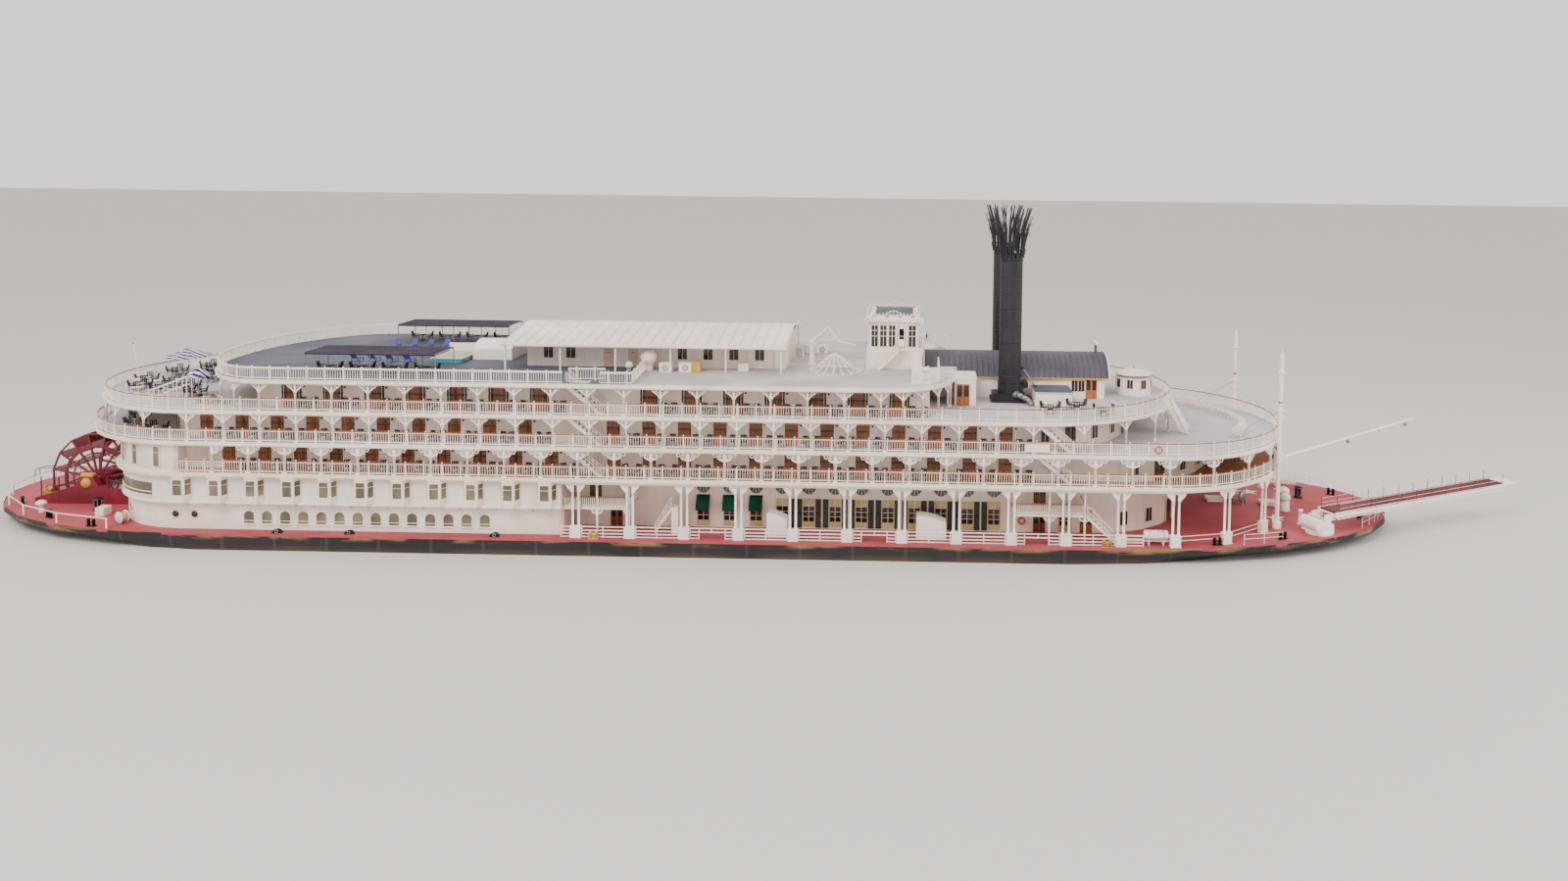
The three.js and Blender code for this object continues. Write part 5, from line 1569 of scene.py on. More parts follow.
    def curved_wall(self, shape: Shape) -> None:
        """Portholes, tall windows and doors round the aft ends, by place along each wall."""
        porthole = self.porthole()
        tall = Shape("tall_window")
        tall.block((-0.033, -0.004, 0.030), (0.033, 0.003, 0.205), CREAM, 0.001)
        tall.block((-0.026, -0.006, 0.036), (0.026, -0.002, 0.198), HOUSE_GLASS)
        tall.block((-0.026, -0.0075, 0.150), (0.026, -0.002, 0.153), WHITE)
        leaf = MidshipsWall().door(MAHOGANY_DARK)
        for plan, floor, item, turns in (
                (LOWER_HOUSE, MAIN, porthole, (20, 45)),
                (AFT_LOUNGE, DECK_3, tall, (12, 30, 46, 62, 80)),
                (CABINS_4, DECK_4, leaf, (20, 50)),
                (CABINS_5, DECK_5, leaf, (20,))):
            end = plan.stern
            for side in BOTH:
                for degrees in turns:
                    angle = math.radians(degrees)
                    x = end.tip + end.run - end.run * math.cos(angle)
                    y = side * (end.flat + (plan.half - end.flat) * math.sin(angle))
                    slope = math.atan2(side * (plan.half - end.flat) * math.cos(angle),
                                       end.run * math.sin(angle))
                    outward = slope + (math.pi if side > 0 else 0.0)
                    shape.repeat(item, [at(x, y, floor, outward)])
        for side in BOTH:
            bend = [p for p in UPPER_HOUSE.raised(MEZZANINE, 0.0, 24) if p.y * side > 0
                    and -4.86 < p.x < -4.34]
            for section, finish in (
                    ([(-0.002, 0.030), (0.004, 0.030), (0.004, 0.150), (-0.002, 0.150)], CREAM),
                    ([(0.003, 0.038), (0.006, 0.038), (0.006, 0.142), (0.003, 0.142)], HOUSE_GLASS),
                    ([(0.004, 0.062), (0.012, 0.062), (0.012, 0.069), (0.004, 0.069)], WHITE),
                    ([(0.003, 0.024), (0.014, 0.024), (0.014, 0.031), (0.003, 0.031)], WHITE)):
                shape.sweep(section, bend, finish)
        for plan, floor in ((AFT_LOUNGE, DECK_3), (UPPER_HOUSE, MEZZANINE), (LOWER_HOUSE, MAIN)):
            shape.repeat(leaf, [at(plan.stern.tip, 0.0, floor, -math.pi / 2)])


@dataclass
class SternWheel:
    """Bolts, irons and bearing covers of the paddle wheel and its girders."""

    centre: Point = (-5.390, 0.0, 0.590)
    radius: float = 0.430
    half: float = 0.450
    boards: int = 16

    def wheel(self) -> Shape:
        """Hub plates and rings, bolts of the boards and sleeve of the shaft, which turn with the wheel."""
        shape = Shape("wheel_irons")
        cx, _, cz = self.centre
        for y in (-0.425, 0.425):
            shape.turned([(0, -0.014), (0.070, -0.014), (0.074, -0.008), (0.074, 0.008), (0.070, 0.014),
                          (0, 0.014)],
                         (cx, y, cz), CRIMSON, 18, (0, 1, 0))
            shape.ring((cx, y, cz), 0.235, 0.007, CRIMSON, (0, 1, 0), 24, 4)
        for i in range(self.boards):
            angle = (i + 0.5) / self.boards * 2 * math.pi
            out = Vector((math.cos(angle), 0, math.sin(angle)))
            along = Vector((-out.z, 0, out.x))
            for y in (-0.425, -0.14, 0.14, 0.425):
                for reach in (0.345, 0.395):
                    spot = Vector((cx, y, cz)) + out * reach
                    shape.rod(spot - along * 0.011, spot + along * 0.011, 0.0045, IRON, 6)
        shape.rod((cx, -0.452, cz), (cx, 0.452, cz), 0.030, CRIMSON, 12)
        return shape

    def girders(self) -> Shape:
        """Handrails, ochre covers and stiffeners of the girders."""
        shape = Shape("wheel_girder_fittings")
        cx, _, cz = self.centre
        for side in BOTH:
            y = side * 0.560
            for edge in (side * 0.533, side * 0.587):
                path = [Vector((-5.850, edge, 0.646)), Vector((-5.850, edge, 0.700)),
                        Vector((-5.800, edge, 0.722)),
                        Vector((-5.120, edge, 0.722)), Vector((-5.050, edge, 0.705)),
                        Vector((-5.040, edge, 0.646))]
                for a, b in zip(path, path[1:]):
                    shape.rod(a, b, 0.0035, CRIMSON, 5)
                for x in (-5.66, -5.48, -5.30):
                    shape.rod((x, edge, 0.645), (x, edge, 0.722), 0.003, CRIMSON, 5)
            shape.turned([(0, -0.030), (0.040, -0.028), (0.046, -0.014), (0.046, 0.030), (0, 0.030)],
                         (cx, y + side * 0.018, cz), OCHRE, 14, (0, -side, 0))
            shape.block((cx - 0.060, y - 0.030, 0.640), (cx + 0.060, y + 0.030, 0.672), OCHRE, 0.008)
            for x in (-5.80, -5.64, -5.20, -5.04):
                shape.block((x - 0.004, side * 0.5885 - 0.003, 0.420),
                            (x + 0.004, side * 0.5885 + 0.004, 0.640), CRIMSON)
            for x in (-5.72, -5.12):
                shape.ring((x, side * 0.591, 0.540), 0.030, 0.004, CRIMSON, (0, 1, 0), 12, 4)
            shape.rod((-4.95, y, 0.640), (-4.62, side * 0.62, 0.440), 0.010, CRIMSON, 8)
        return shape

    def build(self) -> None:
        """The turning irons and the fixed fittings."""
        self.wheel().make("wheel_red", "paddlewheel")
        self.girders().make("wheel_red")


class SternDeck:
    """Vent, hose reel, bitts, fairleads and boxes of the stern of the main deck."""

    def bitts(self, finish: Finish) -> Shape:
        """A pair of mooring posts on a base, along X."""
        shape = Shape("bitts")
        shape.block((-0.042, -0.015, 0.0005), (0.042, 0.015, 0.007), finish, 0.001)
        for x in (-0.024, 0.024):
            shape.turned([(0, 0.006), (0.012, 0.006), (0.012, 0.052), (0.0155, 0.055), (0.0155, 0.060),
                          (0.010, 0.064),
                          (0, 0.065)], (x, 0, 0), finish, 10)
        shape.rod((-0.040, 0, 0.034), (0.040, 0, 0.034), 0.005, finish, 6)
        return shape

    def mushroom(self) -> Shape:
        """White mushroom vent."""
        shape = Shape("mushroom")
        shape.turned([(0, 0.0005), (0.026, 0.0005), (0.022, 0.006), (0.020, 0.070), (0.044, 0.072),
                      (0.046, 0.082),
                      (0.036, 0.096), (0.018, 0.105), (0, 0.108)], (0, 0, 0), WHITE, 14)
        return shape

    def reel(self) -> Shape:
        """Hose reel on two legs, with the hose wound on it; axis along Y."""
        shape = Shape("reel")
        for y in (-0.030, 0.030):
            shape.turned([(0, -0.002), (0.048, -0.002), (0.050, 0.0), (0.048, 0.002), (0, 0.002)],
                         (0, y, 0.058), WALL, 16,
                         (0, 1, 0))
            shape.ring((0, y, 0.058), 0.047, 0.003, CREAM, (0, 1, 0), 16, 4)
            for x in (-0.030, 0.030):
                shape.rod((x, y, 0.0005), (0, y, 0.058), 0.003, STEEL, 5)
        shape.turned([(0, -0.026), (0.036, -0.026), (0.036, 0.026), (0, 0.026)], (0, 0, 0.058), AMBER, 16,
                     (0, 1, 0))
        return shape

    def fairlead(self) -> Shape:
        """Black half-dome fairlead at the deck edge; it looks to -Y."""
        shape = Shape("fairlead")
        dome = [(0.040 * math.cos(a), 0.034 * math.sin(a)) for a in (i / 8 * math.pi for i in range(9))]
        shape.plate(upright([(x, z + 0.0005) for x, z in dome], -0.016), (0, 0.030, 0), IRON)
        shape.ring((0, -0.016, 0.016), 0.012, 0.004, STEEL, (0, 1, 0), 10, 4)
        return shape

    def build(self) -> None:
        """Places the fittings."""
        shape = Shape("stern_fittings")
        mushroom, reel, bitts, fairlead = self.mushroom(), self.reel(), self.bitts(IRON), self.fairlead()
        shape.repeat(mushroom, [at(-5.601, side * 0.852, MAIN) for side in BOTH])
        shape.repeat(reel, [at(-4.700, side * 1.120, MAIN, side * 0.35) for side in BOTH])
        shape.repeat(bitts, [at(x, side * y, MAIN, side * turn) for side in BOTH
                             for x, y, turn in ((-5.95, 0.62, 0.9), (-5.42, 1.00, 0.45),
                                                (-4.90, 1.215, 0.12))])
        shape.repeat(fairlead,
                     [on_side(side, x, 1.305, MAIN) for side in BOTH for x in (-3.267, -2.663, -1.448)])
        for side in BOTH:
            shape.block((-5.06, side * 0.90 - 0.05, MAIN + 0.0005), (-4.98, side * 0.90 + 0.05, MAIN + 0.075),
                        WHITE, 0.003)
            shape.block((-6.02, side * 0.24 - 0.05, MAIN + 0.0005), (-5.94, side * 0.24 + 0.05, MAIN + 0.045),
                        OCHRE, 0.003)
        shape.make()


@dataclass
class AftTerraces:
    """Furniture, flag staff, life rings, white steps and sunshades of the aft terraces."""

    shades: tuple[tuple[float, float, float], ...] = ((-4.240, -0.763, 0.112), (-4.972, 0.248, 0.205))
    shade_low: float = 0.180
    shade_high: float = 0.256

    def sunshade(self, name: str, x: float, y: float, radius: float) -> None:
        """Striped sunshade of eight panels."""
        bm = bmesh.new()
        sides, rings = 8, 4
        for k in range(sides):
            corner = [Vector((math.cos(a), math.sin(a), 0))
                      for a in (2 * math.pi * (k + j) / sides for j in (0, 1))]
            grid = []
            for i in range(rings + 1):
                t = 0.04 + 0.96 * i / rings
                row = []
                for j in range(5):
                    spot = corner[0].lerp(corner[1], j / 4) * radius * t
                    edge = 0.006 * math.sin(j / 4 * math.pi) * t
                    drop = self.shade_high - (self.shade_high - self.shade_low) * t - edge
                    row.append(bm.verts.new((x + spot.x, y + spot.y, DECK_5 + drop)))
                grid.append(row)
            for upper, lower in zip(grid, grid[1:]):
                for a, b, c, d in zip(upper, upper[1:], lower[1:], lower):
                    bm.faces.new((a, b, c, d))
        bmesh.ops.remove_doubles(bm, verts=bm.verts[:], dist=1e-5)
        bmesh.ops.recalc_face_normals(bm, faces=bm.faces[:])
        area = sum(face.calc_area() for face in bm.faces)
        shade = sheet_piece(name, bm, STRIPED, 0.0008)

    def build(self) -> None:
        """Furniture on decks 4 and 5, sunshades, steps with their rail, staff and rings."""
        shape = Shape("terrace_furniture")
        furniture = Furniture()
        chair, table = furniture.chair(IRON), furniture.table(WHITE, 0.030)
        lounger, ring = furniture.lounger(), furniture.life_ring()
        for side in BOTH:
            for x, y in ((-4.98, 0.45), (-4.80, 0.78), (-4.45, 1.02)):
                shape.repeat(table, [at(x, side * y, DECK_4)])
                for turn in (0.3, 2.4, 4.4):
                    shape.repeat(chair,
                                 [at(x + 0.062 * math.cos(turn), side * y + 0.062 * math.sin(turn), DECK_4,
                                            turn - math.pi / 2)])
            for x, y in ((-5.06, 0.22), (-4.92, 0.52), (-4.66, 0.62), (-4.76, 0.28), (-4.48, 0.52),
                         (-4.27, 0.76),
                         (-4.52, 0.10)):
                shape.repeat(table, [at(x, side * y, DECK_5)])
                for turn in (0.3, 1.9, 3.5, 5.0):
                    shape.repeat(chair,
                                 [at(x + 0.066 * math.cos(turn), side * y + 0.066 * math.sin(turn), DECK_5,
                                            turn - math.pi / 2)])
            for x, y, turn in ((-4.02, 1.06, 0.0), (-3.86, 1.08, 0.1)):
                shape.repeat(lounger, [at(x, side * y, DECK_5, side * turn + math.pi)])
            shape.repeat(ring,
                         [on_side(side, -3.55, 0.985, DECK_5 + 0.128),
                          on_side(side, -4.10, 1.108, DECK_4 + 0.195)])
        for x, y, radius in self.shades:
            shape.rod((x, y, DECK_5 + 0.0005), (x, y, DECK_5 + self.shade_high + 0.010), 0.0035, STEEL, 6)
            shape.turned([(0, 0.0005), (0.034, 0.0005), (0.030, 0.010), (0.008, 0.014), (0, 0.014)],
                         (x, y, DECK_5),
                         IRON, 12)
            for k in range(8):
                a = 2 * math.pi * k / 8
                tip = (x + radius * 0.985 * math.cos(a), y + radius * 0.985 * math.sin(a))
                shape.rod((x, y, DECK_5 + self.shade_high - 0.006), (*tip, DECK_5 + self.shade_low - 0.001),
                          0.0014,
                          STEEL, 4)
        for x, y in ((-4.889, -0.375), (-5.084, -0.309), (-4.828, -0.686)):
            shape.repeat(furniture.table(CREAM, 0.045), [at(x, y, DECK_5)])
        for off in (-0.93, -0.86):
            shape.rod((-4.568, off, DECK_5 + 0.075), (-4.238, off, DECK_5 + 0.198), 0.006, WHITE, 6)
            for t in (0.0, 0.25, 0.5, 0.75, 1.0):
                x = -4.568 + 0.330 * t
                shape.rod((x, off, DECK_5 + 0.0005), (x, off, DECK_5 + 0.075 + 0.123 * t), 0.004, WHITE, 5)
        for i in range(6):
            x = -4.54 + 0.055 * i
            shape.block((x - 0.018, -0.925, DECK_5 + 0.010 + 0.022 * i),
                        (x + 0.018, -0.865, DECK_5 + 0.016 + 0.022 * i),
                        WHITE)
        shape.rod((-5.285, 0, DECK_5 + 0.001), (-5.330, 0, DECK_5 + 0.330), 0.006, WHITE, 6, 0.003)
        shape.ball((-5.331, 0, DECK_5 + 0.335), 0.008, GOLD, (1, 1, 1), 8)
        shape.make()
        for i, (x, y, radius) in enumerate(self.shades, 1):
            self.sunshade(f"striped_sunshade_{i}", x, y, radius)


# ---------------------------------------------------------------- stacks, pilothouse and roof


@dataclass
class Stacks:
    """Seams, crown, base and vent box of the two stacks."""

    x: float = 2.870
    y: float = 0.435
    foot: float = 1.590
    radius: float = 0.100
    tube: float = 1.155
    tines: int = 12

    def stack(self, side: int) -> Shape:
        """Plate seams, collars and curled tine ornaments that fold with the stack.

        The seams stand wider than real ones, which would not show at this scale.
        """
        shape = Shape(f"stack_trim_{'port' if side > 0 else 'starboard'}")
        y = side * self.y
        for i in range(8):
            z = self.foot + 0.075 + i * 0.145
            # The lighter grey seam ring is a painted highlight on the lap of the plates.
            shape.ring((self.x, y, z), self.radius + 0.0006, 0.0024, SEAM_HIGHLIGHT, (0, 0, 1), 28, 4)
            shape.ring((self.x, y, z + 0.007), self.radius + 0.0002, 0.0015, STACK, (0, 0, 1), 28, 4)
        for z, thick in ((self.foot + 0.020, 0.006), (self.foot + self.tube - 0.050, 0.004),
                         (self.foot + self.tube - 0.004, 0.006)):
            shape.ring((self.x, y, z), self.radius + 0.002, thick, STACK, (0, 0, 1), 28, 5)
        for i in range(self.tines):
            angle = (i + 0.5) / self.tines * 2 * math.pi
            out = Vector((math.cos(angle), math.sin(angle), 0))
            spot = Vector((self.x, y, self.foot + self.tube + 0.020)) + out * (self.radius + 0.010)
            tangent = (-out.y, out.x, 0)
            shape.ring(spot + Vector((0, 0, 0.020)), 0.013, 0.0028, STACK, tangent, 10, 4)
            shape.ring(spot + Vector((0, 0, -0.012)), 0.009, 0.0025, STACK, tangent, 8, 4)
            shape.ball(spot + out * 0.012 + Vector((0, 0, 0.002)), 0.005, STACK, (1, 1, 1), 6)
            between = math.pi / self.tines
            for off, reach, high, lean in ((between, 0.075, 3.060, 0.012),
                                           (between * 0.35, 0.050, 2.960, -0.010)):
                way = Vector((math.cos(angle + off), math.sin(angle + off), 0))
                base = self.foot + self.tube - 0.030
                stem = [Vector((self.x, y, base + (high - base) * t)) + way
                        * (self.radius + 0.002 + reach * t * t)
                        for t in (0.0, 0.35, 0.62, 0.85, 1.0)]
                for k, (a, b) in enumerate(zip(stem, stem[1:])):
                    shape.rod(a, b, 0.011 - 0.0022 * k, STACK, 5, 0.0088 - 0.0022 * k)
                shape.rod(stem[-1], stem[-1] + way * lean + Vector((0, 0, 0.030)), 0.004, STACK, 4, 0.001)
                shape.ring(stem[3] + way * 0.010, 0.009, 0.0024, STACK, (-way.y, way.x, 0), 8, 4)
        return shape

    def fixed(self) -> Shape:
        """Vent box, pipe and porch of each side, and the bands and bolts at the foot of its stack."""
        shape = Shape("stack_surrounds")
        for side in BOTH:
            y = side * self.y
            low, high = sorted((side * 0.345, side * 0.690))
            shape.block((3.070, low - 0.005, 1.548), (3.405, high + 0.005, 1.560), SLATE_ROOF, 0.002)
            shape.block((3.073, low - 0.002, 1.4305), (3.402, high + 0.002, 1.548), WHITE, 0.006)
            for face in (low - 0.004, high + 0.001):
                shape.block((3.11, face, 1.450), (3.20, face + 0.003, 1.535), CREAM, 0.001)
            for z in (1.456, 1.500):
                shape.block((2.712, y - 0.108, z), (3.003, y + 0.108, z + 0.005), STACK)
            for x in (2.745, 2.97):
                for off in (-0.090, 0.090):
                    shape.rod((x, y + off, 1.505), (x, y + off, 1.516), 0.007, STACK, 6)
            path = [(2.905, side * 0.562, 1.508), (2.925, side * 0.585, 1.516), (2.965, side * 0.615, 1.505),
                    (3.010, side * 0.640, 1.486), (3.038, side * 0.652, 1.462), (3.044, side * 0.655, 1.431)]
            for a, b in zip(path, path[1:]):
                shape.rod(a, b, 0.023, STEEL, 10)
                shape.ball(b, 0.0231, STEEL, (1, 1, 1), 10)
            shape.ball(path[0], 0.0231, STEEL, (1, 1, 1), 10)
            inner, outer = sorted((side * 0.535, side * 0.560))
            shape.block((2.905, inner, 1.490), (2.945, outer, 1.535), STEEL, 0.003)
            self.companion(shape, side)
        return shape

    def companion(self, shape: Shape, side: int) -> None:
        """Small white porch with brown doors under the fore end of the roof deck."""
        low, high = sorted((side * 0.330, side * 0.690))
        shape.block((2.372, low, 1.4305), (2.560, high, 1.668), WHITE, 0.002)
        shape.block((2.366, low - 0.004, 1.664), (2.568, high + 0.004, 1.674), CREAM, 0.001)
        shape.repeat(MidshipsWall().door(MAHOGANY, 0.056, 0.190), [on_side(side, 2.446, 0.690, DECK_5)])

    def build(self) -> None:
        """Trim that folds, and fixtures that stay."""
        for side, name in ((-1, "starboard"), (1, "port")):
            self.stack(side).make("stack_black", f"stack_{name}")
        self.fixed().make()


@dataclass
class Pilothouse:
    """Windows, ovals, crest, ornaments and wing fittings of the pilothouse and the texas house."""

    aft: float = 1.605
    fore: float = 2.050
    half: float = 0.360
    sill: float = 1.884
    head: float = 2.085
    roof: float = 2.110

    def windows(self) -> Shape:
        """White muntins and glass in the openings of the front, back and sides."""
        shape = Shape("pilothouse_windows")
        z0, z1 = self.sill, self.head
        for start, length in ((1.628, 0.062), (1.706, 0.062), (1.784, 0.062), (1.962, 0.068)):
            for side in BOTH:
                y = side * (self.half - 0.007)
                shape.block((start - 0.001, y - 0.0015, z0 - 0.001),
                            (start + length + 0.001, y + 0.0015, z1 + 0.001), PANE)
                for x in (start, start + length / 2, start + length):
                    shape.block((x - 0.0022, y - 0.006, z0), (x + 0.0022, y + 0.006, z1), WHITE)
                for z in (z0 + 0.002, (z0 + z1) / 2, z1 - 0.050, z1 - 0.002):
                    shape.block((start, y - 0.006, z - 0.0022), (start + length, y + 0.006, z + 0.0022),
                                WHITE)
        for i in range(6):
            low = -0.336 + i * 0.114
            for x in (self.aft + 0.007, self.fore - 0.007):
                shape.block((x - 0.0015, low - 0.001, z0 - 0.001), (x + 0.0015, low + 0.103, z1 + 0.001),
                            PANE)
                for y in (low, low + 0.051, low + 0.102):
                    shape.block((x - 0.006, y - 0.0022, z0), (x + 0.006, y + 0.0022, z1), WHITE)
                for z in (z0 + 0.002, z1 - 0.050, z1 - 0.002):
                    shape.block((x - 0.006, low, z - 0.0022), (x + 0.006, low + 0.102, z + 0.0022), WHITE)
        return shape

    def cornice(self) -> Shape:
        """Beaded cornice, gold ovals, filigree crest and corner scrolls; it stands over the roof node."""
        shape = Shape("pilothouse_crest")
        low, over = self.roof + 0.0003, 0.022
        box_low = (self.aft - over, -self.half - over)
        box_high = (self.fore + over, self.half + over)
        for grow, z0, z1 in ((0.000, low, low + 0.006), (0.006, low + 0.006, low + 0.014),
                             (0.002, low + 0.014, low + 0.028),
                             (0.008, low + 0.028, low + 0.036)):
            shape.block((box_low[0] - grow, box_low[1] - grow, z0),
                        (box_high[0] + grow, box_high[1] + grow, z1), WHITE, 0.001)
        shape.block((self.aft, -self.half, low + 0.034), (self.fore, self.half, low + 0.050), CREAM, 0.002)
        shape.block((self.aft + 0.05, -self.half + 0.05, low + 0.048),
                    (self.fore - 0.05, self.half - 0.05, low + 0.062),
                    SLATE_ROOF, 0.006)
        corners = [(self.aft - 0.012, -self.half - 0.012), (self.fore + 0.012, -self.half - 0.012),
                   (self.fore + 0.012, self.half + 0.012), (self.aft - 0.012, self.half + 0.012)]
        for (x0, y0), (x1, y1) in zip(corners, corners[1:] + corners[:1]):
            a, b = Vector((x0, y0, 0)), Vector((x1, y1, 0))
            length, along = (b - a).length, (b - a).normalized()
            heading = math.atan2(along.y, along.x)
            lace = self.lace(length)
            shape.repeat(lace, [at(x0, y0, low + 0.036, heading)])
            count = 4 if length < 0.6 else 6
            oval = Shape("oval")
            oval.ball((0, -0.0015, 0), 0.020, GOLD, (1.0, 0.35, 0.42), 12)
            oval.ring((0, -0.003, 0), 0.021, 0.0018, WHITE, (0, 1, 0), 14, 4)
            for k in range(count):
                spot = a + along * (length * (k + 0.5) / count)
                shape.repeat(oval, [at(spot.x, spot.y, low + 0.052, heading)])
            scroll = Shape("scroll")
            scroll.ring((-0.020, 0, -0.016), 0.014, 0.003, WHITE, (0, 1, 0), 10, 4)
            scroll.ring((-0.010, 0, 0.010), 0.010, 0.003, WHITE, (0, 1, 0), 10, 4)
            scroll.plate(upright([(0.0, 0.030), (-0.040, 0.026), (-0.030, -0.002), (-0.006, -0.050),
                                  (0.0, -0.050)], -0.003),
                         (0, 0.006, 0), WHITE)
            shape.repeat(scroll, [at(x0, y0, low + 0.010, heading)])
            shape.repeat(scroll, [at(x1, y1, low + 0.010, heading + math.pi)])
        return shape

    def lace(self, length: float) -> Shape:
        """Filigree crest along a length of the cornice, rising to its middle."""
        shape = Shape("lace")
        base = [(0.0, 0.0), (length, 0.0), (length, 0.010), (length * 0.97, 0.018), (length * 0.03, 0.018),
                (0.0, 0.010)]
        shape.plate(upright(base, -0.004), (0, 0.008, 0), WHITE)
        count = max(7, round(length / 0.034) | 1)
        for k in range(count):
            t = (k + 0.5) / count
            rise = 0.030 + 0.032 * math.exp(-((t - 0.5) / 0.16) ** 2) + 0.012 * (abs(t - 0.5) > 0.42)
            x = t * length
            shape.ring((x, 0, 0.026), 0.011, 0.0026, WHITE, (0, 1, 0), 8, 4)
            shape.rod((x, 0, 0.016), (x, 0, rise + 0.008), 0.0026, WHITE, 4, 0.001)
            shape.ball((x, 0, rise + 0.010), 0.0042, WHITE, (1, 0.7, 1.2), 5)
        arch = bowed((length * 0.34, 0.036), (length * 0.66, 0.036), 0.030, 8)
        for a, b in zip(arch, arch[1:]):
            shape.rod((a[0], 0, a[1]), (b[0], 0, b[1]), 0.003, WHITE, 4)
        return shape

    def texas(self) -> Shape:
        """Panelled texas wall, wing rails, searchlights, filigree panels and the small stairs."""
        shape = Shape("wing_fittings")
        top = 1.712
        for side in BOTH:
            y = side * 0.400
            for i in range(4):
                x = 1.612 + i * 0.092
                shape.block((x, min(y, y + side * 0.004), 1.716),
                            (x + 0.078, max(y, y + side * 0.004), 1.800), WHITE, 0.001)
                shape.block((x, min(y, y + side * 0.004), 1.812),
                            (x + 0.078, max(y, y + side * 0.004), 1.866), CREAM, 0.001)
            route = [(2.003, 0.700), (2.003, 1.072), (2.144, 1.072), (2.232, 0.956), (2.232, 0.420)]
            for (x0, y0), (x1, y1) in zip(route, route[1:]):
                for lift in (0.030, 0.062):
                    shape.rod((x0, side * y0, top + lift), (x1, side * y1, top + lift), 0.0032, WHITE, 5)
                length = math.hypot(x1 - x0, y1 - y0)
                for k in range(1, max(2, round(length / 0.085))):
                    t = k / max(2, round(length / 0.085))
                    x, yy = x0 + (x1 - x0) * t, side * (y0 + (y1 - y0) * t)
                    shape.rod((x, yy, top + 0.0005), (x, yy, top + 0.098), 0.0028, WHITE, 5)
            shape.turned([(0, 0.0), (0.014, 0.0), (0.010, 0.012), (0.010, 0.052), (0, 0.052)],
                         (2.110, side * 1.030, top + 0.0005),
                         WHITE, 10)
            shape.turned([(0, -0.030), (0.016, -0.028), (0.026, -0.010), (0.030, 0.022), (0.034, 0.024),
                          (0.034, 0.030),
                          (0, 0.030)], (2.110, side * 1.030, top + 0.085), WHITE, 14,
                         (0.95, side * -0.25, 0.05))
            shape.rod((2.1420, side * 1.0215, top + 0.0866), (2.1425, side * 1.0213, top + 0.0867), 0.029,
                      PANE, 14)
            self.filigree(shape, side)
            self.stair(shape, side)
        return shape

    def filigree(self, shape: Shape, side: int) -> None:
        """Open frame with rings for its scrolls, ahead of the wing."""
        x0, x1, y = 2.244, 2.372, side * 0.955
        for z in (1.700, 1.812):
            shape.block((x0, y - 0.003, z - 0.004), (x1, y + 0.003, z + 0.004), WHITE)
        for x in (x0, x1):
            shape.block((x - 0.003, y - 0.003, 1.6925), (x + 0.003, y + 0.003, 1.816), WHITE)
        for i in range(3):
            for j in range(2):
                centre = (x0 + 0.022 + i * 0.042, y, 1.732 + j * 0.048)
                shape.ring(centre, 0.018, 0.0026, WHITE, (0, 1, 0), 10, 4)
                shape.ring(centre, 0.008, 0.0022, WHITE, (0, 1, 0), 8, 4)

    def stair(self, shape: Shape, side: int) -> None:
        """Small stair from the roof deck to the pilothouse door."""
        foot, head, rise = 1.690, 1.880, 1.880 - ROOF
        low, high = sorted((side * 0.408, side * 0.478))
        for i in range(7):
            x = foot + (head - foot) * (i + 0.5) / 7
            z = ROOF + rise * (i + 1) / 7
            shape.block((x - 0.013, low, z - 0.010), (x + 0.013, high, z - 0.004), WHITE)
        for y in (low, high):
            shape.plate(upright([(foot, ROOF + 0.001), (foot + 0.02, ROOF + 0.001),
                                 (head, ROOF + rise - 0.026),
                                 (head, ROOF + rise - 0.003), (foot, ROOF + 0.024)], y - 0.0015),
                        (0, 0.003, 0), WHITE)
        outer = side * 0.478
        shape.rod((foot, outer, ROOF + 0.075), (head, outer, ROOF + rise + 0.075), 0.0028, WHITE, 5)
        for t in (0.03, 0.5, 0.97):
            x = foot + (head - foot) * t
            shape.rod((x, outer, ROOF + rise * t + 0.004), (x, outer, ROOF + rise * t + 0.077), 0.0026, WHITE,
                      5)
        shape.block((head, low, ROOF + rise - 0.010), (1.952, high, ROOF + rise - 0.003), WHITE)
        shape.rod((1.948, outer, ROOF + 0.0005), (1.948, outer, ROOF + rise - 0.008), 0.004, WHITE, 6)

    def build(self) -> None:
        """Windows, crest and texas fittings."""
        self.windows().make()
        self.cornice().make(replaces=("pilothouse_roof",))
        self.texas().make()


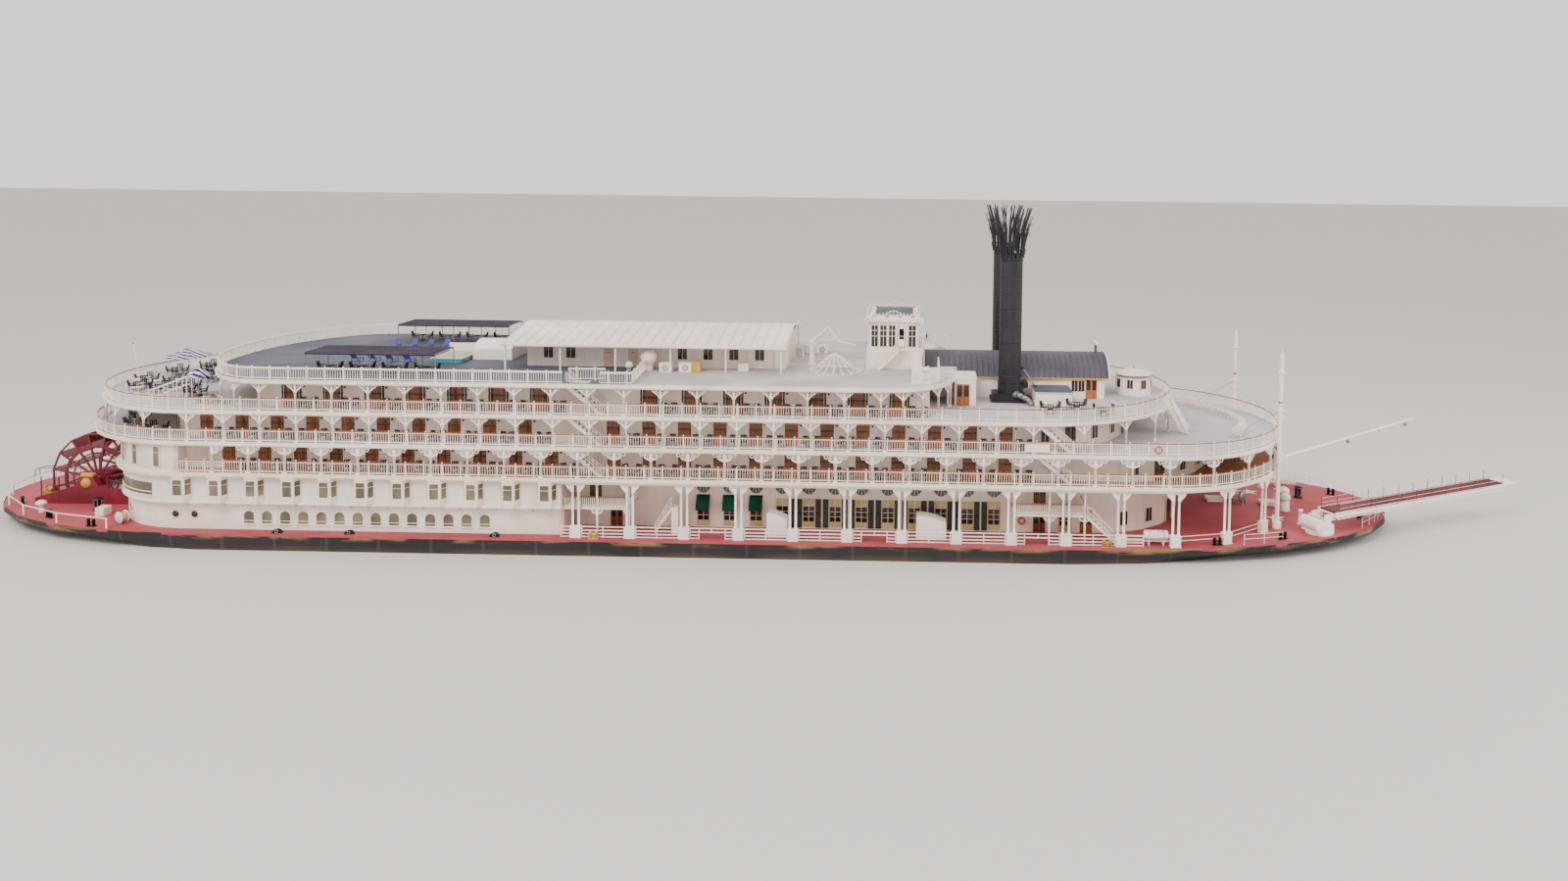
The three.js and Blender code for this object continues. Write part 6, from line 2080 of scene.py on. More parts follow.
@dataclass
class SunDeck:
    """Doors, boxes, pool, arch frame and light fittings on the roof deck."""

    wall: float = 0.480
    doors: DoorRow = DoorRow(-0.712, 0.219, 2)
    # Where the frames of the canopies stand, and the height of their pipes and of the cloth.
    canopy_bays: tuple[float, ...] = (-3.130, -2.850, -2.575, -2.295, -2.020)
    canopy_edges: tuple[float, float] = (0.690, 1.080)
    canopy_pipe: float = 1.878
    canopy_top: float = 1.8835

    def build(self) -> None:
        """House joinery and things that stand on the deck."""
        shape = Shape("sun_deck_fittings")
        door = self.plain_door()
        louvre = Shape("louvre")
        louvre.block((-0.028, -0.004, 0.050), (0.028, 0.001, 0.150), CREAM, 0.001)
        for i in range(8):
            louvre.block((-0.024, -0.006, 0.056 + i * 0.0115), (0.024, -0.003, 0.061 + i * 0.0115), WALL)
        window = Shape("deck_window")
        window.block((-0.046, -0.004, 0.070), (0.046, 0.001, 0.180), CREAM, 0.001)
        window.block((-0.040, -0.006, 0.076), (0.040, -0.002, 0.174), PANE)
        window.block((-0.0015, -0.0075, 0.076), (0.0015, -0.002, 0.174), CREAM)
        for side in BOTH:
            shape.repeat(door, [on_side(side, x, self.wall, ROOF) for x in self.doors.places()])
            shape.repeat(louvre, [on_side(side, x, self.wall, ROOF) for x in (-0.825, -0.29)])
            shape.repeat(window,
                         [on_side(side, x, self.wall, ROOF) for x in (-1.25, -1.05, -0.05, 0.18, 0.41, 0.64)])
            for x in (-1.36, -0.93, -0.38, 0.06, 0.30, 0.53, 0.78):
                low, high = sorted((side * self.wall, side * (self.wall + 0.006)))
                shape.block((x - 0.006, low, ROOF + 0.001), (x + 0.006, high, 1.915), CREAM)
        self.boxes(shape)
        self.pool(shape)
        self.arch_frame(shape)
        shape.make()
        self.dome().make(replaces=("lattice_dome",))
        self.roof_seams().make()
        self.canopy_frames().make()
        for side, hand in ((-1, "starboard"), (1, "port")):
            self.canopy_cloth(side, hand)

    def canopy_cloth(self, side: int, hand: str) -> None:
        """Cloth of one canopy: taut over its frames, a little slack between them, with a short valance."""
        bm = bmesh.new()
        bays = self.canopy_bays
        columns = [a + (b - a) * i / 6 for a, b in zip(bays, bays[1:]) for i in range(6)] + [bays[-1]]
        across = [(0.6865, -0.018), (0.6855, -0.006)] + [(0.690 + 0.390 * i / 8, 0.0) for i in range(9)] + [
            (1.0845, -0.006), (1.0835, -0.018)]
        grid = []
        for i, x in enumerate(columns):
            slack = math.sin(math.pi * (i % 6) / 6)
            row = []
            for y, drop in across:
                middle = max(0.0, math.sin(math.pi * (y - 0.690) / 0.390))
                row.append(bm.verts.new((x, side * y, self.canopy_top + drop - 0.0045 * slack * middle)))
            grid.append(row)
        for row, following in zip(grid, grid[1:]):
            for a, b, c, d in zip(row, row[1:], following[1:], following):
                bm.faces.new((a, b, c, d) if side < 0 else (d, c, b, a))
        bmesh.ops.recalc_face_normals(bm, faces=bm.faces[:])
        cloth = sheet_piece(f"canopy_cloth_{hand}", bm, CANOPY, 0.0008, replaces=(f"canopy_{hand}",))

    def plain_door(self) -> Shape:
        """Flush cream steel door with a small dark plate."""
        shape = Shape("plain_door")
        shape.block((-0.050, -0.004, 0.001), (0.050, 0.001, 0.166), WHITE, 0.001)
        shape.block((-0.043, -0.007, 0.003), (0.043, -0.003, 0.160), DOOR_CREAM, 0.002)
        shape.block((-0.012, -0.0085, 0.128), (0.012, -0.006, 0.136), LIFE_RED)
        shape.ball((0.034, -0.009, 0.080), 0.0035, STEEL, (1, 1, 1), 6)
        return shape

    def dome(self) -> Shape:
        """White ribs that fan down from a finial to scrolled feet on a ring."""
        shape = Shape("fan_dome")
        (low_x, low_y, low_z), (high_x, high_y, high_z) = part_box("lattice_dome")
        centre = Vector(((low_x + high_x) / 2, (low_y + high_y) / 2, low_z))
        radius, height = (high_x - low_x) / 2 - 0.012, high_z - low_z
        profile = [(0.05, 0.97), (0.20, 0.86), (0.42, 0.62), (0.62, 0.36), (0.80, 0.14), (1.0, 0.02)]
        for k in range(16):
            way = Vector((math.cos(k * math.pi / 8), math.sin(k * math.pi / 8), 0))
            line = [centre + way * radius * r + Vector((0, 0, height * h)) for r, h in profile]
            for a, b in zip(line, line[1:]):
                shape.rod(a, b, 0.0042, WHITE, 5)
            shape.ring(line[-1] + Vector((0, 0, 0.014)) - way * 0.004, 0.010, 0.003, WHITE,
                       (-way.y, way.x, 0), 8, 4)
            shape.ball(line[3] + Vector((0, 0, 0.006)), 0.007, WHITE, (1, 1, 1), 5)
        for part, lift, thick in ((1.0, 0.003, 0.004), (0.62, height * 0.36, 0.0026),
                                  (0.05, height * 0.97, 0.006)):
            shape.ring(centre + Vector((0, 0, lift + 0.001)), radius * part, thick, WHITE, (0, 0, 1), 32, 4)
        shape.rod(centre + Vector((0, 0, 0.0005)), centre + Vector((0, 0, height - 0.002)), 0.006, WHITE, 6)
        return shape

    def boxes(self, shape: Shape) -> None:
        """Air units, lockers and a small second radome by the house."""
        unit = Shape("unit")
        unit.block((-0.055, -0.035, 0.0005), (0.055, 0.035, 0.078), WHITE, 0.003)
        unit.block((-0.058, -0.038, 0.074), (0.058, 0.038, 0.082), CREAM, 0.002)
        unit.ring((0, -0.036, 0.040), 0.024, 0.003, STEEL, (0, 1, 0), 12, 4)
        for i in range(5):
            unit.block((-0.022, -0.0365, 0.024 + i * 0.008), (0.022, -0.034, 0.027 + i * 0.008), STEEL)
        shape.repeat(unit, [at(-0.150, -0.700, ROOF), at(0.020, -0.685, ROOF)])
        shape.block((0.078, -0.715, ROOF + 0.0005), (0.152, -0.650, ROOF + 0.090), OCHRE, 0.003)
        shape.turned([(0, 0.0005), (0.020, 0.0005), (0.018, 0.030), (0.030, 0.034), (0.036, 0.052),
                      (0.026, 0.078), (0, 0.090)],
                     (-0.475, -0.700, ROOF), WHITE, 12)
        shape.block((0.470, -0.640, ROOF + 0.0005), (0.560, -0.560, ROOF + 0.070), WHITE, 0.003)
        for x in (1.02, 1.12):
            shape.repeat(unit, [at(x, 0.45, ROOF, 0.2)])

    def pool(self, shape: Shape) -> None:
        """Small pool with a tan coping and a white screen, and the loungers and seats by it."""
        shape.block((-2.33, -0.430, ROOF + 0.0005), (-2.06, 0.000, ROOF + 0.036), BLUE_POOL, 0.004)
        shape.block((-2.34, -0.438, ROOF + 0.036), (-2.05, 0.008, ROOF + 0.046), PALE_OCHRE, 0.003)
        shape.block((-2.28, -0.330, ROOF + 0.045), (-2.11, -0.120, ROOF + 0.0475), BLUE_POOL)
        shape.block((-2.34, 0.008, ROOF + 0.0005), (-2.05, 0.020, ROOF + 0.120), WHITE, 0.002)
        furniture = Furniture()
        shape.repeat(furniture.lounger(VIOLET), [at(x, side * 0.40, ROOF, side * math.pi / 2) for side in BOTH
                                                 for x in (-3.02, -2.86, -2.70, -2.54)])
        table, chair = furniture.table(IRON, 0.044), furniture.chair(IRON)
        for side in BOTH:
            for x in (-2.99, -2.71, -2.43, -2.15):
                shape.repeat(table, [at(x, side * 0.93, ROOF)])
                shape.repeat(chair,
                             [at(x + 0.075 * step, side * 0.93, ROOF, -step * math.pi / 2)
                              for step in (-1, 1)])

    def arch_frame(self, shape: Shape) -> None:
        """White arch frame: two arches joined by bars."""
        for y in (-0.070, 0.030):
            for x in (0.905, 0.985):
                shape.rod((x, y, ROOF + 0.0005), (x, y, ROOF + 0.110), 0.004, WHITE, 6)
            arch = bowed((0.905, ROOF + 0.110), (0.985, ROOF + 0.110), 0.034, 8)
            for a, b in zip(arch, arch[1:]):
                shape.rod((a[0], y, a[1]), (b[0], y, b[1]), 0.004, WHITE, 6)
        for z in (ROOF + 0.06, ROOF + 0.11):
            for x in (0.905, 0.985):
                shape.rod((x, -0.070, z), (x, 0.030, z), 0.003, WHITE, 5)

    def roof_seams(self) -> Shape:
        """Standing seams and eaves of the sun house roof and the barrel roof."""
        shape = Shape("roof_seams")
        eave, ridge, half, thick = 1.920, 2.035, 0.760, 0.012
        for i in range(26):
            x = -1.575 + i * 0.0984
            for side in BOTH:
                shape.plate([(x, side * (half - 0.002), eave + thick * 0.5),
                             (x, side * (half - 0.002), eave + thick + 0.006),
                             (x, 0.0, ridge + 0.006), (x, 0.0, ridge - 0.004)], (0.003, 0, 0), CREAM)
        for side in BOTH:
            low, high = sorted((side * (half - 0.004), side * (half + 0.003)))
            shape.block((-1.592, low, eave - 0.008), (0.902, high, eave + 0.012), CREAM, 0.001)
        return shape

    def canopy_frames(self) -> Shape:
        """Posts, bows and edge pipes of the two fabric canopies."""
        shape = Shape("canopy_frames")
        for side in BOTH:
            for x in self.canopy_bays:
                for y in self.canopy_edges:
                    shape.rod((x, side * y, ROOF + 0.0005), (x, side * y, self.canopy_pipe), 0.0042,
                              STEEL, 6)
                near, far = ((x, side * y, self.canopy_pipe) for y in self.canopy_edges)
                shape.rod(near, far, 0.004, STEEL, 6)
            for y in self.canopy_edges:
                aft, fore = ((x, side * y, self.canopy_pipe) for x in (self.canopy_bays[0],
                                                                       self.canopy_bays[-1]))
                shape.rod(aft, fore, 0.004, STEEL, 6)
        return shape


@dataclass
class ForeCabin:
    """Joinery and roof trim of the fore cabin, and the fittings of the round house."""

    wall: float = 0.305
    fore: float = 3.745

    def build(self) -> None:
        """Windows, doors, seams, the round house and the curved stair."""
        shape = Shape("fore_cabin_joinery")
        pair = Shape("window_pair")
        pair.block((-0.064, -0.004, 0.062), (0.064, 0.001, 0.172), CREAM, 0.001)
        for x0, x1 in ((-0.058, -0.003), (0.003, 0.058)):
            pair.block((x0, -0.006, 0.068), (x1, -0.002, 0.166), PANE)
            pair.block(((x0 + x1) / 2 - 0.0012, -0.0075, 0.068), ((x0 + x1) / 2 + 0.0012, -0.002, 0.166),
                       WHITE)
        door = MidshipsWall().door(MAHOGANY, 0.050, 0.180)
        for side in BOTH:
            shape.repeat(pair, [on_side(side, x, self.wall, DECK_5) for x in (2.45, 3.50)])
            shape.repeat(door, [on_side(side, 3.62, self.wall, DECK_5)])
        shape.repeat(door, [at(self.fore, 0.0, DECK_5, math.pi / 2)])
        self.barrel(shape)
        self.round_house(shape)
        shape.make()

    def barrel(self, shape: Shape) -> None:
        """Seams and eave mouldings of the barrel roof."""
        half, eave, ridge = 0.322, 1.618, 1.812
        arc = [(half * math.cos(a), eave + (ridge - eave) * math.sin(a))
               for a in (i / 12 * math.pi for i in range(13))]
        for i in range(33):
            x = 2.130 + i * 0.0508
            for (y0, z0), (y1, z1) in zip(arc[::2], arc[2::2]):
                shape.rod((x, y0, z0 + 0.001), (x, y1, z1 + 0.001), 0.0022, BARREL_GREY, 4)
        for side in BOTH:
            low, high = sorted((side * 0.300, side * 0.330))
            shape.block((2.106, low, eave - 0.010), (3.779, high, eave + 0.002), OCHRE, 0.002)
        for x in (2.106, 3.779):
            for (y0, z0), (y1, z1) in zip(arc, arc[1:]):
                shape.rod((x, y0, z0), (x, y1, z1), 0.006, CREAM, 5)

    def round_house(self, shape: Shape) -> None:
        """Paired windows, roof cone ribs and finial of the round house, and the curved white stair."""
        cx, radius, low = 4.060, 0.160, DECK_5
        for k in range(8):
            angle = math.radians(22.5 + 45 * k)
            window = Shape("round_window")
            for x0, x1 in ((-0.026, -0.002), (0.002, 0.026)):
                window.block((x0, -0.004, 0.070), (x1, 0.004, 0.150), PANE)
            window.block((-0.031, -0.002, 0.064), (0.031, 0.004, 0.156), CREAM)
            shape.repeat(window, [at(cx + radius * math.sin(angle), -radius * math.cos(angle), low, angle)])
        shape.turned([(0, 0.048), (0.010, 0.046), (0.060, 0.034), (0.150, 0.008), (0.174, 0.001),
                      (0.174, -0.006),
                      (0.168, -0.006)], (cx, 0, 1.622), WALL, 24)
        for k in range(12):
            a = 2 * math.pi * k / 12
            shape.rod((cx + 0.012 * math.cos(a), 0.012 * math.sin(a), 1.669),
                      (cx + 0.170 * math.cos(a), 0.170 * math.sin(a), 1.626),
                      0.0022, CREAM, 4)
        shape.ball((cx, 0, 1.674), 0.008, GOLD, (1, 1, 1), 8)
        for side in BOTH:
            self.curved_stair(shape, side)

    def curved_stair(self, shape: Shape, side: int) -> None:
        """Steep white stair with boarded sides that bends down off the fore edge of deck 5."""
        head, foot, steps = Vector((4.262, side * 0.575, 0)), Vector((4.430, side * 0.435, 0)), 8
        across = Vector((foot.y - head.y, head.x - foot.x, 0)).normalized() * 0.042
        rise = DECK_5 - DECK_4 - 0.006
        rail: list[tuple[Vector, float]] = []
        for i in range(steps + 1):
            t = i / steps
            spot = head.lerp(foot, t) + across * (0.35 * math.sin(t * math.pi))
            z = DECK_4 + 0.003 + rise * (1 - t) ** 1.15
            rail.append((spot, z))
            shape.plate([spot + across + Vector((0, 0, z - 0.004)), spot - across + Vector((0, 0, z - 0.004)),
                         spot - across + (foot - head) / steps + Vector((0, 0, z - 0.004)),
                         spot + across + (foot - head) / steps + Vector((0, 0, z - 0.004))], (0, 0, 0.004),
                        WHITE)
        for edge in BOTH:
            for (a, low), (b, high) in zip(rail, rail[1:]):
                near, far = a + across * edge, b + across * edge
                shape.plate([near + Vector((0, 0, low - 0.002)), far + Vector((0, 0, high - 0.002)),
                             far + Vector((0, 0, high + 0.074)), near + Vector((0, 0, low + 0.074))],
                            across.normalized() * 0.004, WHITE)


# ---------------------------------------------------------------- foredeck, stage and terraces ahead


@dataclass
class Foredeck:
    """Stars, vent, drum, platform, capstan heads, hatches, bitts and thin rail of the bow."""

    def star(self, radius: float) -> Shape:
        """Flat painted five-pointed star."""
        shape = Shape("star")
        points = []
        for i in range(10):
            reach = radius if i % 2 == 0 else radius * 0.40
            angle = i * math.pi / 5
            points.append((reach * math.cos(angle), reach * math.sin(angle), 0.0003))
        shape.plate(points, (0, 0, 0.0009), WHITE)
        return shape

    def cowl(self) -> Shape:
        """White cowl vent with a red throat, mouth to -Y."""
        shape = Shape("cowl")
        shape.turned([(0, 0.0005), (0.026, 0.0005), (0.024, 0.006), (0.022, 0.062), (0, 0.062)], (0, 0, 0),
                     WHITE, 12)
        shape.ball((0, 0, 0.070), 0.028, WHITE, (1, 1, 1), 12)
        shape.turned([(0.024, 0.0), (0.030, 0.016), (0.038, 0.028), (0.036, 0.029), (0.026, 0.016),
                      (0, 0.014)],
                     (0, -0.010, 0.078), WHITE, 14, (0, -0.95, 0.25))
        shape.turned([(0, 0.0), (0.034, 0.0), (0.034, 0.001), (0, 0.001)], (0, -0.034, 0.084), LIFE_RED, 14,
                     (0, -0.95, 0.25))
        return shape

    def drum(self) -> Shape:
        """Grey hose drum on its frame, axis along Y."""
        shape = Shape("drum")
        shape.turned([(0, -0.055), (0.062, -0.055), (0.064, -0.048), (0.046, -0.046), (0.046, 0.046),
                      (0.064, 0.048),
                      (0.062, 0.055), (0, 0.055)], (0, 0, 0.072), STEEL, 18, (0, 1, 0))
        for i in range(5):
            shape.ring((0, -0.034 + i * 0.017, 0.072), 0.047, 0.0075, WALL, (0, 1, 0), 16, 5)
        for y in (-0.060, 0.060):
            for x in (-0.045, 0.045):
                shape.rod((x, y, 0.0005), (0, y, 0.074), 0.004, STEEL, 6)
        return shape

    def platform(self) -> Shape:
        """Low frame platform with a grating top."""
        shape = Shape("platform")
        for x in (-0.16, 0.16):
            for y in (-0.075, 0.075):
                shape.block((x - 0.005, y - 0.005, 0.0005), (x + 0.005, y + 0.005, 0.062), STEEL)
        for y in (-0.078, 0.078):
            shape.block((-0.170, y - 0.003, 0.056), (0.170, y + 0.003, 0.064), WHITE)
        for i in range(17):
            x = -0.166 + i * 0.02
            shape.block((x, -0.076, 0.058), (x + 0.010, 0.076, 0.063), WALL)
        return shape

    def capstan_head(self, body: str, x: float, y: float) -> None:
        """Barrel, whelps and top ring of a capstan; they turn with it."""
        shape = Shape(f"{body}_whelps")
        low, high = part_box(body)
        radius = (high[0] - low[0]) / 2
        height = high[2] - low[2]
        base = low[2]
        shape.turned([(0, 0.0), (radius, 0.0), (radius, 0.006), (radius * 0.72, 0.016),
                      (radius * 0.60, height * 0.45),
                      (radius * 0.74, height * 0.78), (radius * 0.90, height * 0.82),
                      (radius * 0.90, height * 0.93),
                      (radius * 0.70, height * 0.985), (0, height * 0.998)], (x, y, base), IRON, 16)
        for k in range(6):
            a = 2 * math.pi * k / 6
            out = Vector((math.cos(a), math.sin(a), 0))
            start = Vector((x, y, base + 0.012)) + out * radius * 0.74
            end = Vector((x, y, base + height * 0.80)) + out * radius * 0.78
            shape.rod(start, end, radius * 0.10, STEEL, 5)
        shape.ring((x, y, base + height * 0.87), radius * 0.90, 0.002, STEEL, (0, 0, 1), 18, 4)
        shape.make("stack_black", body, (body,))

    def build(self) -> None:
        """Places the fittings of the bow."""
        shape = Shape("foredeck_fittings")
        bitts = SternDeck().bitts(YELLOW)
        black = SternDeck().bitts(IRON)
        shape.repeat(self.star(0.095), [at(5.28, -0.42, MAIN, 0.3), at(5.28, 0.42, MAIN, 0.3)])
        shape.repeat(self.star(0.070), [at(5.98, -0.02, MAIN, 0.1)])
        shape.repeat(self.cowl(), [at(5.430, -0.190, MAIN, -3.1, (1.9, 1.9, 1.75))])
        shape.repeat(self.drum(), [at(5.060, 0.020, MAIN, 0.9)])
        shape.repeat(self.platform(), [at(5.62, 0.62, MAIN, -0.25)])
        shape.repeat(black, [at(x, side * y, MAIN, -side * turn) for side in BOTH
                             for x, y, turn in ((4.55, 1.215, 0.15), (5.15, 1.03, 0.40), (6.05, 0.36, 0.85))])
        shape.repeat(bitts,
                     [at(x, side * y, MAIN, 0.0) for side in BOTH for x,
                      y in ((3.62, 1.320), (-0.62, 1.325))])
        hatch = Shape("hatch")
        hatch.block((-0.075, -0.060, 0.0005), (0.075, 0.060, 0.028), WHITE, 0.004)
        hatch.block((-0.080, -0.065, 0.026), (0.080, 0.065, 0.034), WALL, 0.003)
        for y in (-0.03, 0.03):
            hatch.ring((0.05, y, 0.036), 0.008, 0.002, STEEL, (0, 1, 0), 8, 4)
        shape.repeat(hatch, [at(4.86, 0.10, MAIN), at(5.34, 0.0, MAIN, 0.1)])
        for side in BOTH:
            shape.turned([(0, 0.0005), (0.030, 0.0005), (0.030, 0.010), (0.018, 0.014), (0.018, 0.115),
                          (0.024, 0.120),
                          (0.020, 0.132), (0, 0.134)], (5.440, side * 0.60, MAIN), WHITE, 12)
        self.bulwark(shape)
        shape.make()
        self.capstan_head("capstan_bow", 5.700, 0.250)
        self.capstan_head("capstan_stern", -5.170, -0.755)

    def bulwark(self, shape: Shape) -> None:
        """Thin two-line rail on stanchions round the bow, open to starboard from x 5.15 to 5.95.

        The opening is too short: at stage_lift_min the span cuts the upper line near x 6.20 to 6.25.
        """
        edge = [p for p in MAIN_PLAN.raised(MAIN, 0.050, 20) if p.x > 4.75]
        for side in BOTH:
            line = sorted((p for p in edge if p.y * side > -1e-6), key=lambda p: p.x)
            line = [p for p in line if side > 0 or p.x < 5.15 or p.x > 5.95]
            for a, b in zip(line, line[1:]):
                if (b - a).length < 0.5:
                    for lift in (0.050, 0.088):
                        shape.rod((a.x, a.y, a.z + lift), (b.x, b.y, b.z + lift), 0.0022, WHITE, 4)
                    shape.rod((a.x, a.y, a.z + 0.0005), (a.x, a.y, a.z + 0.094), 0.003, WHITE, 5)


@dataclass
class StageAndBoom:
    """Rails, tread and flanges of the landing stage, fittings of the boom, and stays of the masts."""

    pivot: Point = (5.530, -0.820, 0.5303)
    heading: float = math.radians(25.6)
    pitch: float = math.radians(1.2)
    half: float = 0.105
    length: float = 2.190

    def place(self) -> Matrix:
        """Turns the stage's own length, breadth and height into the frame."""
        return (Matrix.Translation(self.pivot) @ Matrix.Rotation(self.heading, 4, "Z")
                @ Matrix.Rotation(-self.pitch, 4, "Y"))

    def span(self) -> Shape:
        """Flanges and rings on the side webs, dark red tread with strips, and rope rails on posts."""
        local = Shape("stage_parts")
        start, end = 0.10, self.length - 0.02
        local.block((start, -self.half + 0.010, 0.0365), (end, self.half - 0.010, 0.0535), TREAD)
        for i in range(46):
            x = start + 0.01 + i * (end - start - 0.02) / 45
            local.block((x - 0.003, -self.half + 0.012, 0.053), (x + 0.003, self.half - 0.012, 0.0565), TREAD)
        for side in BOTH:
            y = side * (self.half - 0.004)
            for z0, z1 in ((-0.006, 0.002), (0.042, 0.050)):
                low, high = sorted((y - side * 0.002, y + side * 0.004))
                local.block((start, low, z0), (end, high, z1), WHITE)
            for i in range(24):
                x = start + 0.035 + i * (end - start - 0.07) / 23
                local.ring((x, y + side * 0.003, 0.022), 0.011, 0.0028, WHITE, (0, 1, 0), 10, 4)
            for i in range(12):
                x = start + 0.02 + i * (end - start - 0.04) / 11
                local.rod((x, y, 0.045), (x, y, 0.130), 0.0028, CRIMSON, 5)
                local.ball((x, y, 0.132), 0.0042, CRIMSON, (1, 1, 1), 6)
            for lift in (0.086, 0.126):
                local.rod((start + 0.02, y, lift), (end - 0.02, y, lift), 0.0017, WALL, 4)
        shape = Shape("stage_span_fittings")
        shape.repeat(local, [self.place()])
        return shape

    def boom_fittings(self) -> Shape:
        """Bands and hanging sheaves of the boom."""
        shape = Shape("boom_fittings")
        heading, pitch = math.radians(25.0), math.radians(8.2)
        foot = Vector((5.195 + 0.052 * math.cos(heading), -0.717 + 0.052 * math.sin(heading), 1.020))
        along = Vector((math.cos(heading) * math.cos(pitch), math.sin(heading) * math.cos(pitch),
                        math.sin(pitch)))
        across = Vector((math.sin(heading), -math.cos(heading), 0))
        for reach in (0.35, 0.75, 1.12, 1.45):
            spot = foot + along * reach
            shape.rod(spot - along * 0.010, spot + along * 0.010, 0.021, WHITE, 10)
        for reach in (0.75, 1.45):
            spot = foot + along * reach
            shape.turned([(0, -0.006), (0.018, -0.006), (0.014, 0.0), (0.018, 0.006), (0, 0.006)],
                         spot - Vector((0, 0, 0.030)), STEEL, 12, tuple(across))
            shape.rod(spot, spot - Vector((0, 0, 0.030)), 0.003, STEEL, 5)
        return shape

    def stays(self) -> Shape:
        """Fixed stays, bands, ladder and truck of the masts."""
        shape = Shape("mast_fittings")
        for side in BOTH:
            x, y = 5.195, side * 0.717
            for z in (0.62, 0.94, 1.10, 1.44):
                shape.ring((x, y, z), 0.019, 0.004, WHITE, (0, 0, 1), 12, 5)
            shape.ball((x, y, 1.508), 0.022, GOLD, (1, 1, 0.9), 10)
            for off in (-0.10, 0.10):
                shape.rod((x, y, 1.44), (x - 0.42, y + side * off, DECK_4 + 0.001), 0.0018, STEEL, 4)
            for i in range(26):
                z = 0.44 + i * 0.038
                shape.rod((x - 0.036, y, z), (x + 0.036 * (z > 1.20), y, z), 0.0026, WHITE, 4)
            for z, reach in ((1.36, 0.046), (1.42, 0.040), (1.47, 0.030)):
                for turn in (0.4, 1.97, 3.54, 5.11):
                    tip = Vector((x + reach * math.cos(turn), y + reach * math.sin(turn), z + 0.016))
                    shape.rod((x, y, z), tip, 0.004, WHITE, 5)
                    shape.ball(tip, 0.009, WHITE, (1, 1, 1), 6)
        return shape

    def build(self) -> None:
        """Fittings of the span and the boom, each on its own body, and those of the masts, fixed."""
        self.span().make("white_paint", "stage_span")
        self.boom_fittings().make("white_paint", "boom")
        self.stays().make()


@dataclass
class ForeTerraces:
    """Furniture, lamp posts and the blank board of the terraces ahead of the cabins."""

    def lamp_post(self) -> Shape:
        """White standard lamp with a globe."""
        shape = Shape("lamp_post")
        shape.turned([(0, 0.0005), (0.014, 0.0005), (0.010, 0.010), (0.0045, 0.016), (0.0040, 0.160),
                      (0.009, 0.164),
                      (0.006, 0.170), (0, 0.170)], (0, 0, 0), WHITE, 8)
        shape.ball((0, 0, 0.184), 0.015, CREAM, (1, 1, 1.1), 10)
        return shape

    def build(self) -> None:
        """Places the furniture on decks 3, 4 and 5."""
        shape = Shape("fore_terrace_furniture")
        furniture = Furniture()
        chair, table = furniture.chair(WHITE), furniture.table(WHITE, 0.028)
        dark, ring = furniture.chair(IRON), furniture.life_ring()
        post = self.lamp_post()
        for side in BOTH:
            for x, y in ((3.18, 0.92), (3.42, 0.80), (3.62, 1.00)):
                shape.repeat(table, [at(x, side * y, DECK_5)])
                for turn in (0.4, 2.6, 4.6):
                    shape.repeat(dark,
                                 [at(x + 0.060 * math.cos(turn), side * y + 0.060 * math.sin(turn), DECK_5,
                                           turn - math.pi / 2)])
            shape.repeat(post, [at(3.05, side * 1.18, DECK_5), at(3.95, side * 0.98, DECK_5),
                                at(4.80, side * 0.92, DECK_4)])
            shape.repeat(ring, [on_side(side, 4.02, 1.330, DECK_4 + 0.055)])
            for x in (4.55, 4.75, 4.90):
                shape.repeat(dark, [at(x, side * 0.42, DECK_3, side * 1.2)])
        row = [p for p in DECK_4_PLAN.raised(DECK_4, 0.310, 24) if -0.66 < p.y < 1.02 and p.x > 4.1]
        shape.repeat(chair, [at(*p, h - 0.35) for p, h in paced(row, 0.072, False)])
        board_low, board_high = 2.93, 3.13
        shape.block((board_low, -1.3375, DECK_4 + 0.022), (board_high, -1.3335, DECK_4 + 0.088), WHITE, 0.001)
        for x in (board_low, board_high - 0.004):
            shape.block((x, -1.3390, DECK_4 + 0.020), (x + 0.004, -1.3330, DECK_4 + 0.090), CREAM)
        self.cabin_fronts(shape)
        shape.make()

    def cabin_fronts(self, shape: Shape) -> None:
        """Doors and windows round the curved fore walls."""
        leaf = MidshipsWall().door(MAHOGANY_DARK)
        window = Shape("front_window")
        window.block((-0.040, -0.004, 0.056), (0.040, 0.002, 0.186), CREAM, 0.001)
        window.block((-0.034, -0.006, 0.062), (0.034, -0.002, 0.180), PANE)
        window.block((-0.0014, -0.0075, 0.062), (0.0014, -0.002, 0.180), WHITE)
        for plan, floor, steps in ((MIDSHIPS, MAIN, (15, 35, 55, 72)),
                                   (CABINS_3, DECK_3, (8, 24, 40, 56, 72, 86)),
                                   (CABINS_4, DECK_4, (8, 24, 40, 56, 72, 86))):
            end = plan.bow
            for side in BOTH:
                for i, degrees in enumerate(steps):
                    angle = math.radians(degrees)
                    x = end.tip - end.run + end.run * math.cos(angle)
                    y = side * plan.half * math.sin(angle)
                    normal = math.atan2(side * math.sin(angle) / plan.half, math.cos(angle) / end.run)
                    item = leaf if i % 3 == 1 else window
                    shape.repeat(item, [at(x, y, floor, normal + math.pi / 2)])
            shape.repeat(leaf, [at(end.tip, 0.0, floor, math.pi / 2)])


class HullTrim:
    """Thin rubbing strake under the edge of the main deck."""

    def build(self) -> None:
        """Sweeps the strake round the edge of the deck."""
        shape = Shape("hull_guard")
        shape.sweep([(-0.002, -0.018), (0.0, -0.018), (0.0, -0.0005), (-0.002, -0.0005)],
                    MAIN_PLAN.raised(MAIN, 0.0005), HULL, True)
        shape.make("hull_paint")


# ---------------------------------------------------------------- studio


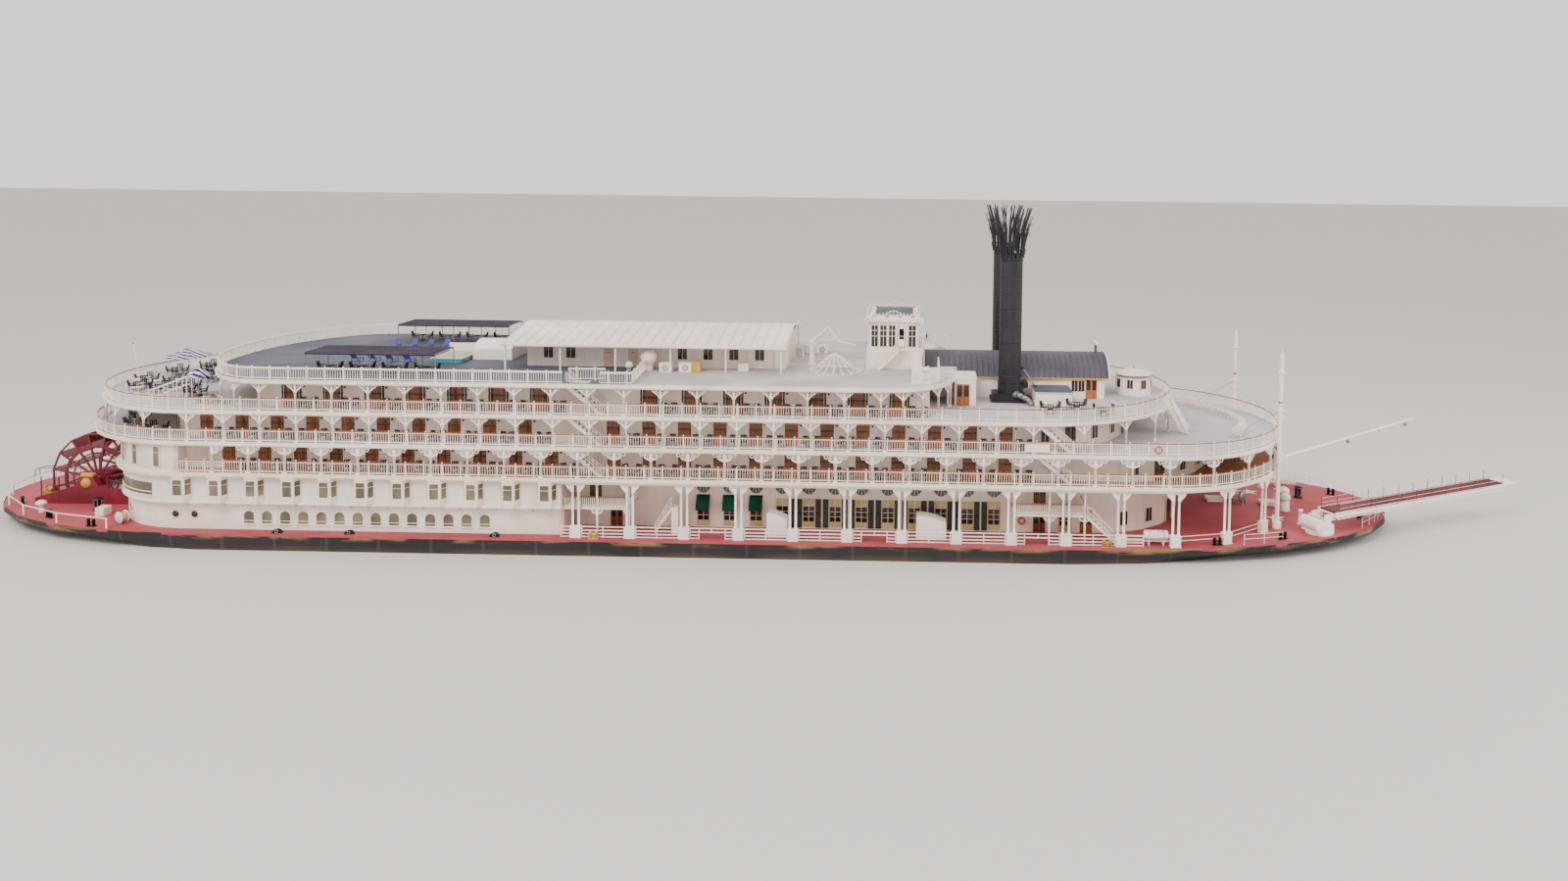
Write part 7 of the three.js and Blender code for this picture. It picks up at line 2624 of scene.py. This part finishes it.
@dataclass
class Studio:
    """Pale floor at the water, soft light and the photograph's camera."""

    eye: Point = (2.002, -10.64, 3.474)
    pitch: float = math.radians(3.66)
    roll: float = 0.0119
    yaw: float = -0.0155
    focal: float = 1175.4
    image_width: float = 1600.0
    principal: Point = (914.5, 248.9)
    image_middle: Point = (800.0, 449.5)

    def camera(self) -> None:
        """Sets the camera from the fitted view."""
        cp, sp = math.cos(self.pitch), math.sin(self.pitch)
        ahead = Vector((math.sin(self.yaw) * cp, math.cos(self.yaw) * cp, -sp))
        level = Vector((math.cos(self.yaw), -math.sin(self.yaw), 0.0))
        down = ahead.cross(level)
        cr, sr = math.cos(self.roll), math.sin(self.roll)
        right = cr * level - sr * down
        down = sr * level + cr * down
        basis = Matrix((right, -down, -ahead)).transposed().to_4x4()
        data = bpy.data.cameras.new("view_from_bank")
        data.sensor_width = 36.0
        data.lens = self.focal * data.sensor_width / self.image_width
        data.shift_x = (self.image_middle[0] - self.principal[0]) / self.image_width
        data.shift_y = (self.principal[1] - self.image_middle[1]) / self.image_width
        data.clip_end = 300.0
        camera = bpy.data.objects.new("view_from_bank", data)
        camera.matrix_world = Matrix.Translation(Vector(self.eye)) @ basis
        bpy.context.scene.collection.objects.link(camera)
        bpy.context.scene.camera = camera

    def lights(self) -> None:
        """A bright even sky and one broad key from above the camera."""
        world = bpy.data.worlds.new("studio_sky")
        world.use_nodes = True
        world.node_tree.nodes["Background"].inputs["Color"].default_value = linear("#F7EFEA")
        world.node_tree.nodes["Background"].inputs["Strength"].default_value = 1.45
        bpy.context.scene.world = world
        for name, place, target, size, power in (
                ("key", (-6.0, -14.0, 16.0), (0, 0, 0.8), 9.0, 3600.0),
                                                 ("fill", (14.0, -6.0, 8.0), (2, 0, 0.8), 8.0, 1000.0)):
            data = bpy.data.lights.new(name, "AREA")
            data.energy = power
            data.size = size
            lamp = bpy.data.objects.new(name, data)
            lamp.location = place
            lamp.rotation_euler = (Vector(target) - Vector(place)).to_track_quat("-Z", "Y").to_euler()
            bpy.context.scene.collection.objects.link(lamp)

    def floor(self) -> None:
        """A pale floor at the waterline."""
        bm = bmesh.new()
        bmesh.ops.create_grid(bm, x_segments=1, y_segments=1, size=120.0,
                              matrix=Matrix.Translation((0, 0, WATERLINE)))
        mesh = bpy.data.meshes.new("studio_floor")
        bm.to_mesh(mesh)
        bm.free()
        material = bpy.data.materials.new("floor_paper")
        material.use_nodes = True
        material.node_tree.nodes.clear()
        surfaced(material.node_tree, "#C9C6C2", 0.85)
        mesh.materials.append(material)
        ground = bpy.data.objects.new("studio_floor", mesh)
        bpy.context.scene.collection.objects.link(ground)

    def build(self) -> None:
        """Camera, lights and floor."""
        self.camera()
        self.lights()
        self.floor()


def dress_solids() -> None:
    """Finishes for the solids of the frame that stay in view."""
    dress(HULL, "hull")
    dress(RED_DECK, "main_deck")
    dress(BROWN_DECK, "deck_3")
    dress(GREY_DECK, "deck_4", "deck_5")
    dress(ROOF_COAT, "roof_deck")
    dress(WHITE, "mezzanine_deck", "aft_house_lower",
          "stern_rail", "round_house", "texas_house", "pilothouse", "pilothouse_door_starboard",
          "pilothouse_door_port",
          "sun_house", "sun_house_roof", "barrel_locker", "radome", "crane_post",
          "crane_jib", "mast_port", "mast_starboard", "boom_gooseneck", "boom", "stage_span",
          "stage_turntable", "stage_flap", "radar_bar",
          "fore_cabin")
    dress(GALLERY_WALL, "midships_house")
    dress(WALL, "cabins_3", "cabins_4", "cabins_5")
    dress(BARREL_GREY, "fore_cabin_roof")
    dress(CRIMSON, "paddlewheel", "wheel_arm_starboard", "wheel_arm_port")
    dress(STACK, "stack_starboard", "stack_port", "stack_base_starboard", "stack_base_port")
    dress(IRON, "capstan_bow", "capstan_stern")
    dress(STEEL, "drive_starboard", "drive_port", "stack_brace_starboard", "stack_brace_port")
    dress(BRONZE, "propeller_starboard", "propeller_port")


def main() -> None:
    """Builds the studio and every sub-assembly in order."""
    logging.basicConfig(level=logging.INFO, format="%(name)s %(message)s")
    Studio().build()
    dress_solids()
    Fascias().build()
    for veranda in (
            Veranda("deck_3", DECK_3_PLAN, DECK_3, DECK_4, Lace.SCROLL, 0.011, DECK_4_PLAN,
                    (DoorRow(-3.742, 0.3033, 10), DoorRow(-0.488, 0.2973, 12)), open_aft=-4.08,
                    flights=((-0.560, -0.860), (3.330, 3.030))),
            Veranda("deck_4", DECK_4_PLAN, DECK_4, DECK_5, Lace.FAN, 0.009, DECK_5_PLAN,
                    (DoorRow(-3.924, 0.299, 10), DoorRow(-0.492, 0.2983, 12)),
                    flights=((-0.560, -0.860), (3.330, 3.030))),
            Veranda("deck_5", DECK_5_PLAN, DECK_5, ROOF, Lace.FAN, 0.009, ROOF_PLAN,
                    (DoorRow(-3.198, 0.3486, 7), DoorRow(-0.181, 0.3465, 7)), Joinery.WIDE,
                    flights=((-0.560, -0.860),))):
        veranda.build()
    for assembly in (RoofRail(), Gallery(), MidshipsWall(), Balconies(), AftHouse(), SternWheel(),
                     SternDeck(),
                     AftTerraces(), Stacks(), Pilothouse(), SunDeck(), ForeCabin(), Foredeck(),
                     StageAndBoom(),
                     ForeTerraces(), HullTrim()):
        assembly.build()


if __name__ == "__main__":
    main()
